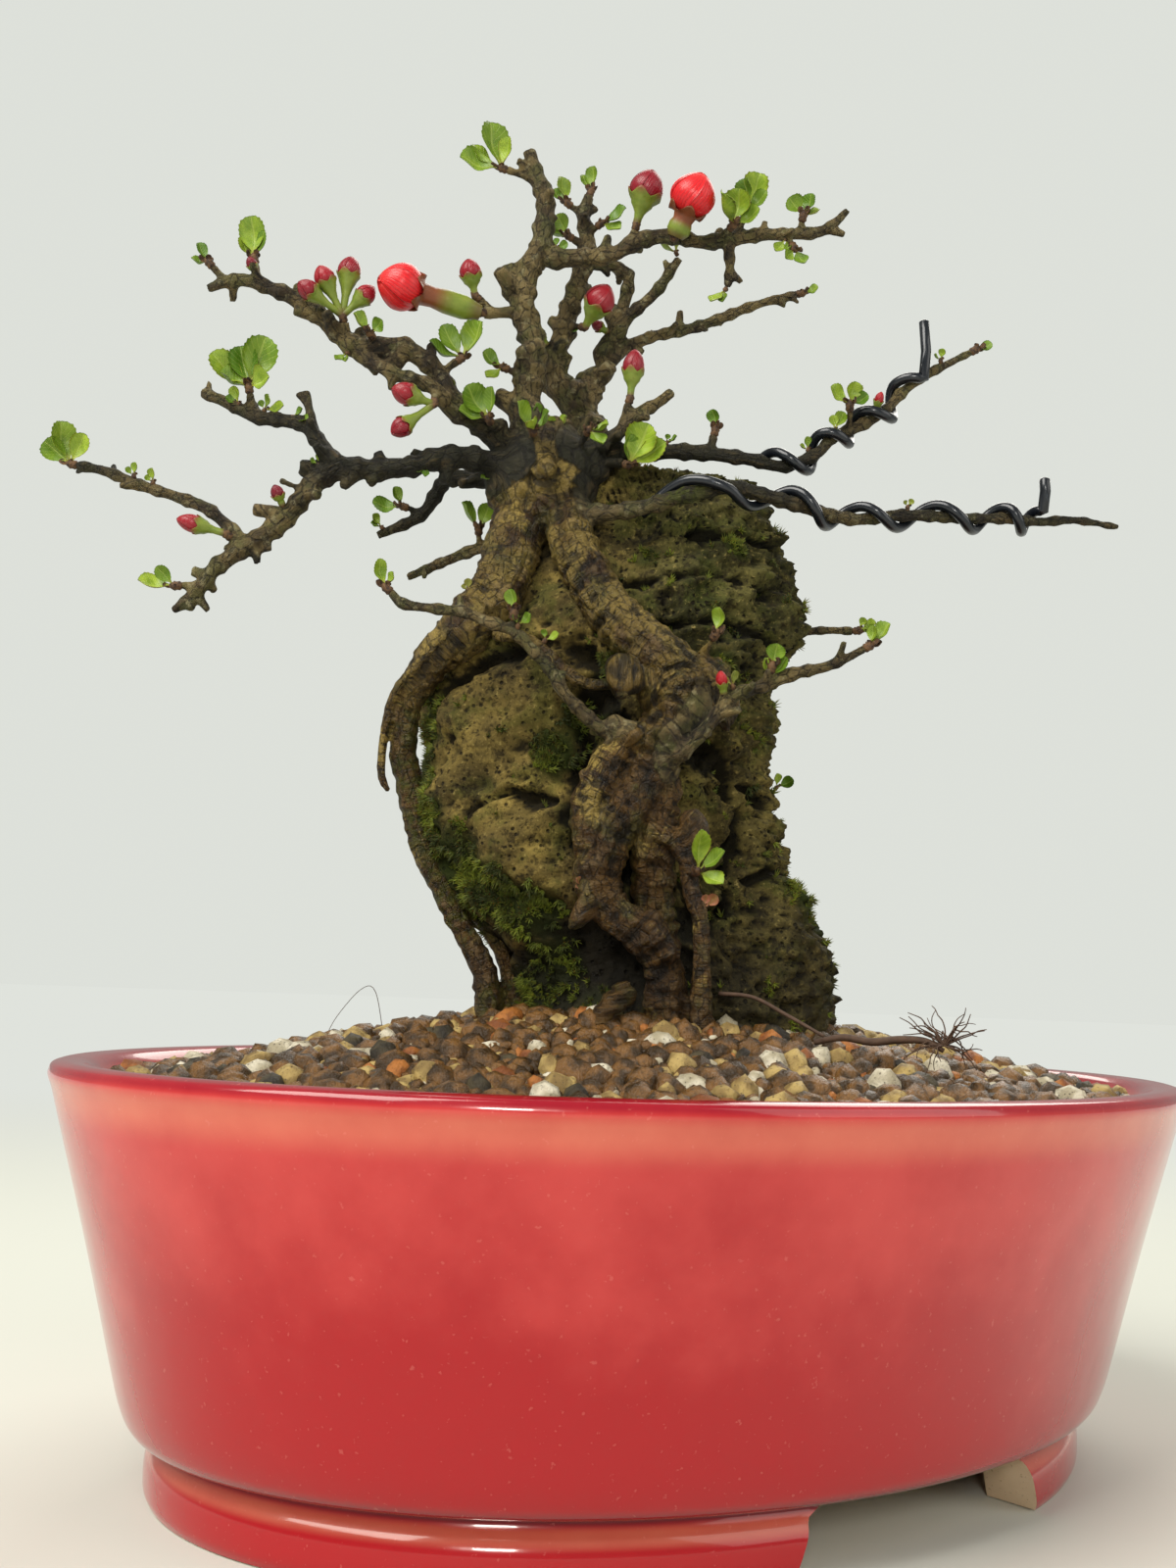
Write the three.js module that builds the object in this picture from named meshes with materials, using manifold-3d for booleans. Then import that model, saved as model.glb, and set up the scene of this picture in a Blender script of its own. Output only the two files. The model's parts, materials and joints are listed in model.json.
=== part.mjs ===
// Japanese quince bonsai whose roots hold a rock, in a glazed oval pot.
// Millimetres, Z up. X runs along the pot's long axis, and the origin is on the ground under its middle.
import * as THREE from 'three';
import { mergeVertices } from 'three/addons/utils/BufferGeometryUtils.js';
import Module from 'manifold-3d';

const wasm = await Module();
wasm.setup();

// Pot: overall sizes
const RIM_LENGTH = 202;
const RIM_WIDTH = 160;
const FOOT_HEIGHT = 9;
const POT_HEIGHT = 62;
const WALL = 7.5;
const FLOOR = 6;
const WALL_FLARE = 13.8;
const FOOT_INSET = 3.8;
const FOOT_WALL = 9;
const FOOT_GAP_TOP = 46;
const FOOT_GAP_BOTTOM = 53;
const POT_SEGMENTS = 36;
const DRAIN_DIAMETER = 14;
const DRAIN_OFFSET = 34;

// Screens over the drain holes, and the clips that hold them
const SCREEN_SIZE = 24;
const SCREEN_THICKNESS = 1.2;
const SCREEN_HOLES = 3;
const SCREEN_BAR = 1.6;
const CLIP_RADIUS = 0.6;
const CLIP_GRIP = 2.6;

// Soil
const SOIL_AT_WALL = 58.5;
const SOIL_AT_MIDDLE = 70.5;
const SOIL_RINGS = 10;
const SOIL_SEGMENTS = 34;
const LOOSE_GRAINS = 12;
const GRAIN_SIZE = 5;
const GRAIN_RELIEF = 1.3;

// Clearance that touching pieces keep
const CLEARANCE = 0.35;

// Leaves and buds
const BLADE = 0.65;
const HEEL_RADIUS = 1.05;
const HEEL_STEPS = [0, 0.3, 1.1, 1.5];
const CALYX_WALL = 0.5;

// Training wire
const WIRE_RADIUS = 0.92;
const WIRE_STAND_OFF = 0.45;

// The tree's front is turned from the pot's long side, and leans a little from plumb.
// Every place on the tree and rock is given as [across, away, up] seen square on from that front.
const FRONT_TURN = THREE.MathUtils.degToRad(40);
const FRONT_LEAN = THREE.MathUtils.degToRad(2);
const LEAN_ACROSS = -12.5;
const LEAN_UP = 110;

const FINISH = {
  glaze: { color: 0xb81f33, roughness: 0.12, metalness: 0 },
  mesh: { color: 0x15161a, roughness: 0.6, metalness: 0 },
  clip: { color: 0x8d8f93, roughness: 0.4, metalness: 0.9 },
  soil: { color: 0x4d3423, roughness: 0.8, metalness: 0 },
  rock: { color: 0x6b6650, roughness: 0.95, metalness: 0 },
  bark: { color: 0x4a382c, roughness: 0.75, metalness: 0 },
  wire: { color: 0x10151c, roughness: 0.3, metalness: 0.7 },
  leaf: { color: 0x7fa83a, roughness: 0.5, metalness: 0 },
  calyx: { color: 0x8a9a45, roughness: 0.5, metalness: 0 },
  petal: { color: 0xc32632, roughness: 0.45, metalness: 0 },
};

const bonsai = new THREE.Group();

// Shared tools

function seededRandom(seed) {
  let state = seed;
  return () => {
    state = (state + 0x6d2b79f5) | 0;
    let mixed = Math.imul(state ^ (state >>> 15), 1 | state);
    mixed = (mixed + Math.imul(mixed ^ (mixed >>> 7), 61 | mixed)) ^ mixed;
    return ((mixed ^ (mixed >>> 14)) >>> 0) / 4294967296;
  };
}

function place([across, away, up]) {
  const sideways = across - LEAN_ACROSS;
  const upward = up - LEAN_UP;
  const level = LEAN_ACROSS + sideways * Math.cos(FRONT_LEAN) - upward * Math.sin(FRONT_LEAN);
  const height = LEAN_UP + sideways * Math.sin(FRONT_LEAN) + upward * Math.cos(FRONT_LEAN);
  return new THREE.Vector3(
    level * Math.cos(FRONT_TURN) + away * Math.sin(FRONT_TURN),
    away * Math.cos(FRONT_TURN) - level * Math.sin(FRONT_TURN),
    height,
  );
}

// A step across, away and up, in the pot's own axes
function stepOf(step) {
  return place(step).sub(place([0, 0, 0]));
}

function closedGeometry(points, faces) {
  const geometry = new THREE.BufferGeometry();
  const places = points.flatMap((p) => [p.x, p.y, p.z]);
  geometry.setAttribute('position', new THREE.Float32BufferAttribute(places, 3));
  geometry.setIndex(faces);
  return geometry;
}

function solidOf(geometry) {
  const bare = geometry.clone();
  bare.deleteAttribute('normal');
  bare.deleteAttribute('uv');
  const merged = mergeVertices(bare, 1e-4);
  const vertProperties = merged.attributes.position.array;
  const triVerts = new Uint32Array(merged.index.array);
  const solid = new wasm.Manifold(new wasm.Mesh({ numProp: 3, vertProperties, triVerts }));
  if (solid.volume() > 0) return solid;
  for (let i = 0; i < triVerts.length; i += 3) {
    [triVerts[i + 1], triVerts[i + 2]] = [triVerts[i + 2], triVerts[i + 1]];
  }
  return new wasm.Manifold(new wasm.Mesh({ numProp: 3, vertProperties, triVerts }));
}

function joined(solids) {
  return solids.reduce((whole, solid) => whole.add(solid));
}

// Cutting can leave loose scraps beside the main body
function mainBody(solid) {
  return solid.decompose().reduce((best, body) => (body.volume() > best.volume() ? body : best));
}

function addPiece(name, solid, finish) {
  const { vertProperties, triVerts } = solid.getMesh();
  const geometry = new THREE.BufferGeometry();
  geometry.setAttribute('position', new THREE.BufferAttribute(new Float32Array(vertProperties), 3));
  geometry.setIndex(new THREE.BufferAttribute(new Uint32Array(triVerts), 1));
  geometry.computeVertexNormals();
  const mesh = new THREE.Mesh(geometry, new THREE.MeshStandardMaterial(FINISH[finish]));
  mesh.name = name;
  bonsai.add(mesh);
}

function bandFaces(first, second, count) {
  const faces = [];
  for (let i = 0; i < count; i += 1) {
    const next = (i + 1) % count;
    faces.push(first + i, first + next, second + next, first + i, second + next, second + i);
  }
  return faces;
}

// A closed solid through a stack of rings, with a fan at each end
function loft(rings, startTip, endTip) {
  const count = rings[0].length;
  const points = rings.flat();
  const faces = [];
  for (let i = 0; i + 1 < rings.length; i += 1) {
    faces.push(...bandFaces(i * count, (i + 1) * count, count));
  }
  const last = (rings.length - 1) * count;
  const start = points.push(startTip) - 1;
  const end = points.push(endTip) - 1;
  for (let i = 0; i < count; i += 1) {
    const next = (i + 1) % count;
    faces.push(start, next, i);
    faces.push(end, last + i, last + next);
  }
  return solidOf(closedGeometry(points, faces));
}

// A closed solid whose last ring joins its first, as in a hoop
function hoop(rings) {
  const count = rings[0].length;
  const faces = rings.flatMap((ring, i) => bandFaces(i * count, ((i + 1) % rings.length) * count, count));
  return solidOf(closedGeometry(rings.flat(), faces));
}

function middleOf(ring) {
  return ring.reduce((sum, p) => sum.add(p), new THREE.Vector3()).divideScalar(ring.length);
}

// Frames that follow a route without twisting
function framesAlong(route) {
  const frames = [];
  let side = null;
  route.forEach((point, i) => {
    const before = route[Math.max(i - 1, 0)];
    const after = route[Math.min(i + 1, route.length - 1)];
    const along = after.clone().sub(before).normalize();
    if (!side) side = Math.abs(along.z) < 0.9 ? new THREE.Vector3(0, 0, 1) : new THREE.Vector3(1, 0, 0);
    side = side.clone().addScaledVector(along, -side.dot(along)).normalize();
    frames.push({ point, along, side, up: along.clone().cross(side) });
  });
  return frames;
}

function ringAround({ point, side, up }, radius, sides, turn = 0) {
  return Array.from({ length: sides }, (_, i) => {
    const angle = turn + (i / sides) * 2 * Math.PI;
    const reach = typeof radius === 'function' ? radius(angle, i) : radius;
    const aside = point.clone().addScaledVector(side, Math.cos(angle) * reach);
    return aside.addScaledVector(up, Math.sin(angle) * reach);
  });
}

// The points that a limb needs: one that lies close to the line between its neighbours is left out
function bendsOf(points) {
  const kept = [points[0]];
  for (let i = 1; i + 1 < points.length; i += 1) {
    const [before, here, after] = [kept.at(-1), points[i], points[i + 1]].map(place);
    const line = new THREE.Line3(before, after);
    const off = line.closestPointToPoint(here, true, new THREE.Vector3()).distanceTo(here);
    if (off > BEND_KEPT || Math.abs(points[i][3] - kept.at(-1)[3]) > 2 * BEND_KEPT) kept.push(points[i]);
  }
  return [...kept, points.at(-1)];
}

// A round limb through [across, away, up, radius] points; swell makes it fatter all over
function limb(points, sides, { swell = 0, lumps = 0, seed = 1 } = {}) {
  const random = seededRandom(seed);
  const frames = framesAlong(points.map(place));
  if (swell > 0) {
    frames[0].point.addScaledVector(frames[0].along, -swell);
    frames.at(-1).point.addScaledVector(frames.at(-1).along, swell);
  }
  const rings = frames.map((frame, i) => ringAround(frame, () => {
    const lump = 1 + lumps * (random() - 0.5);
    return points[i][3] * lump + swell;
  }, sides));
  return loft(rings, middleOf(rings[0]), middleOf(rings.at(-1)));
}

// Pot

function oval(inset, height, segments = POT_SEGMENTS) {
  return Array.from({ length: segments }, (_, i) => {
    const angle = (i / segments) * 2 * Math.PI;
    const x = (RIM_LENGTH / 2 - inset) * Math.cos(angle);
    const y = (RIM_WIDTH / 2 - inset) * Math.sin(angle);
    return new THREE.Vector3(x, y, height);
  });
}

// Each step of the pot's section is an inset from the rim's outline and a height
const FLOOR_TOP = FOOT_HEIGHT + FLOOR;
const POT_SECTION = [
  [WALL_FLARE + 5, FOOT_HEIGHT],
  [WALL_FLARE + 1.6, FOOT_HEIGHT + 0.8],
  [WALL_FLARE - 0.4, FOOT_HEIGHT + 4],
  [WALL_FLARE / 2 + 0.3, 36],
  [1.1, POT_HEIGHT - 4],
  [0, POT_HEIGHT - 1.8],
  [0.8, POT_HEIGHT - 0.4],
  [2.4, POT_HEIGHT],
  [WALL - 2, POT_HEIGHT - 0.3],
  [WALL, POT_HEIGHT - 2],
  [WALL_FLARE + WALL - 3, FLOOR_TOP + 4],
  [WALL_FLARE + WALL + 1, FLOOR_TOP],
];

const FOOT_SECTION = [
  [WALL_FLARE + FOOT_INSET + 0.6, 0],
  [WALL_FLARE + FOOT_INSET, 1.2],
  [WALL_FLARE + FOOT_INSET, 5.5],
  [WALL_FLARE + FOOT_INSET + 1.8, 8],
  [WALL_FLARE + FOOT_INSET + 1.8, FOOT_HEIGHT + 2],
  [WALL_FLARE + FOOT_INSET + FOOT_WALL, FOOT_HEIGHT + 2],
  [WALL_FLARE + FOOT_INSET + FOOT_WALL, 0],
];

function footGap() {
  const outline = new THREE.Shape();
  outline.moveTo(-FOOT_GAP_BOTTOM / 2 - 0.8, -1);
  outline.lineTo(FOOT_GAP_BOTTOM / 2 + 0.8, -1);
  outline.lineTo(FOOT_GAP_TOP / 2 + 1, 7);
  outline.quadraticCurveTo(FOOT_GAP_TOP / 2, FOOT_HEIGHT, FOOT_GAP_TOP / 2 - 3, FOOT_HEIGHT);
  outline.lineTo(-FOOT_GAP_TOP / 2 + 3, FOOT_HEIGHT);
  outline.quadraticCurveTo(-FOOT_GAP_TOP / 2, FOOT_HEIGHT, -FOOT_GAP_TOP / 2 - 1, 7);
  outline.closePath();
  const settings = { depth: RIM_WIDTH, bevelEnabled: false, curveSegments: 3 };
  const block = new THREE.ExtrudeGeometry(outline, settings);
  block.rotateX(Math.PI / 2).translate(0, RIM_WIDTH / 2, 0);
  return solidOf(block);
}

function drainHole(side) {
  const hole = new THREE.CylinderGeometry(DRAIN_DIAMETER / 2, DRAIN_DIAMETER / 2, FLOOR * 3, 14);
  hole.rotateX(Math.PI / 2).translate(side * DRAIN_OFFSET, 0, FOOT_HEIGHT + FLOOR / 2);
  return solidOf(hole);
}

function buildPot() {
  const rings = POT_SECTION.map(([inset, height]) => oval(inset, height));
  const bowl = loft(rings, middleOf(rings[0]), middleOf(rings.at(-1)));
  const feet = hoop(FOOT_SECTION.map(([inset, height]) => oval(inset, height))).subtract(footGap());
  addPiece('pot', bowl.add(feet).subtract(drainHole(-1)).subtract(drainHole(1)), 'glaze');
}

// Drain screens and clips

const SCREEN_TOP = FLOOR_TOP + CLEARANCE + SCREEN_THICKNESS;

const SCREEN_PITCH = (SCREEN_SIZE - SCREEN_BAR) / SCREEN_HOLES;

function screenPlate(side) {
  const holes = [];
  const open = SCREEN_PITCH - SCREEN_BAR;
  for (let row = 0; row < SCREEN_HOLES; row += 1) {
    for (let column = 0; column < SCREEN_HOLES; column += 1) {
      const hole = new THREE.BoxGeometry(open, open, 3 * SCREEN_THICKNESS);
      const [x, y] = [column, row].map((step) => (step - (SCREEN_HOLES - 1) / 2) * SCREEN_PITCH);
      holes.push(solidOf(hole.translate(x, y, 0)));
    }
  }
  const plate = solidOf(new THREE.BoxGeometry(SCREEN_SIZE, SCREEN_SIZE, SCREEN_THICKNESS));
  return plate.subtract(joined(holes)).translate([side * DRAIN_OFFSET, 0, SCREEN_TOP - SCREEN_THICKNESS / 2]);
}

// A staple over the screen's middle hole: its legs go down the drain and turn out under the pot's floor.
// The point at the middle of its bridge keeps its frames from turning over at the corners.
function clipRoute(side) {
  const over = SCREEN_TOP + CLEARANCE + CLIP_RADIUS;
  const under = FOOT_HEIGHT - CLEARANCE - CLIP_RADIUS;
  const leg = (SCREEN_PITCH + SCREEN_BAR) / 2 + CLEARANCE + CLIP_RADIUS;
  const spread = DRAIN_DIAMETER / 2 + CLIP_GRIP;
  const middle = side * DRAIN_OFFSET;
  const half = [[leg, over], [leg, FLOOR_TOP - 2], [leg, under - 0.5], [spread, under - 0.3]];
  const right = half.map(([x, z]) => new THREE.Vector3(middle + x, 0, z));
  const left = half.map(([x, z]) => new THREE.Vector3(middle - x, 0, z));
  return [...left.reverse(), new THREE.Vector3(middle, 0, over), ...right];
}

function buildDrainage() {
  for (const [name, side] of [['left', -1], ['right', 1]]) {
    addPiece(`drain_screen_${name}`, screenPlate(side), 'mesh');
    const rings = framesAlong(clipRoute(side)).map((frame) => ringAround(frame, CLIP_RADIUS, 4));
    addPiece(`drain_clip_${name}`, loft(rings, middleOf(rings[0]), middleOf(rings.at(-1))), 'clip');
  }
}

// Rock: plan outlines from the buried foot to the crest, as height, left, right, front and back
const ROCK_LEVELS = [
  [57, -22, 26, -17, 17],
  [64, -24, 28, -19, 19],
  [71, -26, 29, -20, 20],
  [76, -27, 29.5, -20, 21],
  [81, -29, 28, -20, 22],
  [87, -34, 25, -21, 23],
  [91, -38, 23, -21, 23],
  [96, -40, 21, -21, 23],
  [101, -40.5, 19.5, -21, 22],
  [107, -40, 18.5, -21, 21],
  [113, -39.5, 18.5, -20, 21],
  [119, -40.5, 20.5, -20, 21],
  [125, -41.5, 20, -19, 21],
  [131, -40, 23, -18, 20],
  [137, -37, 25.5, -17, 19],
  [143, -33, 25, -15, 18],
  [149, -29.5, 22, -12, 17],
  [155, -27, 20.5, -10, 15],
  [160, -25, 19, -7.5, 13],
  [164, -19, 16, -5, 10],
];
const ROCK_CREST = [-3, 3, 165.5];
const ROCK_SEGMENTS = 21;
const ROCK_SQUARENESS = 2.5;
const ROCK_RELIEF = 0.055;
const ROCK_SOIL_LEVEL = 76;

function rockRing([up, left, right, front, back], swell) {
  const centre = [(left + right) / 2, (front + back) / 2];
  const half = [(right - left) / 2, (back - front) / 2];
  const buried = THREE.MathUtils.clamp((up - ROCK_SOIL_LEVEL) / 12, 0, 1);
  return Array.from({ length: ROCK_SEGMENTS }, (_, i) => {
    const angle = (i / ROCK_SEGMENTS) * 2 * Math.PI;
    const cos = Math.cos(angle);
    const sin = Math.sin(angle);
    const span = Math.abs(cos) ** ROCK_SQUARENESS + Math.abs(sin) ** ROCK_SQUARENESS;
    const square = span ** (-1 / ROCK_SQUARENESS);
    const broad = Math.sin(3 * angle + up * 0.09) + Math.sin(5 * angle - up * 0.17 + 1.3);
    const fine = Math.sin(9 * angle + up * 0.41) + Math.sin(13 * angle - up * 0.63 + 2);
    const relief = 1 + buried * ROCK_RELIEF * (0.45 * broad + 0.35 * fine - 0.5);
    const across = centre[0] + (half[0] * square * relief + swell) * cos;
    const away = centre[1] + (half[1] * square * relief + swell) * sin;
    return place([across, away, up]);
  });
}

function rockBlock(swell) {
  const rings = ROCK_LEVELS.map((level) => rockRing(level, swell));
  const foot = middleOf(rings[0]);
  if (swell > 0) {
    rings[0].forEach((point) => { point.z -= swell; });
    foot.z -= swell;
  }
  return loft(rings, foot, place(ROCK_CREST));
}

// Tree wood. Each limb is a list of [across, away, up, radius], from its root to its tip.
const ROOTS = {
  collar: [
    [-19, -3, 153, 7], [-19.5, -5, 158, 8.4], [-19.5, -5.5, 163, 9], [-20, -5, 168, 7.6], [-20, -4, 172, 5],
  ],
  left: [
    [-23, -5, 158, 5], [-25, -10, 151, 4.8], [-27.5, -13, 141.5, 4.8], [-31, -14, 137, 4.5],
    [-34.5, -14, 133, 4], [-39.5, -12, 128.5, 3.1], [-43, -9.5, 121.5, 2.4], [-43.8, -8, 114.5, 2.2],
    [-42.5, -8, 108.5, 2.2], [-41.5, -8, 102.5, 2], [-39.5, -8, 96, 1.9], [-36.5, -8, 90, 1.8],
    [-33.3, -8, 84.5, 1.9], [-31, -8, 80, 2], [-29.5, -8, 76, 2.2], [-29, -8, 71.5, 2.4], [-29, -8, 62, 2],
  ],
  left_brace: [
    [-35.5, -8, 90, 1.4], [-31, -6, 87, 1.3], [-27.5, -5.5, 82, 1.5], [-25.5, -6, 77, 1.7],
    [-25, -6.5, 72, 1.9],
    [-25, -6, 63, 1.6],
  ],
  left_outer: [
    [-32, -15, 135.5, 1.2], [-34.5, -17.5, 134, 1], [-41, -14.5, 128, 0.9], [-45, -12, 123.5, 0.8],
    [-46.8, -10, 117, 0.8], [-47.2, -10, 110.5, 0.7], [-46, -10, 107.5, 0.5],
  ],
  right: [
    [-17, -7, 159, 4.2], [-16, -11, 154.5, 3.9], [-14.5, -15, 147.5, 3.9], [-10.3, -18, 138.5, 4],
    [-6, -20, 133, 4.1], [-1, -21.5, 128, 4.8], [1.5, -21, 123, 6.4], [1.5, -22.5, 118, 5.4],
    [-1, -23.5, 114.5, 4.5], [-3, -24, 110, 4.2], [-5, -24.5, 105.5, 4.1], [-9, -25, 100, 4],
    [-11, -25, 93, 3.8], [-10.3, -25, 88.5, 3.3], [-6.5, -25, 85, 3], [-2.5, -24, 81, 3],
    [-0.5, -23, 76.5, 3.1], [0, -22, 70.5, 3.5], [0, -21, 61, 2.6],
  ],
  burl: [[1, -21, 117, 4], [3, -20.5, 122, 5.4], [6.5, -18.5, 125, 4.4], [8.5, -16, 127, 2.6]],
  inner: [[-1, -22, 110, 3.4], [-2, -22.5, 99, 3.6], [-2, -21, 90, 3.4], [-1, -20.5, 80, 3.2]],
  golden: [[-5, -23.5, 114, 2.8], [-9, -25.5, 110.5, 2.9], [-12.5, -25.5, 103, 2.8], [-12.5, -25, 96, 2.6]],
  front_thin: [
    [-3, -25, 100, 1.9], [0.5, -26, 98.5, 1.7], [3, -26, 94.5, 1.5], [3.6, -26, 90, 1.4], [5, -26, 85, 1.4],
    [5.2, -25.5, 79, 1.4], [5, -25, 73, 1.8], [5, -24, 62, 1.5],
  ],
  cross: [[-28, -16.5, 133, 1.2], [-21.5, -19.5, 131, 1], [-14.5, -21.5, 124.5, 1], [-9, -22, 123.5, 1],
    [-2, -21.5, 123, 1.2]],
  back_right: [
    [-15, 0, 159, 3.5], [-10, 8, 156, 3.1], [-4, 15, 151, 2.9], [4, 19, 141, 2.7], [9, 20.5, 128, 2.5],
    [13, 21.5, 114, 2.5], [14, 22, 100, 2.4], [16, 22.5, 87, 2.4], [19, 20.5, 75, 2.7], [19, 19.5, 62, 2.2],
  ],
  back_left: [
    [-24, 0, 158, 3.3], [-27, 8, 152, 2.9], [-31, 14, 143, 2.7], [-33, 17, 132, 2.5], [-33, 20, 116, 2.4],
    [-30, 22, 100, 2.3], [-26, 22.5, 87, 2.3], [-21, 20.5, 75, 2.5], [-20, 19, 62, 2],
  ],
};

const STEMS = {
  leader: [
    [-22.5, -4.5, 168, 3.6], [-23.5, -5.5, 175, 2.7], [-22.5, -6, 183.5, 2.3], [-22.3, -6, 187, 2.1],
    [-23, -6, 190.5, 2.1], [-24.3, -6, 195, 2.1], [-22.8, -6, 201.5, 1.9], [-21, -5.5, 205, 1.8],
    [-20.5, -5, 209, 1.7], [-20.2, -5, 214, 1.6], [-22, -5, 219.5, 1.4], [-23, -5, 223.5, 1.2],
  ],
  leader_stub: [[-24.2, -6, 195, 1.7], [-26, -6, 198, 1.7], [-26.7, -6, 201.5, 1.4]],
  second: [
    [-15, 0, 168, 3.6], [-12.8, 2.5, 175.5, 2.9], [-15.3, 3, 179.3, 2.5], [-18, 3, 184, 2.2],
    [-18.8, 3, 188, 2], [-17, 3, 192.5, 1.9], [-16, 3, 197, 1.8], [-14.5, 3, 202, 1.7],
    [-13.2, 3.5, 206.5, 1.6], [-12.5, 4, 209.5, 1.5], [-13, 4, 213, 1.3], [-13.4, 4, 216, 1.2],
    [-12.3, 4, 219.5, 1],
  ],
  third: [
    [-14, 3, 178, 2.3], [-11.8, 5, 184.5, 2.3], [-9.4, 6, 186.5, 1.6], [-9.8, 6, 190, 1.5],
    [-8.4, 6, 193, 1.4], [-6.9, 6, 196.5, 1.3], [-5.5, 6, 201.5, 1.2], [-4.7, 6, 206, 1],
  ],
  bridge: [[-13.3, 3.6, 206.3, 1.1], [-9, 5, 206.9, 1], [-4.8, 6, 205.5, 1]],
};

const BRANCHES = {
  left_upper: [
    [-25, -5, 167.5, 2.3], [-30, -7, 171, 2], [-35, -9, 175, 1.7], [-36.5, -10, 177, 1.6],
    [-38.3, -10, 180, 1.6], [-42.6, -11, 183.5, 1.6], [-47, -11, 184.5, 1.6], [-51, -12, 183.5, 1.7],
    [-53.5, -12, 184.7, 1.7], [-57, -12, 188, 1.6], [-60.5, -12, 191, 1.4], [-64.5, -13, 193.2, 1.3],
    [-68, -13, 194.6, 1.2], [-71, -13, 195.6, 1.1], [-74.2, -13, 195.5, 1], [-78, -13, 194.2, 0.8],
  ],
  left_second_twig: [
    [-52, -12, 183, 1.1], [-45.5, -13.5, 178.8, 1.1], [-39, -13.5, 176.5, 1.2], [-36, -11, 173.5, 1.4],
    [-30, -8, 171, 1.6],
  ],
  left_lower: [
    [-25, -6, 164, 2.6], [-31, -9.5, 165, 2], [-37.5, -13, 164.3, 1.8], [-42.5, -15, 162, 1.7],
    [-48.8, -16, 161.2, 1.7], [-53.5, -17, 161.2, 1.8], [-57, -17, 159.6, 1.7], [-59.7, -18, 156.2, 1.6],
    [-62.5, -18, 152.5, 1.6], [-66, -18, 149.5, 1.5], [-70.5, -19, 146, 1.4], [-74, -19, 143.4, 1.3],
    [-76, -20, 140.2, 1.1], [-78.5, -20, 137.5, 0.9], [-80.5, -20, 136, 0.7],
  ],
  left_far: [
    [-69, -18.5, 147.2, 1.2], [-75, -18, 153.2, 1], [-81.4, -17, 156.2, 0.95], [-87, -17, 158, 0.9],
    [-93, -17, 160.4, 0.85], [-98, -17, 161.5, 0.8],
  ],
  left_fork: [
    [-54.5, -17, 160.8, 1.4], [-56, -17, 163, 1.3], [-58.3, -16, 166.5, 1.2], [-61.5, -15, 169.5, 1.15],
    [-69, -14, 171, 1.1], [-73.5, -13.5, 173.5, 1], [-78.5, -13, 175.6, 0.8],
  ],
  left_back: [
    [-24, 1, 164, 1.8], [-31, 5, 166, 1.5], [-38, 8, 167, 1.3], [-40.5, 10, 164.6, 1.2],
    [-43.5, 10, 160.5, 1.1], [-51, 10, 157, 0.8],
  ],
  left_low_back: [
    [-26, 1, 154, 1.4], [-30.5, 4, 153.5, 1.1], [-34.6, 5, 152.4, 1], [-38.6, 6, 151, 0.9],
    [-45, 6, 148.2, 0.7],
  ],
  right_upper: [
    [-21.5, -5.5, 204.3, 1.7], [-18, -5.5, 203.2, 1.6], [-9, -7, 203, 1.4], [-5, -8, 204.6, 1.4],
    [-1, -8, 206, 1.3], [3.4, -8, 206, 1.3], [7.5, -9, 204.6, 1.25], [12.5, -9, 205.2, 1.2],
    [17.9, -9, 206, 1.1], [23, -9, 206.1, 1], [27.5, -9, 206.4, 0.9], [30.3, -9, 207.8, 0.8],
    [33, -9, 210.5, 0.6],
  ],
  right_upper_fork: [[29.5, -9, 207.2, 0.8], [32.5, -9, 206, 0.6]],
  right_upper_drop: [[12, -9, 205, 1], [12.2, -9.4, 200, 0.8], [11.8, -9.2, 196.4, 0.7]],
  middle_twig: [
    [-8.8, 6, 192, 1.3], [-4.4, 4, 197, 1.1], [-0.3, 3, 200.5, 1], [2, 2, 203.4, 0.9], [4, 2, 206.6, 0.8],
  ],
  middle_long_twig: [
    [-9, 6, 189.5, 1.2], [-4, 7.5, 192.5, 1.1], [0, 8, 194.4, 1], [6, 9, 196, 1], [10.4, 9, 197.5, 0.9],
    [15.6, 10, 200, 0.9], [20, 10, 201.6, 0.8], [26.5, 10, 203.3, 0.7],
  ],
  right_low_twig: [
    [-14, -7, 166.5, 1.8], [-10, -8.5, 168, 1.4], [-6.9, -10, 170, 1.2], [-3.9, -10, 173, 1.1],
    [-1.3, -10, 174.5, 1], [2, -10, 177, 0.9],
  ],
  root_shoot_left: [
    [-7, -24, 115.5, 1.2], [-10.5, -25.5, 116, 1], [-13.5, -26, 118.3, 1], [-16.3, -26.5, 121.3, 0.95],
    [-18.8, -27, 125.2, 0.9], [-21.4, -27.5, 128, 0.9], [-24.5, -28, 131, 0.9], [-28.8, -28, 132.6, 0.9],
    [-32.4, -28, 134, 0.85], [-37.2, -28, 134.6, 0.8], [-42, -28, 135.4, 0.8], [-44, -28, 137.3, 0.65],
  ],
  root_shoot_right: [
    [-1, -24, 110, 1.5], [2.5, -27, 112, 1.2], [5, -28, 114.5, 1.1], [8.1, -28.5, 118, 1.1],
    [10.1, -28.5, 120.5, 1.1], [15, -29, 122, 1], [19.8, -29, 124, 1], [25, -29, 125.2, 0.9],
    [28.4, -29, 126.6, 0.8], [31, -29, 128, 0.7],
  ],
  back_shoot: [
    [9, 21, 129, 1.2], [13, 25, 134, 1], [20, 25.5, 140, 0.9], [29, 23, 142, 0.8], [37.5, 20, 141.5, 0.7],
  ],
  back_low_shoot: [[13, 22, 110, 1.1], [18, 24.5, 110, 0.9], [22, 20, 111, 0.7]],
};

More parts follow.
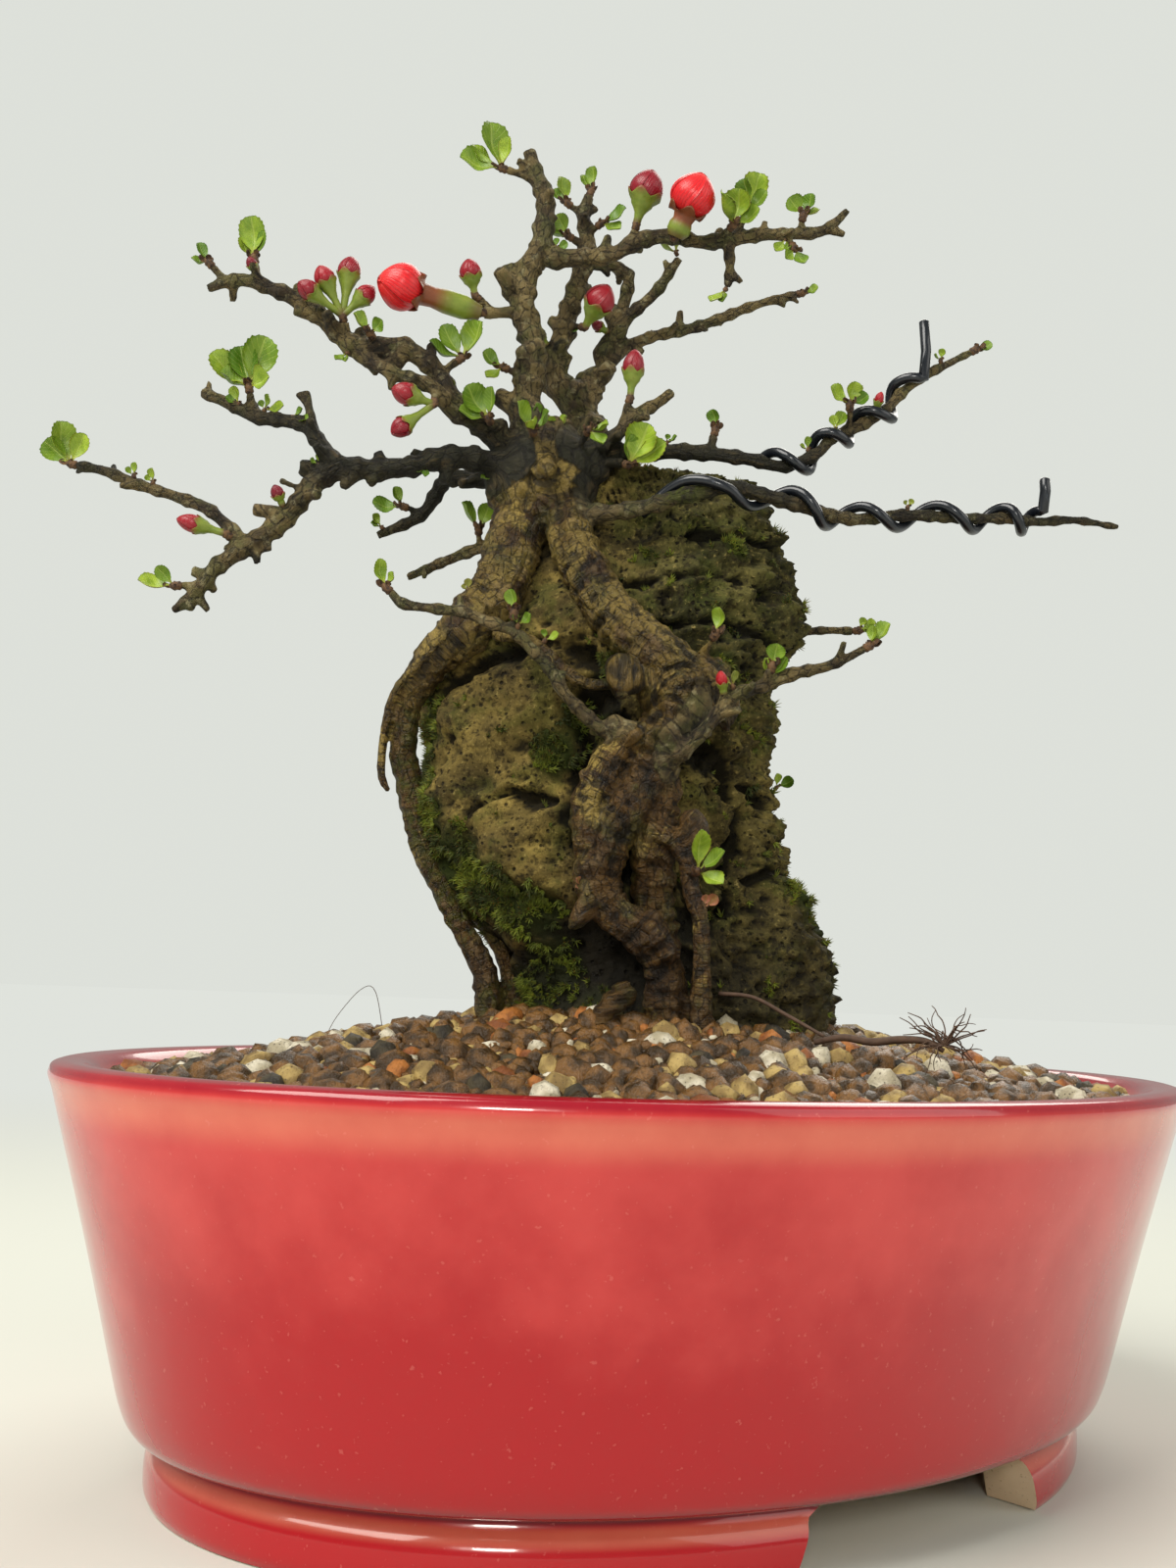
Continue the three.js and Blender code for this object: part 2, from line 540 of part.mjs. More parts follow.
// Branches that carry training wire stay smooth, so that the wire lies close
const WIRED = {
  right_low: [
    [-16, -8, 157, 2], [-10.5, -13, 154.5, 1.5], [-3.5, -15, 155, 1.3], [4, -15.5, 157, 1.3],
    [11.2, -15.5, 158.3, 1.2], [18.4, -14.5, 157, 1.15], [25.5, -13, 155.2, 1.1], [32.6, -11, 154.2, 1],
    [41.4, -10, 155.2, 1], [51.2, -9, 155, 0.9], [59.8, -8, 155.1, 0.9], [65.8, -7, 154.9, 0.8],
    [72.2, -6, 155.5, 0.7], [79.5, -6, 154.2, 0.5],
  ],
  right_rising: [
    [-13, -5, 164.5, 2], [-6, -8, 166.5, 1.5], [4, -8.5, 166.8, 1.3], [14.5, -8, 165.8, 1.15],
    [21.3, -7.5, 164.6, 1.1], [26.9, -7, 166.8, 1.05], [30.2, -6, 170.3, 1], [34.6, -5, 172.4, 1],
    [39.8, -4, 175.9, 0.9], [43, -3.5, 179.4, 0.9], [47.5, -3, 182.8, 0.8], [55.5, -3, 187, 0.6],
  ],
};

// How far round its branch the wire has gone, in turns, at points counted along the branch's list
const WINDINGS = {
  wire_right_low: {
    branch: 'right_low',
    turns: [
      [1.9, -0.3], [3, 0], [4, 0.32], [5, 0.75], [6, 1.3], [7, 1.95], [8, 2.6], [9, 3.3], [10, 4.1],
      [11, 5.1],
    ],
    free: [[0.3, -0.8, 3.4], [0.2, -1, 5.4]],
  },
  wire_right_rising: {
    branch: 'right_rising',
    turns: [[3.4, -0.2], [4, 0.15], [5, 0.75], [6, 1.3], [7, 1.85], [8, 2.5], [9, 3], [9.7, 3.3]],
    free: [[0.6, 0.2, 5], [0.4, 0.3, 10.5]],
  },
};
const WIRE_STEPS_A_TURN = 7;

// Short wood under each leaf tuft or bud: [name, from, to, radius]
const SPURS = {
  apex: [[-21.8, -5, 218], [-27, -6, 219.4], 0.8],
  second_side: [[-13.5, 4, 215.5], [-15.6, 3.8, 217.4], 0.7],
  second_right: [[-12.8, 4, 212], [-10.9, 2.8, 213], 0.7],
  second_left: [[-12.5, 4, 209.5], [-15.3, 2.8, 210.7], 0.7],
  upper_tip_high: [[13.5, -9, 205.4], [14.8, -9.2, 209.4], 0.7],
  upper_broad: [[10.4, -9.2, 205], [12, -11.2, 206], 0.7],
  upper_end: [[24.5, -9, 206.3], [24.9, -9.6, 208.2], 0.6],
  upper_low: [[22, -9, 206], [23, -9.6, 204], 0.6],
  low_tuft: [[-11.5, -8.3, 165.5], [-6.5, -11, 163.8], 0.9],
  trunk_front: [[-21.5, -9, 166.5], [-21.8, -14.2, 168], 0.7],
  trunk_right: [[-14.5, -9, 166.5], [-12.8, -13.4, 168.3], 0.7],
  trunk_left: [[-27.5, -7, 169.5], [-29.2, -10.6, 171.2], 0.8],
  leader_tuft: [[-23, -6, 181], [-26.4, -7.2, 182], 0.6],
  left_tip: [[-75, -13, 195.5], [-77.2, -13.2, 198], 0.7],
  left_near_tip: [[-69, -13, 195], [-69.8, -13.4, 198.4], 0.6],
  left_mid_leaf: [[-48.5, -11, 184.2], [-49.4, -13.6, 185.2], 0.6],
  left_round: [[-38.3, -10, 180], [-35.2, -10.4, 182.2], 0.8],
  lower_tip: [[-76, -20, 140.4], [-79.2, -20.2, 140.2], 0.7],
  fork_tuft: [[-69.5, -14, 171.2], [-70, -14.4, 175], 0.8],
  lower_bud: [[-59.7, -18, 157], [-63.8, -18.4, 158.6], 0.6],
  back_leaf: [[-43, 10, 161.4], [-45.4, 9.4, 162], 0.6],
  low_back_leaf: [[-32, 4.4, 153.2], [-32, 2.6, 155.2], 0.6],
  shoot_left_mid: [[-24.5, -28, 131], [-24.4, -28.6, 132.8], 0.6],
  shoot_right_mid: [[15.5, -29, 122.2], [16, -29.6, 124], 0.6],
  rising_leaf: [[33.2, -5.3, 171.8], [33, -7.4, 174.6], 0.6],
  crest_bud: [[8.5, -8.3, 166.6], [9.2, -8.8, 169.6], 0.8],
  root_leaf: [[3.2, -26, 92], [4, -28.6, 92.6], 0.7],
  burl_leaf: [[5.5, -19.5, 127.5], [7.6, -22, 131], 0.7],
  bud_ball_left: [[-24.5, -6, 193], [-30.4, -9.5, 191.4], 1.1],
  bud_ball_left_small: [[-29, -8.8, 191.6], [-31.4, -9.8, 193.6], 0.8],
  bud_bunch: [[-53.8, -12.2, 185], [-54.4, -13.4, 188], 1],
  bud_pair: [[-38.5, -13.2, 176.2], [-38.6, -14.6, 173.8], 0.8],
  bud_lower: [[-69.6, -18.6, 147], [-71.4, -19.4, 148.4], 0.8],
  bud_upper: [[-4.8, -8, 204.8], [-4.3, -8.6, 207], 0.9],
  bud_ball_right: [[2, -8.2, 205.4], [2.4, -10.6, 204.6], 0.9],
  bud_middle: [[-16.6, 2.6, 194.5], [-13.9, 0.4, 193], 0.8],
  bud_low: [[-6.9, -10, 170.4], [-5.6, -10.4, 174.8], 0.7],
};

// Small blunt spurs along a limb: how many, and where along its list they begin and end
const BARE_SPURS = [
  ['left_upper', 3, 3, 14], ['left_lower', 2, 3, 13], ['right_upper', 2, 2, 11.5], ['leader', 1, 2, 10.5],
  ['second', 1, 3, 11],
];
const SPUR_LENGTH = 1.5;
const LIMB_LUMPS = 0.16;
const BEND_KEPT = 0.4;

const LIMBS = { ...ROOTS, ...STEMS, ...BRANCHES, ...WIRED };

const THICK_LIMBS = ['collar', 'left', 'right', 'burl'];

function limbSides(name) {
  if (THICK_LIMBS.includes(name)) return 6;
  return name in STEMS || name in WIRED ? 5 : 4;
}

// The point at a place counted along a limb's list, such as 2.5 for halfway from the third to the fourth
function pointOn(points, at) {
  const from = Math.min(Math.floor(at), points.length - 2);
  return points[from].map((value, i) => value + (points[from + 1][i] - value) * (at - from));
}

function bareSpurs() {
  const random = seededRandom(11);
  return BARE_SPURS.flatMap(([name, count, begin, end]) => Array.from({ length: count }, (_, i) => {
    const [across, away, up, radius] = pointOn(LIMBS[name], begin + ((end - begin) * (i + 0.5)) / count);
    const angle = i * 2.4 + random();
    const reach = radius + SPUR_LENGTH * (0.6 + 0.7 * random());
    const aside = away + 0.3 * reach * Math.cos(angle);
    const tip = [across - 0.4 * reach, aside, up + reach * Math.sin(angle), 0.3];
    return [[across, away, up, 0.7], tip];
  }));
}

function spurRoutes() {
  return Object.values(SPURS).map(([from, to, radius]) => [[...from, radius * 1.15], [...to, radius]]);
}

function treeLimbs(swell) {
  const lumpy = Object.entries(LIMBS).map(([name, points], i) => {
    if (name in WIRED) return limb(points, limbSides(name), { swell });
    return limb(bendsOf(points), limbSides(name), { swell, lumps: LIMB_LUMPS, seed: i + 1 });
  });
  const spurs = spurRoutes().map((points) => limb(points, 3, { swell }));
  const bare = bareSpurs().map((points) => limb(points, 3, { swell }));
  return joined([...lumpy, ...spurs, ...bare]);
}

// Training wire, wound on its branch

function wireRoute({ branch, turns, free }) {
  const points = WIRED[branch];
  const frames = framesAlong(points.map(place));
  const route = [];
  const start = turns[0][0];
  const end = turns.at(-1)[0];
  const steps = Math.round((turns.at(-1)[1] - turns[0][1]) * WIRE_STEPS_A_TURN);
  for (let i = 0; i <= steps; i += 1) {
    const turn = turns[0][1] + i / WIRE_STEPS_A_TURN;
    const found = turns.findIndex(([, t], k) => k > 0 && turn <= t);
    const knot = found < 0 ? turns.length - 1 : found;
    const [[a0, t0], [a1, t1]] = [turns[knot - 1], turns[knot]];
    const at = THREE.MathUtils.clamp(a0 + ((a1 - a0) * (turn - t0)) / (t1 - t0), start, end);
    const from = Math.min(Math.floor(at), points.length - 2);
    const share = at - from;
    const [before, after] = [frames[from], frames[from + 1]];
    const centre = before.point.clone().lerp(after.point, share);
    const side = before.side.clone().lerp(after.side, share).normalize();
    const up = before.up.clone().lerp(after.up, share).normalize();
    const reach = pointOn(points, at)[3] + WIRE_RADIUS + WIRE_STAND_OFF;
    const angle = turn * 2 * Math.PI;
    centre.addScaledVector(side, Math.cos(angle) * reach);
    route.push(centre.addScaledVector(up, Math.sin(angle) * reach));
  }
  const lead = route.at(-1);
  return [...route, ...free.map((step) => lead.clone().add(stepOf(step)))];
}

function buildWires() {
  for (const [name, winding] of Object.entries(WINDINGS)) {
    const rings = framesAlong(wireRoute(winding)).map((frame) => ringAround(frame, WIRE_RADIUS, 5));
    addPiece(name, loft(rings, middleOf(rings[0]), middleOf(rings.at(-1))), 'wire');
  }
}

// Leaf tufts: the spur or twig whose end carries each, and its leaves as [step to the leaf's tip, width]
const TUFTS = {
  leaves_apex: ['apex', [
    [[-2, 0, 8.6], 5.4], [[-7.2, -1.4, 1.6], 4.8], [[1.4, -1, 5.4], 2.8], [[-5, 1.6, 5.2], 3],
  ]],
  leaves_second_top: ['second', [[[0.4, -0.4, 4.6], 2.4], [[-1.6, 0.6, 3.4], 1.8]]],
  leaves_second_side: ['second_side', [[[-1, -0.4, 4.8], 3.4], [[-2.6, 0.6, 2.8], 2]]],
  leaves_second_right: ['second_right', [[[4.4, -1, 2.6], 3.2], [[3.4, -1.4, -1.6], 2.6]]],
  leaves_second_left: ['second_left', [[[-2, -0.6, 3.8], 2.8], [[-3.2, -0.4, 0.4], 2.2]]],
  leaves_upper_high: ['upper_tip_high', [[[2.6, 0.4, 7], 4], [[-0.4, -0.8, 5.4], 2.8], [[3.6, -1, 3], 2.4]]],
  leaves_upper_broad: ['upper_broad', [
    [[-2.4, -5.4, 3.2], 4.4], [[1, -1.8, 5.8], 4.2], [[4.4, -1.4, 2.4], 3],
  ]],
  leaves_upper_end: ['upper_end', [[[-2.6, -0.8, 2.8], 3], [[1.4, -0.8, 3.6], 3], [[2.8, 0.6, 1.4], 2]]],
  leaves_upper_low: ['upper_low', [[[1.6, -1, -3], 2.2], [[-1.6, -1, -2.2], 1.8]]],
  leaves_middle_end: ['middle_long_twig', [[[2.8, -0.4, 1.2], 1.8]]],
  leaves_low_tuft: ['low_tuft', [[[3.4, -2, 6.6], 5], [[6.2, -2, 3.4], 3.4], [[0.2, -1.4, 5], 2.8]]],
  leaves_trunk_front: ['trunk_front', [[[-2.4, -3, 4], 2.8], [[2.6, -3, 2.4], 2.4], [[0, -3.6, 0.6], 2]]],
  leaves_trunk_right: ['trunk_right', [[[2.4, -2, -3], 2.4], [[3.2, -2, 0.4], 2.2]]],
  leaves_trunk_left: ['trunk_left', [[[-3.6, -1.6, 5.4], 4], [[0.6, -2, 5], 2.6], [[-5, -1, 1.4], 3]]],
  leaves_leader: ['leader_tuft', [[[-3.4, -0.8, 2.6], 2.6], [[-2.8, -1.4, -2.2], 2]]],
  leaves_left_tip: ['left_tip', [[[-1.8, -0.2, 3.4], 1.8], [[-3, 0.4, 1], 1.6]]],
  leaves_left_near_tip: ['left_near_tip', [
    [[-0.6, -0.4, 7.4], 4], [[1.8, -0.8, 4.6], 2.4], [[-2.4, 0.4, 4], 2.2],
  ]],
  leaves_left_mid: ['left_mid_leaf', [[[-2.6, -1.6, 3], 2.8], [[2.2, -1.8, 1.6], 2.4]]],
  leaves_left_round: ['left_round', [
    [[3.4, -1.4, 6], 6.2], [[-3.4, -0.4, 5.8], 3.2], [[-5.6, -0.4, 3], 2.4],
  ]],
  leaves_lower_tip: ['lower_tip', [[[-5.8, -0.6, 1], 3.4], [[-2.8, -1, 3], 2]]],
  leaves_far_tip: ['left_far', [[[-2, 0, 7.4], 4], [[2.4, -0.8, 5], 2.8], [[-4.4, -0.4, 3.8], 3.4]]],
  leaves_fork: ['fork_tuft', [
    [[-6.4, -0.6, 5.8], 4], [[2.6, 0.2, 9], 5], [[-1.8, 0.6, 7.4], 4.2], [[-4.6, -1.6, 2], 4.6],
    [[3.6, -1.4, 1.4], 4],
  ]],
  leaves_back: ['back_leaf', [[[-5.4, -0.6, 0.8], 2.8], [[-1.4, -1, 3.4], 1.8]]],
  leaves_low_back: ['low_back_leaf', [[[-2.8, -1.8, 4.4], 3], [[2, -1.6, 4.2], 2.6]]],
  leaves_shoot_left: ['root_shoot_left', [[[-1, -0.4, 4.6], 2], [[1, 0, 2.6], 1.4]]],
  leaves_shoot_right: ['root_shoot_right', [[[3, -0.2, 3.6], 2.6], [[0.4, -0.4, 3.2], 1.8]]],
  leaves_rising: ['rising_leaf', [[[-3.2, -0.8, 3.2], 2.8], [[1, -1, 3.8], 2.6], [[3.2, -0.4, 1.6], 2]]],
  leaves_root: ['root_leaf', [[[0.6, -2.4, 6.2], 2.6], [[4, -2, 3], 2.2], [[3.8, -2, -2], 2.6]]],
  leaves_shoot_left_mid: ['shoot_left_mid', [[[-0.6, -0.6, 3.6], 2]]],
  leaves_shoot_right_mid: ['shoot_right_mid', [[[0.8, -1, 3.4], 2.6]]],
  leaves_rising_end: ['right_rising', [[[2.8, 0, 1.2], 1.8]]],
  leaves_crest: ['crest_bud', [[[-0.6, -0.6, 3.4], 2.2]]],
  leaves_burl: ['burl_leaf', [[[0.4, -0.8, 4.2], 2.2]]],
  leaves_back_shoot: ['back_shoot', [[[3, -1, 1.4], 2.2]]],
};

// Rows across a leaf, from its root to its tip: share of the length, and share of the width.
// The outline swells towards the tip, and every other row is drawn in as a notch between teeth.
const LEAF_ROWS_LARGE = [[0, 0.18], [0.34, 0.6], [0.55, 1], [0.66, 0.8], [0.84, 0.84]];
const LEAF_ROWS_SMALL = [[0, 0.2], [0.45, 0.9], [0.58, 0.76], [0.8, 0.84]];
const LEAF_ROWS_TINY = [[0, 0.3], [0.55, 1]];
const LARGE_LEAF_WIDTH = 3.9;
const TINY_LEAF_WIDTH = 2.8;
const LEAF_START = 0.45;
const LEAF_CUP = 0.22;
const LEAF_ARCH = 0.08;
const LEAF_FACING = [0, -1, 0.55];

// A toothed and arched blade, split into triangles alike on both faces.
// A large one is cupped along its midrib.
function leafBlade(heel, tip, width) {
  const along = tip.clone().sub(heel).normalize();
  const root = heel.clone().addScaledVector(along, LEAF_START * HEEL_RADIUS);
  const length = tip.distanceTo(root);
  const facing = stepOf(LEAF_FACING).normalize();
  const normal = facing.addScaledVector(along, -facing.dot(along)).normalize();
  const aside = along.clone().cross(normal);
  const large = width >= LARGE_LEAF_WIDTH;
  const toothed = large ? LEAF_ROWS_LARGE : LEAF_ROWS_SMALL;
  const rows = width < TINY_LEAF_WIDTH ? LEAF_ROWS_TINY : toothed;
  const columns = large ? [-1, 0, 1] : [-1, 1];
  const points = [];
  const addPair = (share, offset) => {
    const cup = large ? LEAF_CUP * Math.abs(offset) : 0;
    const top = root.clone().addScaledVector(along, share * length).addScaledVector(aside, offset);
    top.addScaledVector(normal, cup - LEAF_ARCH * length * Math.sin(Math.PI * share) ** 2);
    points.push(top, top.clone().addScaledVector(normal, -BLADE));
  };
  for (const [share, spread] of rows) {
    for (const way of columns) addPair(share, (way * spread * width) / 2);
  }
  addPair(1, 0);
  const across = columns.length;
  const at = (row, column, face) => (row * across + column) * 2 + face;
  const end = rows.length * across * 2;
  const faces = [];
  const quad = (a, b, c, d) => faces.push(a, b, c, a, c, d);
  const last = rows.length - 1;
  const edge = across - 1;
  for (let column = 0; column < edge; column += 1) {
    for (let row = 0; row < last; row += 1) {
      quad(at(row, column, 0), at(row, column + 1, 0), at(row + 1, column + 1, 0), at(row + 1, column, 0));
      faces.push(at(row, column, 1), at(row + 1, column + 1, 1), at(row, column + 1, 1));
      faces.push(at(row, column, 1), at(row + 1, column, 1), at(row + 1, column + 1, 1));
    }
    faces.push(at(last, column, 0), at(last, column + 1, 0), end);
    faces.push(at(last, column, 1), end + 1, at(last, column + 1, 1));
    quad(at(0, column, 1), at(0, column + 1, 1), at(0, column + 1, 0), at(0, column, 0));
  }
  for (let row = 0; row < last; row += 1) {
    quad(at(row, 0, 1), at(row, 0, 0), at(row + 1, 0, 0), at(row + 1, 0, 1));
    quad(at(row, edge, 0), at(row, edge, 1), at(row + 1, edge, 1), at(row + 1, edge, 0));
  }
  quad(at(last, 0, 1), at(last, 0, 0), end, end + 1);
  quad(at(last, edge, 0), at(last, edge, 1), end + 1, end);
  return solidOf(closedGeometry(points, faces));
}

// The swollen foot that a tuft's leaves grow from, just clear of its spur's cut end
function tuftHeel(carrier) {
  const [from, to] = (SPURS[carrier] ?? LIMBS[carrier].slice(-2)).slice(0, 2).map(place);
  const along = to.clone().sub(from).normalize();
  const [start, low, high, finish] = HEEL_STEPS.map((step) => (
    to.clone().addScaledVector(along, CLEARANCE + step * HEEL_RADIUS)
  ));
  const rings = framesAlong([low, high]).map((frame) => ringAround(frame, HEEL_RADIUS, 4));
  return { solid: loft(rings, start, finish), root: low.clone().lerp(high, 0.5) };
}

function buildLeaves() {
  for (const [name, [carrier, leaves]] of Object.entries(TUFTS)) {
    const heel = tuftHeel(carrier);
    const blades = leaves.map(([step, width]) => {
      const tip = heel.root.clone().add(stepOf(step));
      return leafBlade(heel.root, tip, width);
    });
    addPiece(name, joined([heel.solid, ...blades]), 'leaf');
  }
}

// Flower buds: the spur that carries each bunch, and its balls as [name, step to the middle, radius, length].
// A ball with no name of its own grows fused with its bunch.
const BUDS = {
  calyx_ball_left: ['bud_ball_left', [['petals_ball_left', [-13.3, -4.4, 2.8], 4.1, 8.4]]],
  calyx_ball_left_small: ['bud_ball_left_small', [['petals_left_small', [-0.8, -1, 4], 1.9, 4.2]]],
  buds_bunch: ['bud_bunch', [
    [null, [1, 0.3, 8.4], 2, 4.8], [null, [-3, -1.6, 6.2], 1.8, 4.2],
    [null, [-5.6, -2.6, 3.6], 1.7, 4], [null, [3.9, 0.4, 4], 1.7, 4],
  ]],
  buds_pair: ['bud_pair', [[null, [-4.8, -1.4, 1.4], 1.9, 4.8], [null, [-5.4, -1.4, -4.6], 1.7, 4]]],
  calyx_lower: ['bud_lower', [['petals_lower', [-5.6, -0.6, 1.6], 1.5, 5]]],
  calyx_upper: ['bud_upper', [['petals_upper', [1.8, -1.2, 6], 3, 6.6]]],
  calyx_ball_right: ['bud_ball_right', [['petals_ball_right', [3, -2.6, 6.4], 4, 8]]],
  calyx_middle: ['bud_middle', [['petals_middle', [2.8, -2.6, 4.2], 2.7, 5.8]]],
  calyx_low: ['bud_low', [['petals_low', [0.6, -0.4, 5.6], 1.9, 5.6]]],
};

// Rows up a ball of petals, as shares of its length, and the corners of each row
const BALL_ROWS_LARGE = [0.12, 0.4, 0.62, 0.82, 0.94];
const BALL_ROWS_SMALL = [0.14, 0.46, 0.76, 0.93];
const LARGE_BALL_RADIUS = 2.5;
const CALYX_LIP_ROW = 0.34;
const LOBE_RISE = 0.08;
const LOBE_DIP = 0.1;
const PETAL_TWIST = 1.6;
const PETAL_DIP = 0.9;
const STALK_RADIUS = 0.6;
const NECK_RISE = 0.5;

function ballRows(radius) {
  return radius > LARGE_BALL_RADIUS ? BALL_ROWS_LARGE : BALL_ROWS_SMALL;
}

function ballSides(radius) {
  return radius > LARGE_BALL_RADIUS ? 8 : 6;
}

function ballGirth(row) {
  return Math.sin(Math.PI * row ** 0.9) ** 0.62;
}

// Five petals wrapped over each other: each one's edge stands a little proud of the next
function petalBall(centre, along, radius, length) {
  const rows = ballRows(radius);
  const start = centre.clone().addScaledVector(along, -length / 2);
  const points = rows.map((row) => start.clone().addScaledVector(along, row * length));
  const rings = framesAlong(points).map((frame, i) => {
    const turn = Math.max(rows[i] - 0.5, 0) * PETAL_TWIST;
    const girth = radius * ballGirth(rows[i]);
    return ringAround(frame, (angle, k) => girth * (k % 2 ? 1 : PETAL_DIP), ballSides(radius), turn);
  });
  return loft(rings, start, start.clone().addScaledVector(along, length));
}

// A short stalk that widens to a hollow cup, with a lobe under every other corner of the ball
function calyxCup(from, centre, along, radius, length) {
  const [first, second] = ballRows(radius);
  const foot = centre.clone().addScaledVector(along, -length / 2);
  const share = Math.min((CALYX_LIP_ROW + LOBE_RISE - first) / (second - first), 1);
  const firstGirth = radius * ballGirth(first) + CLEARANCE;
  const lipGirth = radius * THREE.MathUtils.lerp(ballGirth(first), ballGirth(second), share) + CLEARANCE;
  const neck = -CLEARANCE - CALYX_WALL - NECK_RISE;
  const outline = [
    [neck, STALK_RADIUS], [neck + NECK_RISE, firstGirth * 0.8], [first * length, firstGirth + CALYX_WALL],
    [CALYX_LIP_ROW * length, lipGirth + CALYX_WALL], [CALYX_LIP_ROW * length, lipGirth],
    [first * length - 0.1, firstGirth],
  ];
  const points = outline.map(([step]) => foot.clone().addScaledVector(along, step));
  const frames = framesAlong([foot, centre]);
  const rings = outline.map(([, girth], i) => {
    const ring = ringAround({ ...frames[0], point: points[i] }, girth, ballSides(radius));
    const isLip = i === 3 || i === 4;
    const shiftOf = (k) => (k % 2 ? LOBE_RISE : -LOBE_DIP) * length;
    if (isLip) ring.forEach((point, k) => point.addScaledVector(along, shiftOf(k)));
    return ring;
  });
  const stem = ringAround({ ...frames[0], point: from }, STALK_RADIUS, ballSides(radius));
  const bottom = foot.clone().addScaledVector(along, -CLEARANCE);
  return loft([stem, ...rings], from, bottom);
}

// A small bud in one body: stalk, then the calyx, a step in at its lip, and the petals
function wholeBud(from, centre, along, radius, length) {
  const [first, second, ...upper] = ballRows(radius);
  const foot = centre.clone().addScaledVector(along, -length / 2);
  const outline = [
    [-NECK_RISE, STALK_RADIUS], [first * length, radius * ballGirth(first) + CALYX_WALL / 2],
    [CALYX_LIP_ROW * length, radius + CALYX_WALL / 2], [(CALYX_LIP_ROW + 0.02) * length, radius * 0.94],
    ...[second, ...upper].map((row) => [row * length, radius * ballGirth(row)]),
  ];
  const sides = ballSides(radius);
  const frame = framesAlong([foot, centre])[0];
  const rings = outline.map(([step, girth]) => (
    ringAround({ ...frame, point: foot.clone().addScaledVector(along, step) }, girth, sides)
  ));
  const stem = ringAround({ ...frame, point: from }, STALK_RADIUS, sides);
  return loft([stem, ...rings], from, foot.clone().addScaledVector(along, length));
}

function buildBuds() {
  for (const [name, [spur, balls]] of Object.entries(BUDS)) {
    const heel = tuftHeel(spur);
    const grown = [heel.solid];
    for (const [ballName, step, radius, length] of balls) {
      const centre = heel.root.clone().add(stepOf(step));
      const along = centre.clone().sub(heel.root).normalize();
      if (ballName) {
        addPiece(ballName, petalBall(centre, along, radius, length), 'petal');
        grown.push(calyxCup(heel.root, centre, along, radius, length));
      } else {
        grown.push(wholeBud(heel.root, centre, along, radius, length));
      }
    }
    addPiece(name, joined(grown), name.startsWith('buds') ? 'petal' : 'calyx');
  }
}

// Soil

function soilHeight(share) {
  return SOIL_AT_WALL + (SOIL_AT_MIDDLE - SOIL_AT_WALL) * Math.cos((share * Math.PI) / 2) ** 1.3;
}

// The heap of grains: rings of points, each one lifted or sunk as a grain's top or the dip between grains
function soilBlock() {
  const random = seededRandom(5);
  const edge = CLEARANCE + 0.15;
  const inside = POT_SECTION.slice(-3).map(([inset, height]) => [inset + edge, height]);
  const [[wallTopInset, wallTop], [wallFootInset, wallFoot], [floorInset]] = inside;
  const { mapLinear } = THREE.MathUtils;
  const insetAt = (height) => mapLinear(height, wallTop, wallFoot, wallTopInset, wallFootInset);
  const points = [];
  const faces = [];
  const addRing = (ring) => {
    ring.forEach((point) => points.push(point));
    return points.length - ring.length;
  };
  const bottom = addRing(oval(floorInset + 0.6, FLOOR_TOP + CLEARANCE, SOIL_SEGMENTS));
  const lower = addRing(oval(wallFootInset, wallFoot + 0.6, SOIL_SEGMENTS));
  const top = addRing(oval(insetAt(SOIL_AT_WALL), SOIL_AT_WALL, SOIL_SEGMENTS));
  faces.push(...bandFaces(bottom, lower, SOIL_SEGMENTS), ...bandFaces(lower, top, SOIL_SEGMENTS));
  let previous = top;
  const reach = RIM_LENGTH / 2 - insetAt(SOIL_AT_WALL);
  const depth = RIM_WIDTH / 2 - insetAt(SOIL_AT_WALL);
  for (let ring = SOIL_RINGS - 1; ring > 0; ring -= 1) {
    const share = ring / SOIL_RINGS;
    const grains = Array.from({ length: SOIL_SEGMENTS }, (_, i) => {
      const angle = ((i + (ring % 2) * 0.5 + (random() - 0.5) * 0.5) / SOIL_SEGMENTS) * 2 * Math.PI;
      const out = share + ((random() - 0.5) * 0.5) / SOIL_RINGS;
      const lift = ((i + ring) % 2 ? 0.5 : -0.5) + 0.5 * (random() - 0.5);
      const height = soilHeight(share) + lift * GRAIN_RELIEF;
      return new THREE.Vector3(reach * out * Math.cos(angle), depth * out * Math.sin(angle), height);
    });
    const current = addRing(grains);
    faces.push(...bandFaces(previous, current, SOIL_SEGMENTS));
    previous = current;
  }
  const crown = points.push(new THREE.Vector3(0, 0, SOIL_AT_MIDDLE)) - 1;
  const under = points.push(new THREE.Vector3(0, 0, FLOOR_TOP + CLEARANCE)) - 1;
  for (let i = 0; i < SOIL_SEGMENTS; i += 1) {
    const next = (i + 1) % SOIL_SEGMENTS;
    faces.push(previous + i, previous + next, crown);
    faces.push(bottom + next, bottom + i, under);
  }
  return solidOf(closedGeometry(points, faces));
}

// A plain block of air round each screen and clip
function drainageRoom(side) {
  const width = SCREEN_SIZE + 2 * CLEARANCE;
  const height = SCREEN_TOP + 2 * CLIP_RADIUS + 3 * CLEARANCE - FLOOR_TOP;
  const room = new THREE.BoxGeometry(width, width, height);
  return solidOf(room.translate(side * DRAIN_OFFSET, 0, FLOOR_TOP + height / 2));
}

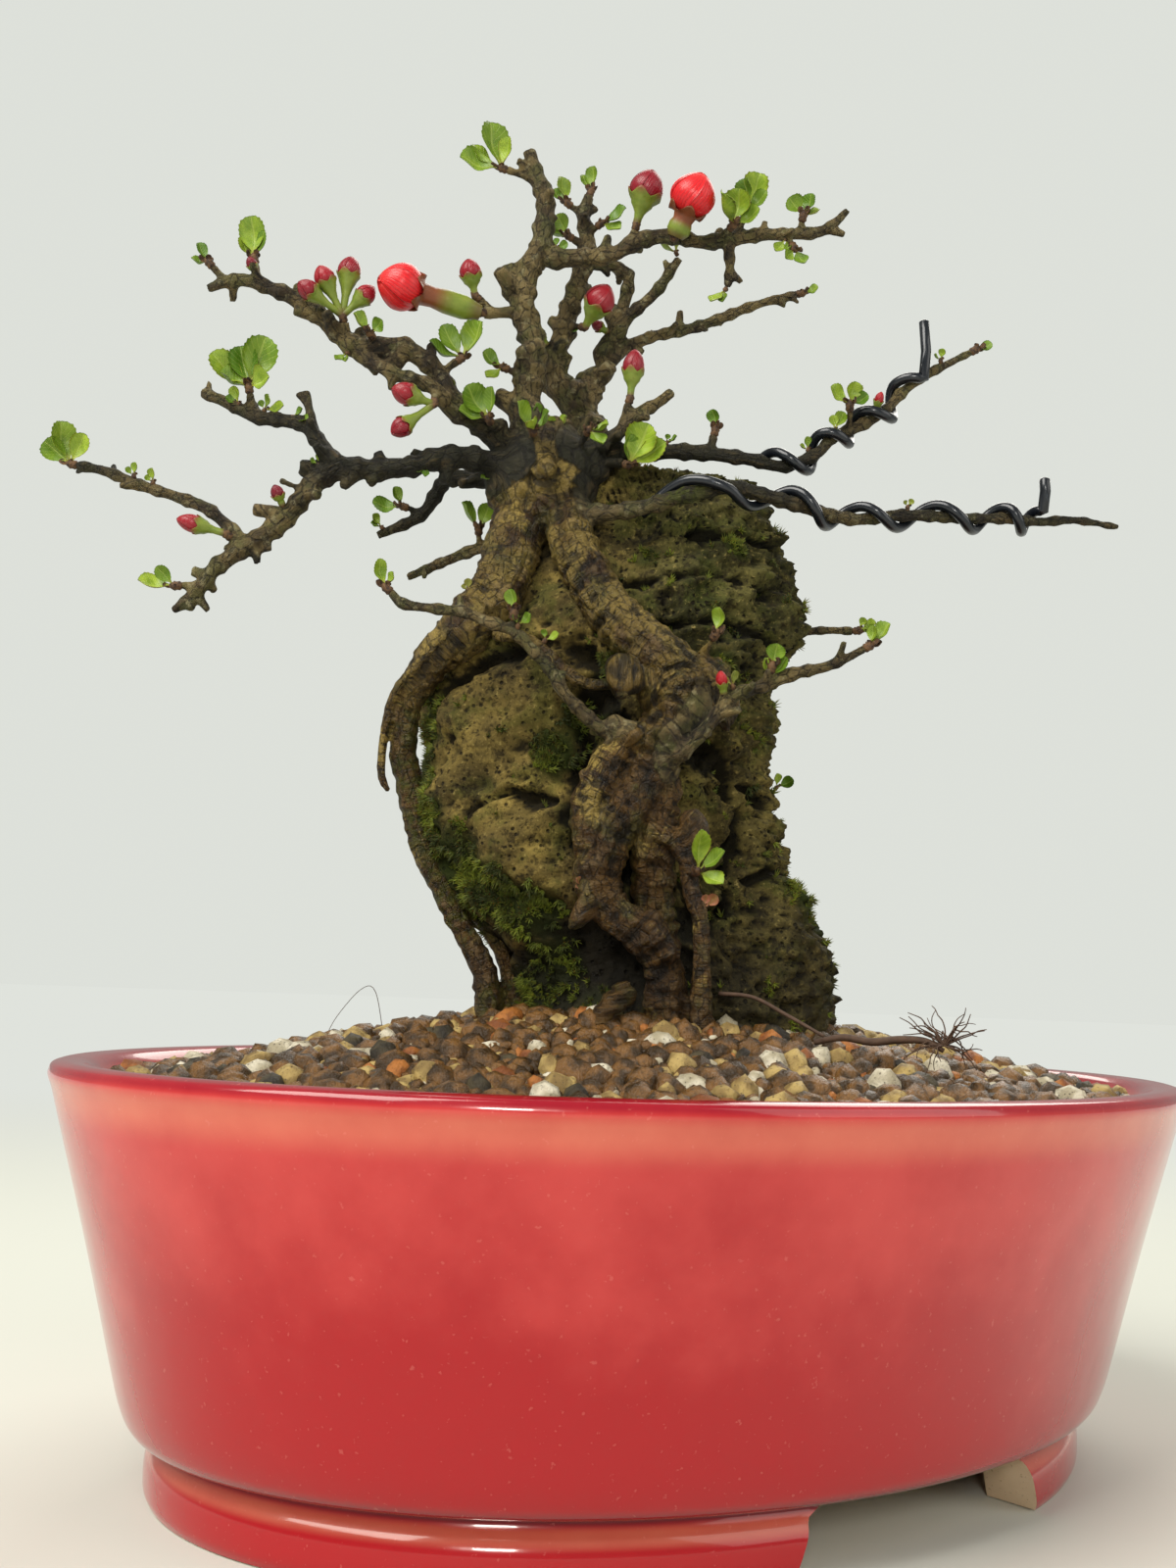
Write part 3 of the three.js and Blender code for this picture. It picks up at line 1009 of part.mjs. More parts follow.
// Larger stones lying in the heap: an eight-faced lump, turned and stretched
function looseGrain(random) {
  const angle = random() * 2 * Math.PI;
  const share = 0.62 + 0.33 * random();
  const size = GRAIN_SIZE * (0.36 + 0.22 * random());
  const lump = new THREE.OctahedronGeometry(size, 0);
  lump.rotateX(random() * 3).rotateZ(random() * 3).scale(1.15, 1, 0.8);
  const x = (RIM_LENGTH / 2 - WALL - 5) * share * Math.cos(angle);
  const y = (RIM_WIDTH / 2 - WALL - 5) * share * Math.sin(angle);
  return solidOf(lump.translate(x, y, soilHeight(share) + 0.3));
}

function buildSoil(swollenRock, swollenTree) {
  const random = seededRandom(23);
  const grains = Array.from({ length: LOOSE_GRAINS }, () => looseGrain(random));
  const heap = joined([soilBlock(), ...grains]);
  const rooms = joined([drainageRoom(-1), drainageRoom(1), swollenRock, swollenTree]);
  addPiece('soil', mainBody(heap.subtract(rooms)), 'soil');
}

buildPot();
buildDrainage();
const swollenTree = treeLimbs(CLEARANCE);
addPiece('tree', treeLimbs(0), 'bark');
addPiece('rock', mainBody(rockBlock(0).subtract(swollenTree)), 'rock');
buildSoil(rockBlock(CLEARANCE), swollenTree);
buildWires();
buildLeaves();
buildBuds();

export default bonsai;
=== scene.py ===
# Japanese quince bonsai whose roots hold a rock, in a glazed oval pot: bark, stone, soil, leaves and glaze.
# Shapes are worked out in millimetres and become metres when a piece is made.
import json
import math
import random

import bpy
import numpy as np
from mathutils import Matrix, Vector, geometry, kdtree, noise

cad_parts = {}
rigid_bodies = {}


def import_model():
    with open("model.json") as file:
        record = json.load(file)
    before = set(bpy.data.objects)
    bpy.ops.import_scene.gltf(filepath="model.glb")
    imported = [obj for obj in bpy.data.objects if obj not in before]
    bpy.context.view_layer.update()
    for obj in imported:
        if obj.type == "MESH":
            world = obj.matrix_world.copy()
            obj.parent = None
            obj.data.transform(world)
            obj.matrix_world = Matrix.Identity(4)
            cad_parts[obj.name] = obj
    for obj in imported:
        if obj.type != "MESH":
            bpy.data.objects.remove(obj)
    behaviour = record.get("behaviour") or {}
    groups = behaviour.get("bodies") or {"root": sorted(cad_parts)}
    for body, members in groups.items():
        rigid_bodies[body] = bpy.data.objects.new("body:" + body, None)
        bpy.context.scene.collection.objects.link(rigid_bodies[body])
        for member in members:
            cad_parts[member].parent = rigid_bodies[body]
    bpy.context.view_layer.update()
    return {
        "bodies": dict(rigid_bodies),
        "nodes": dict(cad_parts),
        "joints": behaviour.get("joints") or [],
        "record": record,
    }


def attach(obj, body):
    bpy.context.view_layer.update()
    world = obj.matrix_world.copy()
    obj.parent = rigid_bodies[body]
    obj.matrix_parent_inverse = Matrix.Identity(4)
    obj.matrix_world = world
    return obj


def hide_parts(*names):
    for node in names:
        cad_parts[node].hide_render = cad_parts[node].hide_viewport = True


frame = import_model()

MM = 0.001

# The tree's front is turned from the pot's long side, and leans a little from plumb.
# Every place on the tree and rock is given as [across, away, up] seen square on from that front.
FRONT_TURN = math.radians(40)
FRONT_LEAN = math.radians(2)
LEAN_ACROSS = -12.5
LEAN_UP = 110

# Pot, in mm, as in the frame
RIM_LENGTH = 202
RIM_WIDTH = 160
FOOT_HEIGHT = 9
POT_HEIGHT = 62
WALL = 7.5
FLOOR_TOP = 15
WALL_FLARE = 13.8
FOOT_INSET = 3.8
FOOT_WALL = 9
FOOT_GAP_TOP = 46
FOOT_GAP_BOTTOM = 53
DRAIN_DIAMETER = 14
DRAIN_OFFSET = 34
DRAIN_SEGMENTS = 40
POT_EDGE_ANGLE = math.radians(50)

# Soil
SOIL_AT_WALL = 58.5
SOIL_AT_MIDDLE = 70.5
SOIL_INSET = WALL + 2.2
SOIL_UNDER_GRAINS = 0.6
SOIL_WOBBLE = 1.1
SOIL_BOTTOM = FLOOR_TOP + 0.4
SOIL_RINGS = 70
SOIL_SEGMENTS = 260
# The grains are spread over a coarser copy, bare in the middle where the rock stands
SPREAD_RINGS = 40
SPREAD_SEGMENTS = 120
BARE_MIDDLE = 0.13

# The photographer's camera: seen from the tree's front, in mm from the middle of the pot
CAMERA_ACROSS = -12.5
CAMERA_AWAY = -287.2
CAMERA_UP = 74.8
CAMERA_PITCH = 0.122
CAMERA_ROLL = 0.0356
FOCAL_PIXELS = 1700
PHOTO_HEIGHT = 1600
SENSOR = 36

# Pot sections: each step is an inset from the rim's outline and a height
BOWL_SECTION = [
    [WALL_FLARE + 5, FOOT_HEIGHT], [WALL_FLARE + 1.6, FOOT_HEIGHT + 0.8],
    [WALL_FLARE + 0.3, FOOT_HEIGHT + 2.4],
    [WALL_FLARE - 0.9, FOOT_HEIGHT + 5.4], [WALL_FLARE / 2 + 0.3, 36], [1.9, POT_HEIGHT - 7.5],
    [1.0, POT_HEIGHT - 4.2], [0.15, POT_HEIGHT - 2], [0.6, POT_HEIGHT - 0.5], [2.4, POT_HEIGHT],
    [WALL - 2, POT_HEIGHT - 0.3], [WALL, POT_HEIGHT - 2], [WALL_FLARE + WALL - 3, FLOOR_TOP + 4],
    [WALL_FLARE + WALL + 1, FLOOR_TOP],
]
FOOT_SECTION = [
    [WALL_FLARE + FOOT_INSET + 0.6, 0], [WALL_FLARE + FOOT_INSET, 1.2], [WALL_FLARE + FOOT_INSET, 5.5],
    [WALL_FLARE + FOOT_INSET + 1.8, 8], [WALL_FLARE + FOOT_INSET + 1.8, FOOT_HEIGHT + 1],
    [WALL_FLARE + FOOT_INSET + FOOT_WALL, FOOT_HEIGHT + 1], [WALL_FLARE + FOOT_INSET + FOOT_WALL, 0],
]
POT_SEGMENTS = 200
FOOT_SEGMENTS = 120

# Rock
ROCK_CREST = [-3, 3, 165.5]
ROCK_SQUARENESS = 2.5
ROCK_RELIEF = 0.055
ROCK_SOIL_LEVEL = 76
ROCK_ROWS = 215
ROCK_COLUMNS = 380
ROCK_SIDE_SHARE = 0.86
ROCK_FOOT_CUT = 6
FRONT_SIDE = 4
CRACK_DEPTH = 3.2
RECESS_DEPTH = 2.4

# Swellings of the rock: middle, reach, height
ROCK_SWELLINGS = [
    [[-24, -18, 98], 8.5, 2.4], [[-31, -15, 117], 11, 1.8], [[-21, -18, 138], 8, 1.6],
    [[16, -8, 116.5], 4.5, 2.2], [[19, -8, 109], 4, 1.6], [[15, -13, 100], 6, 1.6],
    [[24, -12, 84], 10, 1.8],
    [[10, -15, 150], 11, 1.4], [[22, -6, 137], 5, 1.8], [[24, 2, 131], 4, 1.6], [[-34, -10, 106], 6, 1.4],
]

# Cracks across the rock's front: how wide, and a route of [across, up]
ROCK_CRACKS = [
    [1.2, [[-36, 125.5], [-28.6, 129.2], [-19, 131.3], [-12.5, 129], [-10, 124]]],
    [1.5, [[-12.5, 124], [-14.2, 114], [-15, 104.6], [-12.5, 95]]],
    [1.3, [[-36.5, 96.5], [-28.5, 91], [-18.8, 88]]],
    [0.8, [[-32, 103], [-25, 106.5], [-18, 105]]],
    [0.7, [[-6, 141.5], [7, 144], [18.5, 141.5]]],
    [0.6, [[4, 151.5], [20, 151]]],
    [0.6, [[-2, 134], [10, 135.5], [20, 133]]],
    [0.9, [[9.5, 113.5], [11.3, 100], [9.5, 87.5]]],
    [0.8, [[13, 108], [19, 104], [24, 105]]],
    [0.7, [[12, 92], [20, 94], [27, 91]]],
]

# The stone is lower near these roots, so that they lie on it: how wide the dip is, and its slope
BACK_ROOTS = ("back_right", "back_left")
BACK_ROOT_CLEAR = 3.2
BACK_ROOT_SINK = 0.45

# Recesses of the rock's front, between the roots, pressed in and darkened with painted shade: [across, up,
# reach]
ROCK_RECESSES = [
    [-14, 80, 7], [-6, 78, 6], [-21, 75, 6], [-6, 95, 3.6], [-3, 88, 3.2], [4, 84, 3.4], [2, 78, 4],
    [-29, 80, 4],
    [-8.5, 117, 3], [-11, 122, 3], [6.5, 112, 3],
]

# Moss grows round these places: [across, away, up, reach]
MOSS_SPOTS = [
    [-40, -6, 119, 8], [-41, -6, 110, 8], [-39, -10, 103, 7], [-35, -14, 94, 9], [-28, -16, 91, 8],
    [-22, -17, 88, 7], [-34, -6, 88, 8], [-19, -18, 77, 8], [-24, -12, 73, 7], [-12, -20, 72, 6],
    [25, -12, 92, 7], [28, -8, 86, 5], [31, 0, 78, 5], [-13, -20, 118, 6], [-9, -20, 127, 5],
    [-5, -17, 134, 4], [-18, -18, 113, 5], [15, -16, 120, 4], [-3, -15, 148, 4], [20, 8, 96, 10],
    [-6, 20, 96, 13], [-30, 14, 110, 10], [10, 18, 130, 9], [6, 10, 160, 7], [9.5, -17, 127, 4.5],
    [3, -16, 158, 5], [14, -12, 150, 4],
]

# Spikes of one moss tuft: [lean, way, tall]
MOSS_SPIKES = [
    [0.15, 0.3, 1.3], [0.55, 1.2, 1.1], [0.6, 2.5, 1.0], [0.5, 3.7, 1.2], [0.65, 5.0, 0.9],
    [0.3, 4.2, 1.35],
    [0.85, 0.4, 0.8],
]

# Bark
NODE_SPACING = 4.2
NODE_SWELL = 0.32
NODE_LENGTH = 0.7
STUB_LENGTH = 2.5
STUB_SHARE = 0.62
WOOD_VOXEL = 0.38
WOOD_TRIANGLES = 190000
LIMB_SHIFT = 37
CROWN_LEVEL = 176
CROWN_FADE = 14
GOLDEN_LIMBS = {"golden": 0.4, "left_outer": 0.3}

# Short cut side twigs, too small for a limb of their own: [across, away, up, radius]
CUT_TWIGS = [
    [[-58.4, -15.5, 166.5, 1.1], [-59.6, -15, 171.5, 0.8], [-60.4, -15, 175.2, 0.75]],
    [[-59.8, -15, 172.6, 0.7], [-61.8, -15, 174.8, 0.6]],
    [[-62.4, -18, 152.8, 1.2], [-68, -18, 153.6, 1]],
    [[-56, -17, 161, 1.3], [-60.8, -17, 161.4, 1.1]],
    [[-74, -19.5, 141.6, 1.1], [-77.6, -19.5, 142.9, 0.95]],
    [[-77, -20, 139.4, 0.9], [-77.6, -20.5, 136, 0.7]],
    [[-66, -18, 150, 1], [-65.6, -18.4, 146.4, 0.8]],
    [[-44, -11, 184, 1.1], [-45.4, -11.5, 180.6, 0.9]],
    [[-62, -12.4, 191.8, 1], [-62.6, -12, 195.4, 0.9]],
    [[-47, -15.6, 161.4, 1.1], [-48, -16, 164.4, 0.9]],
    [[-20.6, -5, 209.5, 1.1], [-18.4, -5.6, 211.2, 0.8]],
    [[-22.6, -6, 186, 1.3], [-20.6, -8.6, 186.4, 1.1]],
    [[18, -9, 206, 0.8], [18.6, -9, 208.6, 0.6]],
    [[12, -9.2, 199.6, 0.7], [14.2, -9.2, 197.2, 0.55]],
]

# Knots of bark beyond the main limbs: swollen joints, bosses and a waist under the burl
KNOTS = [
    [[-8, -24.5, 127.4, 2.3], [-7, -26, 124.4, 3.3], [-5.6, -25.5, 121, 2.7]],
    [[-9.5, -24.5, 117, 1.7], [-5, -27, 114.6, 2.1], [1.5, -26, 116.4, 2]],
    [[3, -26, 102.5, 1.8], [4.2, -26.5, 99.5, 2.3], [4.4, -26, 95, 1.8]],
    [[-20.5, -12, 164.5, 2.3], [-20, -13.5, 162, 2.7], [-19.6, -13, 159, 2.2]],
    [[-13, -6, 166, 2.4], [-11.5, -8, 164.5, 2.6], [-11, -8, 161.5, 1.8]],
    [[-27.5, -6, 165, 2.2], [-28, -7, 161.5, 2.6], [-27.5, -7, 157, 2]],
    [[-11.5, -26.5, 90, 2.2], [-13.5, -27, 86.5, 1.7], [-15.5, -26.5, 84, 0.9]],
    [[-4, -25.5, 86, 2.4], [-1.5, -26.5, 82.5, 2.2], [1, -26, 79, 1.6]],
    [[-6, -24, 75, 2], [-9, -25, 72, 1.8], [-12, -26, 69, 1.2]],
    [[8, -17, 125.5, 3], [9.6, -16.5, 121, 2.6], [8.5, -17, 116, 1.6]],
]

# Grains and moss: how many a square metre at most, and the size of their lumps
SCATTER_DENSITY = 1e8
FUZZ_SCALE = 420
FULL_TURN = 6.28

# How far apart and how large they are, in metres, how uneven, how far out of the surface, and which draw
GRAIN_SPREAD = {
    "Spacing": 0.0033, "Smallest": 0.0026, "Largest": 0.0062,
    "Roughness": 0.0012, "Sink": 0.0005, "Seed": 3,
}
GRIT_SPREAD = {
    "Spacing": 0.002, "Smallest": 0.0013, "Largest": 0.0026,
    "Roughness": 0.0006, "Sink": 0.0008, "Seed": 8,
}
MOSS_SPREAD = {
    "Spacing": 0.00052, "Smallest": 0.0007, "Largest": 0.0015,
    "Roughness": 0.0004, "Sink": -0.0001, "Seed": 2,
}

# Each kind of grain: its name, its finish's name, its share, and its two tones, speckle, gloss and flecks
GRAIN_KINDS = [
    ("brown", "brown_grain", 0.68, ("37260f", "74522a", 0.6, 0.1)),
    ("tan", "tan_grain", 0.15, ("7a6337", "b0975c", 0.25, 0.42, "54442a")),
    ("pumice", "pumice", 0.08, ("a2987f", "cfc7b2", 0.3, 0.6, "433b2e")),
    ("orange", "orange_grain", 0.05, ("74401a", "a5672c", 0.4, 0.35)),
    ("dark", "dark_grain", 0.04, ("221c12", "453c26", 0.3, 0.4)),
]

# Leaves
LEAF_ROWS = 18
LEAF_COLUMNS = 8
LEAF_STALK = 0.1
LEAF_WIDEST = 0.62
LEAF_START = 0.45
LEAF_BREADTH = 1.14
LEAF_CUP = 0.46
LEAF_ARCH = 0.15
LEAF_TOOTH = 0.06
LEAF_THICKNESS = 0.24
HEEL_REACH = 1.1
SMALL_HEEL = 0.55
SMALL_TUFT_SEED = 100

# Tufts too small for a node of their own. Each grows from the nearest wood to a place across and up
# in the plane of the pot's middle, as the camera sees it:
# [across, up, lean across, lean up, length, blades, blush]
SMALL_TUFTS = [
    [3.5, 206, -0.6, 1, 4.6, 2, 0], [-70.5, 177, 0.5, 1, 3.4, 3, 0], [-66, 176, 0.8, 0.3, 2.8, 2, 0],
    [-76, 173.5, -0.5, 0.8, 3, 2, 0], [-89, 163, -0.3, 1, 2.2, 2, 0], [-93.5, 162.5, -0.2, 1, 2.2, 2, 0],
    [-48, 154, -0.8, 0.6, 2.6, 2, 0], [-25, 137.5, 0.3, 1, 2.6, 2, 0], [-21, 133.5, 0.6, 1, 2.4, 2, 0],
    [-30.5, 141, 0.2, 1, 2.6, 3, 0.3], [-33, 141.5, -0.4, 1, 2, 2, 0.3], [18.5, 128, 0.4, 1, 4, 2, 0],
    [13.5, 124.5, -0.3, 1, 2.4, 2, 0.2], [35.5, 137.5, 0.8, 0.4, 3, 2, 0], [20.5, 108.5, 0.7, 1, 3.4, 2, 0],
    [29.5, 174.5, 0.2, 1, 3.4, 2, 0], [26.5, 169.5, -0.4, 1, 2.2, 2, 0], [8, 108, 0.6, 0.8, 2.6, 2, 0.9],
    [9, 88, 0.5, 1, 2.8, 2, 0.9], [-43, 205, 0.1, -1, 2.4, 2, 0], [-27.5, 165.5, -0.6, -0.5, 3, 2, 0],
    [-41.5, 172, -0.4, -0.8, 2.6, 2, 0], [-56, 187.5, -0.5, -0.9, 2.4, 2, 0],
    [-20, 204, 0.6, 0.8, 2.4, 2, 0],
    [11.5, 199, -0.5, -0.8, 3.6, 2, 0], [24, 204.5, -0.4, -1, 3, 2, 0], [-14, 188, 0.6, 0.6, 2.4, 2, 0],
    [-35.5, 179, -0.8, 0.4, 3.4, 3, 0], [-8, 165, 0.9, 0.3, 2.8, 2, 0], [-24.5, 168, -0.3, 1, 3.2, 2, 0],
    [-57, 161, -0.3, 1, 2.2, 2, 0], [0.5, 173.5, 0.5, 1, 2, 2, 0], [-16.5, 166, 0.2, 1, 3, 2, 0],
    [51, 185, -0.3, 1, 2, 2, 0], [44, 160, 0.1, 1, 1.6, 2, 0.2], [-16, 88, -0.9, 0.5, 1.8, 2, 0.9],
]

# Buds too small for a node of their own: [across, up, lean across, lean up, radius, length, redness]
SMALL_BUDS = [
    [13.2, 123, -0.2, 1, 0.9, 2.8, 0.5], [39.2, 174, 0.3, 1, 0.8, 2.4, 0.4],
    [-69.5, 161, -0.4, 1, 1.1, 2.6, 0],
    [-18, 187.5, -0.6, 0.7, 1, 2.6, 0], [-7.5, 190.5, -0.8, 0.3, 1, 2.4, 0],
    [-73.5, 196.5, -0.4, 1, 0.9, 2.2, 0],
]

# Petals and calyx cups
PETALS = 5
PETAL_ROWS = 14
PETAL_COLUMNS = 10
PETAL_REACH = 0.95
CUP_PLUMPEST = 2.7
CUP_SIDES = 30
# The neck below a cup: share of its length, and its girth as a share of the bud's radius
LARGE_NECK = [(0, 0.5), (0.3, 0.76), (0.62, 0.76), (0.85, 0.64)]
SMALL_NECK = [(0, 0.26), (0.3, 0.27), (0.6, 0.34), (0.85, 0.52)]
LARGE_BRIM = 0.2
SMALL_BRIM = 0.36
OPENING_BUD = 3.5
BUD_SEED = 7

# Training wire
WIRE_RADIUS = 0.92
WIRE_STAND_OFF = 0.15
WIRE_STEPS_A_TURN = 28
WIRE_SIDES = 14

# Loose rootlets on the soil: [across, away, up, radius]
ROOTLETS = [
    [[22, -30, 66.6, 0.45], [26, -32, 67.4, 0.55], [30, -34, 66.8, 0.6], [34, -36, 67.2, 0.6],
     [37.5, -37.5, 67, 0.5], [40, -38, 65.6, 0.35]],
    [[8, -24, 74, 0.35], [13, -27, 73.4, 0.3], [18, -30, 70.6, 0.3], [23, -33, 67.6, 0.25]],
    [[-56, -10, 66, 0.06], [-54, -10, 70, 0.06], [-50, -10, 74.6, 0.06], [-47.6, -10, 74.2, 0.06],
     [-46, -10, 66, 0.06]],
]
TANGLE_MIDDLE = [40, -38, 66.4]
ROOTLET_TANGLE = 34
TANGLE_SEED = 31

# Studio
BACKDROP = (0.845, 0.87, 0.815, 1)
BACKDROP_LIGHT = 0.86
SURROUND_LIGHT = 0.38
WARM = (1, 0.965, 0.89)
FLOOR_REACH = 8
FLOOR_FADE = (0.2, 0.9)
FLOOR_LEVEL = -0.0002
FLOOR_SIDES = 96

# Lights, in metres: name, place from the tree's front, what it shines on, its two sides, its power
LIGHTS = [
    ("key", (-0.6, -0.6, 1.0), (0, 0, 0.12), (0.8, 0.8), 18.5),
    ("window", (-0.05, -0.95, 0.36), (-0.02, -0.03, 0.03), (0.16, 0.13), 3),
    ("fill", (1.0, -0.5, 0.6), (0, 0, 0.12), (0.9, 0.9), 4.5),
    ("back", (0.3, 0.9, 1.0), (0, 0, 0.12), (1.0, 1.0), 11),
]

# Rock: plan outlines from the buried foot to the crest, as height, left, right, front and back
ROCK_LEVELS = [
    [57, -22, 26, -17, 17],
    [64, -24, 28, -19, 19],
    [71, -26, 29, -20, 20],
    [76, -27, 29.5, -20, 21],
    [81, -29, 28, -20, 22],
    [87, -34, 25, -21, 23],
    [91, -38, 23, -21, 23],
    [96, -40, 21, -21, 23],
    [101, -40.5, 19.5, -21, 22],
    [107, -40, 18.5, -21, 21],
    [113, -39.5, 18.5, -20, 21],
    [119, -40.5, 20.5, -20, 21],
    [125, -41.5, 20, -19, 21],
    [131, -40, 23, -18, 20],
    [137, -37, 25.5, -17, 19],
    [143, -33, 25, -15, 18],
    [149, -29.5, 22, -12, 17],
    [155, -27, 20.5, -10, 15],
    [160, -25, 19, -7.5, 13],
    [164, -19, 16, -5, 10],
]

# Tree wood. Each limb is a list of [across, away, up, radius], from its root to its tip.
ROOTS = {
    "collar": [
      [-19, -3, 153, 7], [-19.5, -5, 158, 8.4], [-19.5, -5.5, 163, 9], [-20, -5, 168, 7.6],
      [-20, -4, 172, 5],
    ],
    "left": [
      [-23, -5, 158, 5], [-25, -10, 151, 4.8], [-27.5, -13, 141.5, 4.8], [-31, -14, 137, 4.5],
      [-34.5, -14, 133, 4], [-39.5, -12, 128.5, 3.1], [-43, -9.5, 121.5, 2.4], [-43.8, -8, 114.5, 2.2],
      [-42.5, -8, 108.5, 2.2], [-41.5, -8, 102.5, 2], [-39.5, -8, 96, 1.9], [-36.5, -8, 90, 1.8],
      [-33.3, -8, 84.5, 1.9], [-31, -8, 80, 2], [-29.5, -8, 76, 2.2], [-29, -8, 71.5, 2.4],
      [-29, -8, 62, 2],
    ],
    "left_brace": [
      [-35.5, -8, 90, 1.4], [-31, -6, 87, 1.3], [-27.5, -5.5, 82, 1.5], [-25.5, -6, 77, 1.7],
      [-25, -6.5, 72, 1.9],
      [-25, -6, 63, 1.6],
    ],
    "left_outer": [
      [-32, -15, 135.5, 1.2], [-34.5, -17.5, 134, 1], [-41, -14.5, 128, 0.9], [-45, -12, 123.5, 0.8],
      [-46.8, -10, 117, 0.8], [-47.2, -10, 110.5, 0.7], [-46, -10, 107.5, 0.5],
    ],
    "right": [
      [-17, -7, 159, 4.2], [-16, -11, 154.5, 3.9], [-14.5, -15, 147.5, 3.9], [-10.3, -18, 138.5, 4],
      [-6, -20, 133, 4.1], [-1, -21.5, 128, 4.8], [1.5, -21, 123, 6.4], [1.5, -22.5, 118, 5.4],
      [-1, -23.5, 114.5, 4.5], [-3, -24, 110, 4.2], [-5, -24.5, 105.5, 4.1], [-9, -25, 100, 4],
      [-11, -25, 93, 3.8], [-10.3, -25, 88.5, 3.3], [-6.5, -25, 85, 3], [-2.5, -24, 81, 3],
      [-0.5, -23, 76.5, 3.1], [0, -22, 70.5, 3.5], [0, -21, 61, 2.6],
    ],
    "burl": [[1, -21, 117, 4], [3, -20.5, 122, 5.4], [6.5, -18.5, 125, 4.4], [8.5, -16, 127, 2.6]],
    "inner": [[-1, -22, 110, 3.4], [-2, -22.5, 99, 3.6], [-2, -21, 90, 3.4], [-1, -20.5, 80, 3.2]],
    "golden": [[-5, -23.5, 114, 2.8], [-9, -25.5, 110.5, 2.9], [-12.5, -25.5, 103, 2.8],
      [-12.5, -25, 96, 2.6]],
    "front_thin": [
      [-3, -25, 100, 1.9], [0.5, -26, 98.5, 1.7], [3, -26, 94.5, 1.5], [3.6, -26, 90, 1.4],
      [5, -26, 85, 1.4],
      [5.2, -25.5, 79, 1.4], [5, -25, 73, 1.8], [5, -24, 62, 1.5],
    ],
    "cross": [[-28, -16.5, 133, 1.2], [-21.5, -19.5, 131, 1], [-14.5, -21.5, 124.5, 1], [-9, -22, 123.5, 1],
      [-2, -21.5, 123, 1.2]],
    "back_right": [
      [-15, 0, 159, 3.5], [-10, 8, 156, 3.1], [-4, 15, 151, 2.9], [4, 19, 141, 2.7], [9, 20.5, 128, 2.5],
      [13, 21.5, 114, 2.5], [14, 22, 100, 2.4], [16, 22.5, 87, 2.4], [19, 20.5, 75, 2.7],
      [19, 19.5, 62, 2.2],
    ],
    "back_left": [
      [-24, 0, 158, 3.3], [-27, 8, 152, 2.9], [-31, 14, 143, 2.7], [-33, 17, 132, 2.5], [-33, 20, 116, 2.4],
      [-30, 22, 100, 2.3], [-26, 22.5, 87, 2.3], [-21, 20.5, 75, 2.5], [-20, 19, 62, 2],
    ],
}

STEMS = {
    "leader": [
      [-22.5, -4.5, 168, 3.6], [-23.5, -5.5, 175, 2.7], [-22.5, -6, 183.5, 2.3], [-22.3, -6, 187, 2.1],
      [-23, -6, 190.5, 2.1], [-24.3, -6, 195, 2.1], [-22.8, -6, 201.5, 1.9], [-21, -5.5, 205, 1.8],
      [-20.5, -5, 209, 1.7], [-20.2, -5, 214, 1.6], [-22, -5, 219.5, 1.4], [-23, -5, 223.5, 1.2],
    ],
    "leader_stub": [[-24.2, -6, 195, 1.7], [-26, -6, 198, 1.7], [-26.7, -6, 201.5, 1.4]],
    "second": [
      [-15, 0, 168, 3.6], [-12.8, 2.5, 175.5, 2.9], [-15.3, 3, 179.3, 2.5], [-18, 3, 184, 2.2],
      [-18.8, 3, 188, 2], [-17, 3, 192.5, 1.9], [-16, 3, 197, 1.8], [-14.5, 3, 202, 1.7],
      [-13.2, 3.5, 206.5, 1.6], [-12.5, 4, 209.5, 1.5], [-13, 4, 213, 1.3], [-13.4, 4, 216, 1.2],
      [-12.3, 4, 219.5, 1],
    ],
    "third": [
      [-14, 3, 178, 2.3], [-11.8, 5, 184.5, 2.3], [-9.4, 6, 186.5, 1.6], [-9.8, 6, 190, 1.5],
      [-8.4, 6, 193, 1.4], [-6.9, 6, 196.5, 1.3], [-5.5, 6, 201.5, 1.2], [-4.7, 6, 206, 1],
    ],
    "bridge": [[-13.3, 3.6, 206.3, 1.1], [-9, 5, 206.9, 1], [-4.8, 6, 205.5, 1]],
}

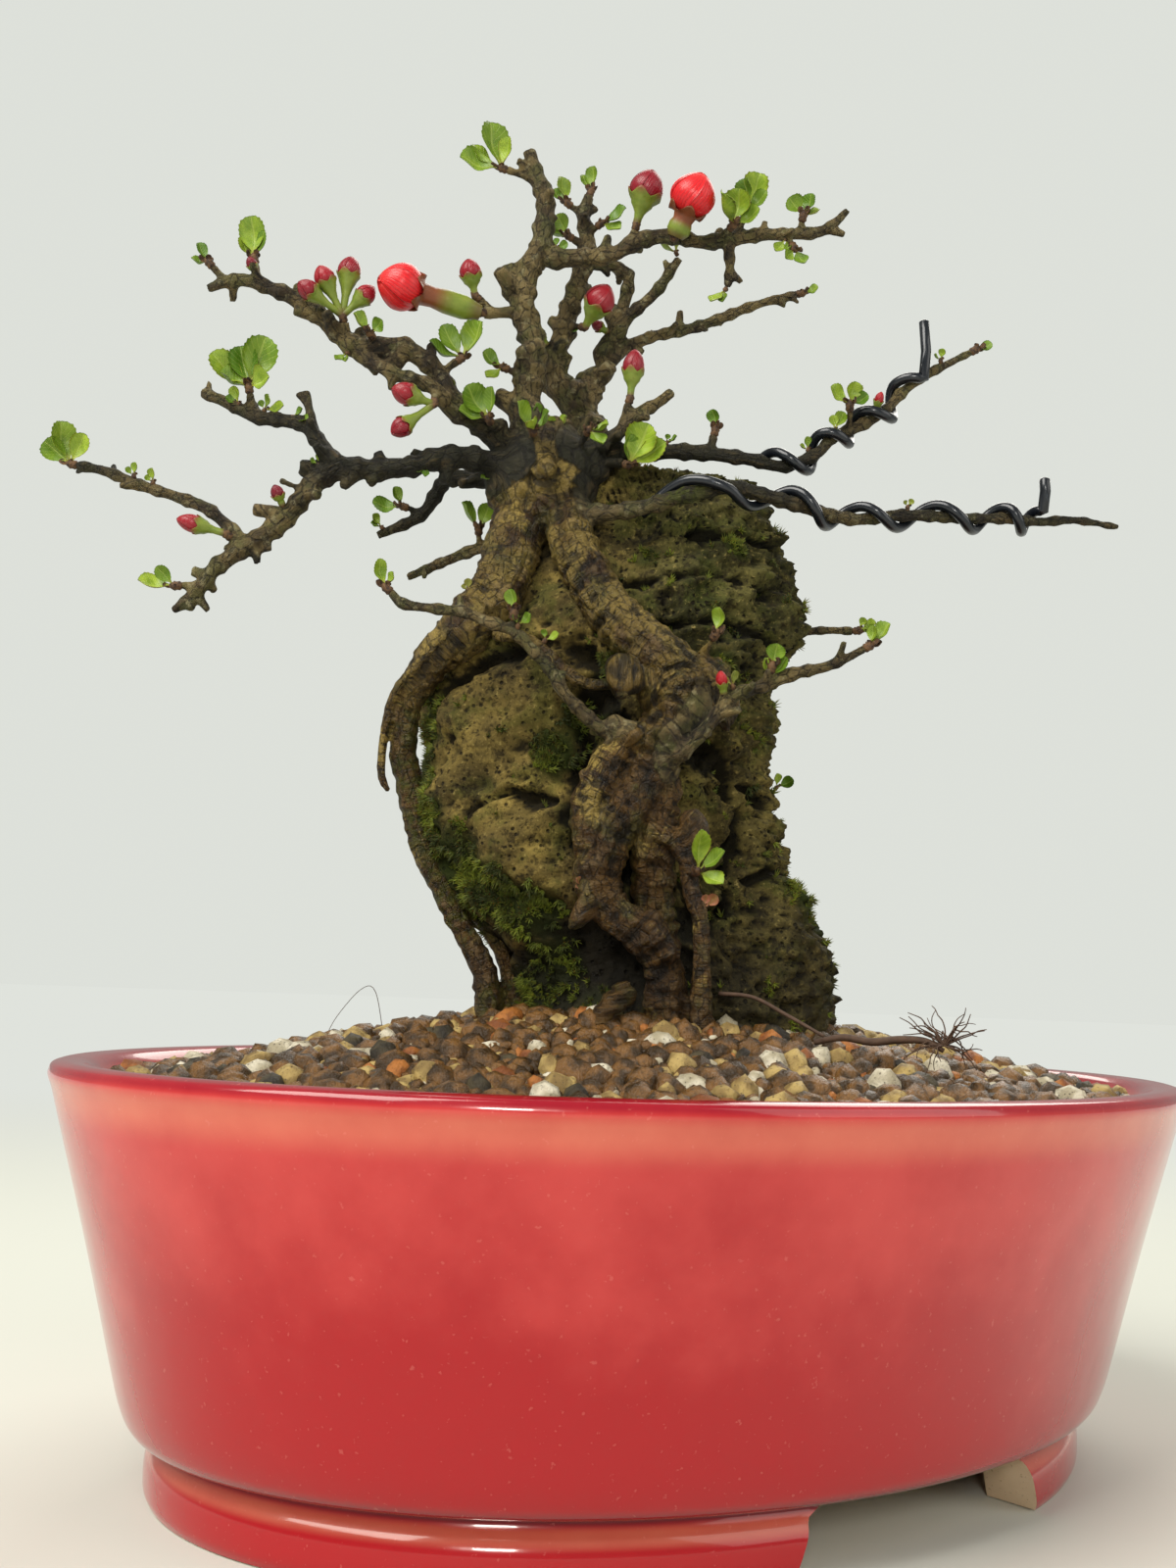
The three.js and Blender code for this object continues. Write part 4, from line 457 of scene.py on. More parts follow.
BRANCHES = {
    "left_upper": [
      [-25, -5, 167.5, 2.3], [-30, -7, 171, 2], [-35, -9, 175, 1.7], [-36.5, -10, 177, 1.6],
      [-38.3, -10, 180, 1.6], [-42.6, -11, 183.5, 1.6], [-47, -11, 184.5, 1.6], [-51, -12, 183.5, 1.7],
      [-53.5, -12, 184.7, 1.7], [-57, -12, 188, 1.6], [-60.5, -12, 191, 1.4], [-64.5, -13, 193.2, 1.3],
      [-68, -13, 194.6, 1.2], [-71, -13, 195.6, 1.1], [-74.2, -13, 195.5, 1], [-78, -13, 194.2, 0.8],
    ],
    "left_second_twig": [
      [-52, -12, 183, 1.1], [-45.5, -13.5, 178.8, 1.1], [-39, -13.5, 176.5, 1.2], [-36, -11, 173.5, 1.4],
      [-30, -8, 171, 1.6],
    ],
    "left_lower": [
      [-25, -6, 164, 2.6], [-31, -9.5, 165, 2], [-37.5, -13, 164.3, 1.8], [-42.5, -15, 162, 1.7],
      [-48.8, -16, 161.2, 1.7], [-53.5, -17, 161.2, 1.8], [-57, -17, 159.6, 1.7], [-59.7, -18, 156.2, 1.6],
      [-62.5, -18, 152.5, 1.6], [-66, -18, 149.5, 1.5], [-70.5, -19, 146, 1.4], [-74, -19, 143.4, 1.3],
      [-76, -20, 140.2, 1.1], [-78.5, -20, 137.5, 0.9], [-80.5, -20, 136, 0.7],
    ],
    "left_far": [
      [-69, -18.5, 147.2, 1.2], [-75, -18, 153.2, 1], [-81.4, -17, 156.2, 0.95], [-87, -17, 158, 0.9],
      [-93, -17, 160.4, 0.85], [-98, -17, 161.5, 0.8],
    ],
    "left_fork": [
      [-54.5, -17, 160.8, 1.4], [-56, -17, 163, 1.3], [-58.3, -16, 166.5, 1.2], [-61.5, -15, 169.5, 1.15],
      [-69, -14, 171, 1.1], [-73.5, -13.5, 173.5, 1], [-78.5, -13, 175.6, 0.8],
    ],
    "left_back": [
      [-24, 1, 164, 1.8], [-31, 5, 166, 1.5], [-38, 8, 167, 1.3], [-40.5, 10, 164.6, 1.2],
      [-43.5, 10, 160.5, 1.1], [-51, 10, 157, 0.8],
    ],
    "left_low_back": [
      [-26, 1, 154, 1.4], [-30.5, 4, 153.5, 1.1], [-34.6, 5, 152.4, 1], [-38.6, 6, 151, 0.9],
      [-45, 6, 148.2, 0.7],
    ],
    "right_upper": [
      [-21.5, -5.5, 204.3, 1.7], [-18, -5.5, 203.2, 1.6], [-9, -7, 203, 1.4], [-5, -8, 204.6, 1.4],
      [-1, -8, 206, 1.3], [3.4, -8, 206, 1.3], [7.5, -9, 204.6, 1.25], [12.5, -9, 205.2, 1.2],
      [17.9, -9, 206, 1.1], [23, -9, 206.1, 1], [27.5, -9, 206.4, 0.9], [30.3, -9, 207.8, 0.8],
      [33, -9, 210.5, 0.6],
    ],
    "right_upper_fork": [[29.5, -9, 207.2, 0.8], [32.5, -9, 206, 0.6]],
    "right_upper_drop": [[12, -9, 205, 1], [12.2, -9.4, 200, 0.8], [11.8, -9.2, 196.4, 0.7]],
    "middle_twig": [
      [-8.8, 6, 192, 1.3], [-4.4, 4, 197, 1.1], [-0.3, 3, 200.5, 1], [2, 2, 203.4, 0.9], [4, 2, 206.6, 0.8],
    ],
    "middle_long_twig": [
      [-9, 6, 189.5, 1.2], [-4, 7.5, 192.5, 1.1], [0, 8, 194.4, 1], [6, 9, 196, 1], [10.4, 9, 197.5, 0.9],
      [15.6, 10, 200, 0.9], [20, 10, 201.6, 0.8], [26.5, 10, 203.3, 0.7],
    ],
    "right_low_twig": [
      [-14, -7, 166.5, 1.8], [-10, -8.5, 168, 1.4], [-6.9, -10, 170, 1.2], [-3.9, -10, 173, 1.1],
      [-1.3, -10, 174.5, 1], [2, -10, 177, 0.9],
    ],
    "root_shoot_left": [
      [-7, -24, 115.5, 1.2], [-10.5, -25.5, 116, 1], [-13.5, -26, 118.3, 1], [-16.3, -26.5, 121.3, 0.95],
      [-18.8, -27, 125.2, 0.9], [-21.4, -27.5, 128, 0.9], [-24.5, -28, 131, 0.9], [-28.8, -28, 132.6, 0.9],
      [-32.4, -28, 134, 0.85], [-37.2, -28, 134.6, 0.8], [-42, -28, 135.4, 0.8], [-44, -28, 137.3, 0.65],
    ],
    "root_shoot_right": [
      [-1, -24, 110, 1.5], [2.5, -27, 112, 1.2], [5, -28, 114.5, 1.1], [8.1, -28.5, 118, 1.1],
      [10.1, -28.5, 120.5, 1.1], [15, -29, 122, 1], [19.8, -29, 124, 1], [25, -29, 125.2, 0.9],
      [28.4, -29, 126.6, 0.8], [31, -29, 128, 0.7],
    ],
    "back_shoot": [[9, 21, 129, 1.2], [13, 25, 134, 1], [20, 25.5, 140, 0.9], [29, 23, 142, 0.8],
      [37.5, 20, 141.5, 0.7]],
    "back_low_shoot": [[13, 22, 110, 1.1], [18, 24.5, 110, 0.9], [22, 20, 111, 0.7]],
}

# Branches that carry training wire
WIRED = {
    "right_low": [
      [-16, -8, 157, 2], [-10.5, -13, 154.5, 1.5], [-3.5, -15, 155, 1.3], [4, -15.5, 157, 1.3],
      [11.2, -15.5, 158.3, 1.2], [18.4, -14.5, 157, 1.15], [25.5, -13, 155.2, 1.1], [32.6, -11, 154.2, 1],
      [41.4, -10, 155.2, 1], [51.2, -9, 155, 0.9], [59.8, -8, 155.1, 0.9], [65.8, -7, 154.9, 0.8],
      [72.2, -6, 155.5, 0.7], [79.5, -6, 154.2, 0.5],
    ],
    "right_rising": [
      [-13, -5, 164.5, 2], [-6, -8, 166.5, 1.5], [4, -8.5, 166.8, 1.3], [14.5, -8, 165.8, 1.15],
      [21.3, -7.5, 164.6, 1.1], [26.9, -7, 166.8, 1.05], [30.2, -6, 170.3, 1], [34.6, -5, 172.4, 1],
      [39.8, -4, 175.9, 0.9], [43, -3.5, 179.4, 0.9], [47.5, -3, 182.8, 0.8], [55.5, -3, 187, 0.6],
    ],
}

# How far round its branch the wire has gone, in turns, at points counted along the branch
WINDINGS = {
    "wire_right_low": {
      "branch": "right_low",
      "turns": [[1.9, -0.3], [3, 0], [4, 0.32], [5, 0.75], [6, 1.3], [7, 1.95], [8, 2.6], [9, 3.3],
        [10, 4.1], [11, 5.1]],
      "free": [[0.3, -0.8, 3.4], [0.2, -1, 5.4]],
    },
    "wire_right_rising": {
      "branch": "right_rising",
      "turns": [[3.4, -0.2], [4, 0.15], [5, 0.75], [6, 1.3], [7, 1.85], [8, 2.5], [9, 3], [9.7, 3.3]],
      "free": [[0.6, 0.2, 5], [0.4, 0.3, 10.5]],
    },
}

# Short wood under each leaf tuft or bud: [from, to, radius]
SPURS = {
    "apex": [[-21.8, -5, 218], [-27, -6, 219.4], 0.8],
    "second_side": [[-13.5, 4, 215.5], [-15.6, 3.8, 217.4], 0.7],
    "second_right": [[-12.8, 4, 212], [-10.9, 2.8, 213], 0.7],
    "second_left": [[-12.5, 4, 209.5], [-15.3, 2.8, 210.7], 0.7],
    "upper_tip_high": [[13.5, -9, 205.4], [14.8, -9.2, 209.4], 0.7],
    "upper_broad": [[10.4, -9.2, 205], [12, -11.2, 206], 0.7],
    "upper_end": [[24.5, -9, 206.3], [24.9, -9.6, 208.2], 0.6],
    "upper_low": [[22, -9, 206], [23, -9.6, 204], 0.6],
    "low_tuft": [[-11.5, -8.3, 165.5], [-6.5, -11, 163.8], 0.9],
    "trunk_front": [[-21.5, -9, 166.5], [-21.8, -14.2, 168], 0.7],
    "trunk_right": [[-14.5, -9, 166.5], [-12.8, -13.4, 168.3], 0.7],
    "trunk_left": [[-27.5, -7, 169.5], [-29.2, -10.6, 171.2], 0.8],
    "leader_tuft": [[-23, -6, 181], [-26.4, -7.2, 182], 0.6],
    "left_tip": [[-75, -13, 195.5], [-77.2, -13.2, 198], 0.7],
    "left_near_tip": [[-69, -13, 195], [-69.8, -13.4, 198.4], 0.6],
    "left_mid_leaf": [[-48.5, -11, 184.2], [-49.4, -13.6, 185.2], 0.6],
    "left_round": [[-38.3, -10, 180], [-35.2, -10.4, 182.2], 0.8],
    "lower_tip": [[-76, -20, 140.4], [-79.2, -20.2, 140.2], 0.7],
    "fork_tuft": [[-69.5, -14, 171.2], [-70, -14.4, 175], 0.8],
    "lower_bud": [[-59.7, -18, 157], [-63.8, -18.4, 158.6], 0.6],
    "back_leaf": [[-43, 10, 161.4], [-45.4, 9.4, 162], 0.6],
    "low_back_leaf": [[-32, 4.4, 153.2], [-32, 2.6, 155.2], 0.6],
    "shoot_left_mid": [[-24.5, -28, 131], [-24.4, -28.6, 132.8], 0.6],
    "shoot_right_mid": [[15.5, -29, 122.2], [16, -29.6, 124], 0.6],
    "rising_leaf": [[33.2, -5.3, 171.8], [33, -7.4, 174.6], 0.6],
    "crest_bud": [[8.5, -8.3, 166.6], [9.2, -8.8, 169.6], 0.8],
    "root_leaf": [[3.2, -26, 92], [4, -28.6, 92.6], 0.7],
    "burl_leaf": [[5.5, -19.5, 127.5], [7.6, -22, 131], 0.7],
    "bud_ball_left": [[-24.5, -6, 193], [-30.4, -9.5, 191.4], 1.1],
    "bud_ball_left_small": [[-29, -8.8, 191.6], [-31.4, -9.8, 193.6], 0.8],
    "bud_bunch": [[-53.8, -12.2, 185], [-54.4, -13.4, 188], 1],
    "bud_pair": [[-38.5, -13.2, 176.2], [-38.6, -14.6, 173.8], 0.8],
    "bud_lower": [[-69.6, -18.6, 147], [-71.4, -19.4, 148.4], 0.8],
    "bud_upper": [[-4.8, -8, 204.8], [-4.3, -8.6, 207], 0.9],
    "bud_ball_right": [[2, -8.2, 205.4], [2.4, -10.6, 204.6], 0.9],
    "bud_middle": [[-16.6, 2.6, 194.5], [-13.9, 0.4, 193], 0.8],
    "bud_low": [[-6.9, -10, 170.4], [-5.6, -10.4, 174.8], 0.7],
}

# Leaf tufts: what carries each, and its leaves as [step to the tip, width]
TUFTS = {
    "leaves_apex": ["apex", [[[-2, 0, 8.6], 5.4], [[-7.2, -1.4, 1.6], 4.8], [[1.4, -1, 5.4], 2.8],
      [[-5, 1.6, 5.2], 3]]],
    "leaves_second_top": ["second", [[[0.4, -0.4, 4.6], 2.4], [[-1.6, 0.6, 3.4], 1.8]]],
    "leaves_second_side": ["second_side", [[[-1, -0.4, 4.8], 3.4], [[-2.6, 0.6, 2.8], 2]]],
    "leaves_second_right": ["second_right", [[[4.4, -1, 2.6], 3.2], [[3.4, -1.4, -1.6], 2.6]]],
    "leaves_second_left": ["second_left", [[[-2, -0.6, 3.8], 2.8], [[-3.2, -0.4, 0.4], 2.2]]],
    "leaves_upper_high": ["upper_tip_high", [[[2.6, 0.4, 7], 4], [[-0.4, -0.8, 5.4], 2.8],
      [[3.6, -1, 3], 2.4]]],
    "leaves_upper_broad": ["upper_broad", [[[-2.4, -5.4, 3.2], 4.4], [[1, -1.8, 5.8], 4.2],
      [[4.4, -1.4, 2.4], 3]]],
    "leaves_upper_end": ["upper_end", [[[-2.6, -0.8, 2.8], 3], [[1.4, -0.8, 3.6], 3],
      [[2.8, 0.6, 1.4], 2]]],
    "leaves_upper_low": ["upper_low", [[[1.6, -1, -3], 2.2], [[-1.6, -1, -2.2], 1.8]]],
    "leaves_middle_end": ["middle_long_twig", [[[2.8, -0.4, 1.2], 1.8]]],
    "leaves_low_tuft": ["low_tuft", [[[3.4, -2, 6.6], 5], [[6.2, -2, 3.4], 3.4], [[0.2, -1.4, 5], 2.8]]],
    "leaves_trunk_front": ["trunk_front", [[[-2.4, -3, 4], 2.8], [[2.6, -3, 2.4], 2.4],
      [[0, -3.6, 0.6], 2]]],
    "leaves_trunk_right": ["trunk_right", [[[2.4, -2, -3], 2.4], [[3.2, -2, 0.4], 2.2]]],
    "leaves_trunk_left": ["trunk_left", [[[-3.6, -1.6, 5.4], 4], [[0.6, -2, 5], 2.6], [[-5, -1, 1.4], 3]]],
    "leaves_leader": ["leader_tuft", [[[-3.4, -0.8, 2.6], 2.6], [[-2.8, -1.4, -2.2], 2]]],
    "leaves_left_tip": ["left_tip", [[[-1.8, -0.2, 3.4], 1.8], [[-3, 0.4, 1], 1.6]]],
    "leaves_left_near_tip": ["left_near_tip", [[[-0.6, -0.4, 7.4], 4], [[1.8, -0.8, 4.6], 2.4],
      [[-2.4, 0.4, 4], 2.2]]],
    "leaves_left_mid": ["left_mid_leaf", [[[-2.6, -1.6, 3], 2.8], [[2.2, -1.8, 1.6], 2.4]]],
    "leaves_left_round": ["left_round", [[[3.4, -1.4, 6], 6.2], [[-3.4, -0.4, 5.8], 3.2],
      [[-5.6, -0.4, 3], 2.4]]],
    "leaves_lower_tip": ["lower_tip", [[[-5.8, -0.6, 1], 3.4], [[-2.8, -1, 3], 2]]],
    "leaves_far_tip": ["left_far", [[[-2, 0, 7.4], 4], [[2.4, -0.8, 5], 2.8], [[-4.4, -0.4, 3.8], 3.4]]],
    "leaves_fork": ["fork_tuft", [
      [[-6.4, -0.6, 5.8], 4], [[2.6, 0.2, 9], 5], [[-1.8, 0.6, 7.4], 4.2], [[-4.6, -1.6, 2], 4.6],
      [[3.6, -1.4, 1.4], 4],
    ]],
    "leaves_back": ["back_leaf", [[[-5.4, -0.6, 0.8], 2.8], [[-1.4, -1, 3.4], 1.8]]],
    "leaves_low_back": ["low_back_leaf", [[[-2.8, -1.8, 4.4], 3], [[2, -1.6, 4.2], 2.6]]],
    "leaves_shoot_left": ["root_shoot_left", [[[-1, -0.4, 4.6], 2], [[1, 0, 2.6], 1.4]]],
    "leaves_shoot_right": ["root_shoot_right", [[[3, -0.2, 3.6], 2.6], [[0.4, -0.4, 3.2], 1.8]]],
    "leaves_rising": ["rising_leaf", [[[-3.2, -0.8, 3.2], 2.8], [[1, -1, 3.8], 2.6],
      [[3.2, -0.4, 1.6], 2]]],
    "leaves_root": ["root_leaf", [[[0.6, -2.4, 6.2], 2.6], [[4, -2, 3], 2.2], [[3.8, -2, -2], 2.6]]],
    "leaves_shoot_left_mid": ["shoot_left_mid", [[[-0.6, -0.6, 3.6], 2]]],
    "leaves_shoot_right_mid": ["shoot_right_mid", [[[0.8, -1, 3.4], 2.6]]],
    "leaves_rising_end": ["right_rising", [[[2.8, 0, 1.2], 1.8]]],
    "leaves_crest": ["crest_bud", [[[-0.6, -0.6, 3.4], 2.2]]],
    "leaves_burl": ["burl_leaf", [[[0.4, -0.8, 4.2], 2.2]]],
    "leaves_back_shoot": ["back_shoot", [[[3, -1, 1.4], 2.2]]],
}

# Flower buds: the spur that carries each bunch, and its balls as [node, step, radius, length]
BUDS = {
    "calyx_ball_left": ["bud_ball_left", [["petals_ball_left", [-13.3, -4.4, 2.8], 4.1, 8.4]]],
    "calyx_ball_left_small": ["bud_ball_left_small", [["petals_left_small", [-0.8, -1, 4], 1.9, 4.2]]],
    "buds_bunch": ["bud_bunch", [
      [None, [1, 0.3, 8.4], 2, 4.8], [None, [-3, -1.6, 6.2], 1.8, 4.2],
      [None, [-5.6, -2.6, 3.6], 1.7, 4], [None, [3.9, 0.4, 4], 1.7, 4],
    ]],
    "buds_pair": ["bud_pair", [[None, [-4.8, -1.4, 1.4], 1.9, 4.8], [None, [-5.4, -1.4, -4.6], 1.7, 4]]],
    "calyx_lower": ["bud_lower", [["petals_lower", [-5.6, -0.6, 1.6], 1.5, 5]]],
    "calyx_upper": ["bud_upper", [["petals_upper", [1.8, -1.2, 6], 3, 6.6]]],
    "calyx_ball_right": ["bud_ball_right", [["petals_ball_right", [3, -2.6, 6.4], 4, 8]]],
    "calyx_middle": ["bud_middle", [["petals_middle", [2.8, -2.6, 4.2], 2.7, 5.8]]],
    "calyx_low": ["bud_low", [["petals_low", [0.6, -0.4, 5.6], 1.9, 5.6]]],
}

# Places and routes

def clamp(value, low=0, high=1):
    return min(max(value, low), high)


def angles_round(count):
    """Angles evenly spaced round a circle."""
    return np.arange(count) / count * 2 * math.pi


def place(across, away, up):
    """A point seen from the tree's front, in the pot's own axes, in mm."""
    sideways = across - LEAN_ACROSS
    upward = up - LEAN_UP
    level = LEAN_ACROSS + sideways * math.cos(FRONT_LEAN) - upward * math.sin(FRONT_LEAN)
    height = LEAN_UP + sideways * math.sin(FRONT_LEAN) + upward * math.cos(FRONT_LEAN)
    x = level * math.cos(FRONT_TURN) + away * math.sin(FRONT_TURN)
    y = away * math.cos(FRONT_TURN) - level * math.sin(FRONT_TURN)
    return np.array([x, y, height])


def front_view(point):
    """The other way round: a point in the pot's axes, as seen from the tree's front."""
    x, y, height = point
    level = x * math.cos(FRONT_TURN) - y * math.sin(FRONT_TURN)
    away = x * math.sin(FRONT_TURN) + y * math.cos(FRONT_TURN)
    sideways = level - LEAN_ACROSS
    upward = height - LEAN_UP
    across = LEAN_ACROSS + sideways * math.cos(FRONT_LEAN) + upward * math.sin(FRONT_LEAN)
    up = LEAN_UP - sideways * math.sin(FRONT_LEAN) + upward * math.cos(FRONT_LEAN)
    return across, away, up


def step_of(step):
    return place(*step) - place(0, 0, 0)


def unit(vector):
    return vector / max(np.linalg.norm(vector), 1e-9)


def smooth_route(points, spacing):
    """A smooth curve through given points, with the radius carried along as a fourth value."""
    knots = np.array([[*place(*point[:3]), point[3]] for point in points], float)
    padded = np.vstack([2 * knots[0] - knots[1], knots, 2 * knots[-1] - knots[-2]])
    rows = []
    for i in range(1, len(padded) - 2):
        a, b, c, d = padded[i - 1:i + 3]
        count = max(2, math.ceil(np.linalg.norm(c[:3] - b[:3]) / spacing))
        t = np.linspace(0, 1, count, endpoint=False)[:, None]
        rows.append(0.5 * (2 * b + (c - a) * t + (2 * a - 5 * b + 4 * c - d) * t ** 2
                           + (3 * b - a - 3 * c + d) * t ** 3))
    rows.append(knots[-1:])
    route = np.vstack(rows)
    route[:, 3] = np.clip(route[:, 3], knots[:, 3].min() * 0.9, knots[:, 3].max() * 1.05)
    return route


def lengths_along(route):
    """How far along a route each of its points lies."""
    steps = np.linalg.norm(np.diff(route[:, :3], axis=0), axis=1)
    return np.concatenate([[0], np.cumsum(steps)])


def frames_along(route):
    """The way along a route at each point, and two sides square to it that don't twist."""
    return frames_of(np.gradient(route, axis=0))


def frames_of(along):
    """Unit ways along, and for each of them two sides square to it that turn as little as they can."""
    along = along / np.maximum(np.linalg.norm(along, axis=1, keepdims=True), 1e-9)
    side = np.array([0, 0, 1.0]) if abs(along[0][2]) < 0.9 else np.array([1.0, 0, 0])
    sides = np.zeros_like(along)
    for i, way in enumerate(along):
        side = unit(side - way * side.dot(way))
        sides[i] = side
    return along, sides, np.cross(along, sides)


def grid_faces(rows, columns, wrap):
    """Quads over a grid of points, wrapped round where the last column joins the first."""
    across = columns if wrap else columns - 1
    i, j = np.meshgrid(np.arange(rows - 1), np.arange(across), indexing="ij")
    k = (j + 1) % columns
    quads = np.stack([i * columns + j, i * columns + k, (i + 1) * columns + k, (i + 1) * columns + j], -1)
    return quads.reshape(-1, 4).tolist()


def capped_faces(rows, columns):
    """Quads round a tube of points, closed at each end by a fan to one of two more points."""
    faces = grid_faces(rows, columns, True)
    start, last = rows * columns, (rows - 1) * columns
    for i in range(columns):
        faces.append([start, (i + 1) % columns, i])
        faces.append([start + 1, last + i, last + (i + 1) % columns])
    return faces


def tube(route, radii, sides, turn=0.0):
    """A closed round tube along a route, as (points, faces)."""
    _, side, up = frames_along(route)
    angle = turn + angles_round(sides)
    ring = np.cos(angle)[None, :, None] * side[:, None] + np.sin(angle)[None, :, None] * up[:, None]
    points = (route[:, None] + ring * np.asarray(radii)[:, None, None]).reshape(-1, 3)
    return np.vstack([points, route[:1], route[-1:]]), capped_faces(len(route), sides)


def shell_faces(rows, columns, facing):
    """Faces of a thin sheet made of two grids of points: both its skins, and its edge all round."""
    top = grid_faces(rows, columns, False)
    size = rows * columns
    bottom = [[i + size for i in face[::-1]] for face in top]
    rim = [i * columns for i in range(rows)] + [(rows - 1) * columns + j for j in range(1, columns)]
    rim += [i * columns + columns - 1 for i in range(rows - 2, -1, -1)] + list(range(columns - 2, 0, -1))
    edges = [[rim[i], rim[i - 1], rim[i - 1] + size, rim[i] + size] for i in range(len(rim))]
    return [face[::facing] for face in top + bottom + edges]


def gathered(parts):
    """Several (points, faces) as one."""
    points, faces = [], []
    start = 0
    for part_points, part_faces in parts:
        points.append(part_points)
        faces += [[i + start for i in face] for face in part_faces]
        start += len(part_points)
    return np.vstack(points), faces


def point_tree(points):
    """Finds the nearest of many points."""
    tree = kdtree.KDTree(len(points))
    for i, point in enumerate(points):
        tree.insert(point, i)
    tree.balance()
    return tree


# Meshes and pieces

def mesh_of(name, points, faces, scale=MM):
    mesh = bpy.data.meshes.new(name)
    mesh.from_pydata((np.asarray(points) * scale).tolist(), [], faces)
    mesh.validate()
    mesh.shade_smooth()
    return mesh


def object_of(name, mesh):
    made = bpy.data.objects.new(name, mesh)
    bpy.context.scene.collection.objects.link(made)
    return made


def add_values(mesh, name, values):
    layer = mesh.attributes.new(name, "FLOAT", "POINT")
    layer.data.foreach_set("value", np.asarray(values, np.float32))


def add_piece(name, mesh, slot, *nodes):
    """A finished piece: it rides with the frame and stands for the nodes it replaces. Its slot is not used.
    """
    piece = object_of(name, mesh)
    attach(piece, "root")
    if nodes:
        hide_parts(*nodes)
    return piece


def modified(mesh, *modifiers):
    """A copy of a mesh with modifiers applied, each given as (type, settings)."""
    holder = object_of("holder", mesh)
    for kind, settings in modifiers:
        modifier = holder.modifiers.new(kind.lower(), kind)
        for key, value in settings.items():
            setattr(modifier, key, value)
    evaluated = holder.evaluated_get(bpy.context.evaluated_depsgraph_get())
    result = bpy.data.meshes.new_from_object(evaluated)
    bpy.data.objects.remove(holder)
    return result


def points_of(mesh, kind="co"):
    flat = np.zeros(len(mesh.vertices) * 3, np.float32)
    mesh.vertices.foreach_get(kind, flat)
    return flat.reshape(-1, 3).astype(float)


def set_points(mesh, points):
    mesh.vertices.foreach_set("co", np.asarray(points, np.float32).ravel())
    mesh.update()


# Finishes

def colour(code):
    """A colour from its hex code, in the light's own scale."""
    channels = [int(code[i:i + 2], 16) / 255 for i in (0, 2, 4)]
    return (*[c / 12.92 if c < 0.04045 else ((c + 0.055) / 1.055) ** 2.4 for c in channels], 1)


class Amount:
    """A number that changes over a surface. Python's own signs add the Math nodes."""

    def __init__(self, finish, socket):
        self.finish = finish
        self.socket = socket

    def math(self, operation, *values):
        made = self.finish.node("ShaderNodeMath", {"operation": operation}, dict(enumerate(values)))
        return Amount(self.finish, made.outputs[0])

    def __add__(self, other):
        return self.math("ADD", self, other)

    __radd__ = __add__

    def __sub__(self, other):
        return self.math("SUBTRACT", self, other)

    def __rsub__(self, other):
        return self.math("SUBTRACT", other, self)

    def __mul__(self, other):
        return self.math("MULTIPLY", self, other)

    __rmul__ = __mul__

    def __truediv__(self, other):
        return self.math("DIVIDE", self, other)

    def __rtruediv__(self, other):
        return self.math("DIVIDE", other, self)

    def __pow__(self, other):
        return self.math("POWER", self, other)

    def least(self, other):
        return self.math("MINIMUM", self, other)

    def most(self, other):
        return self.math("MAXIMUM", self, other)

    def sine(self):
        return self.math("SINE", self)

    def size(self):
        return self.math("ABSOLUTE", self)

    def between(self, low, high):
        """0 below low and 1 above high, eased in between. With low above high it falls instead."""
        made = self.finish.node("ShaderNodeMapRange", {"interpolation_type": "SMOOTHSTEP", "clamp": True},
                                {"Value": self, "From Min": low, "From Max": high})
        return Amount(self.finish, made.outputs["Result"])


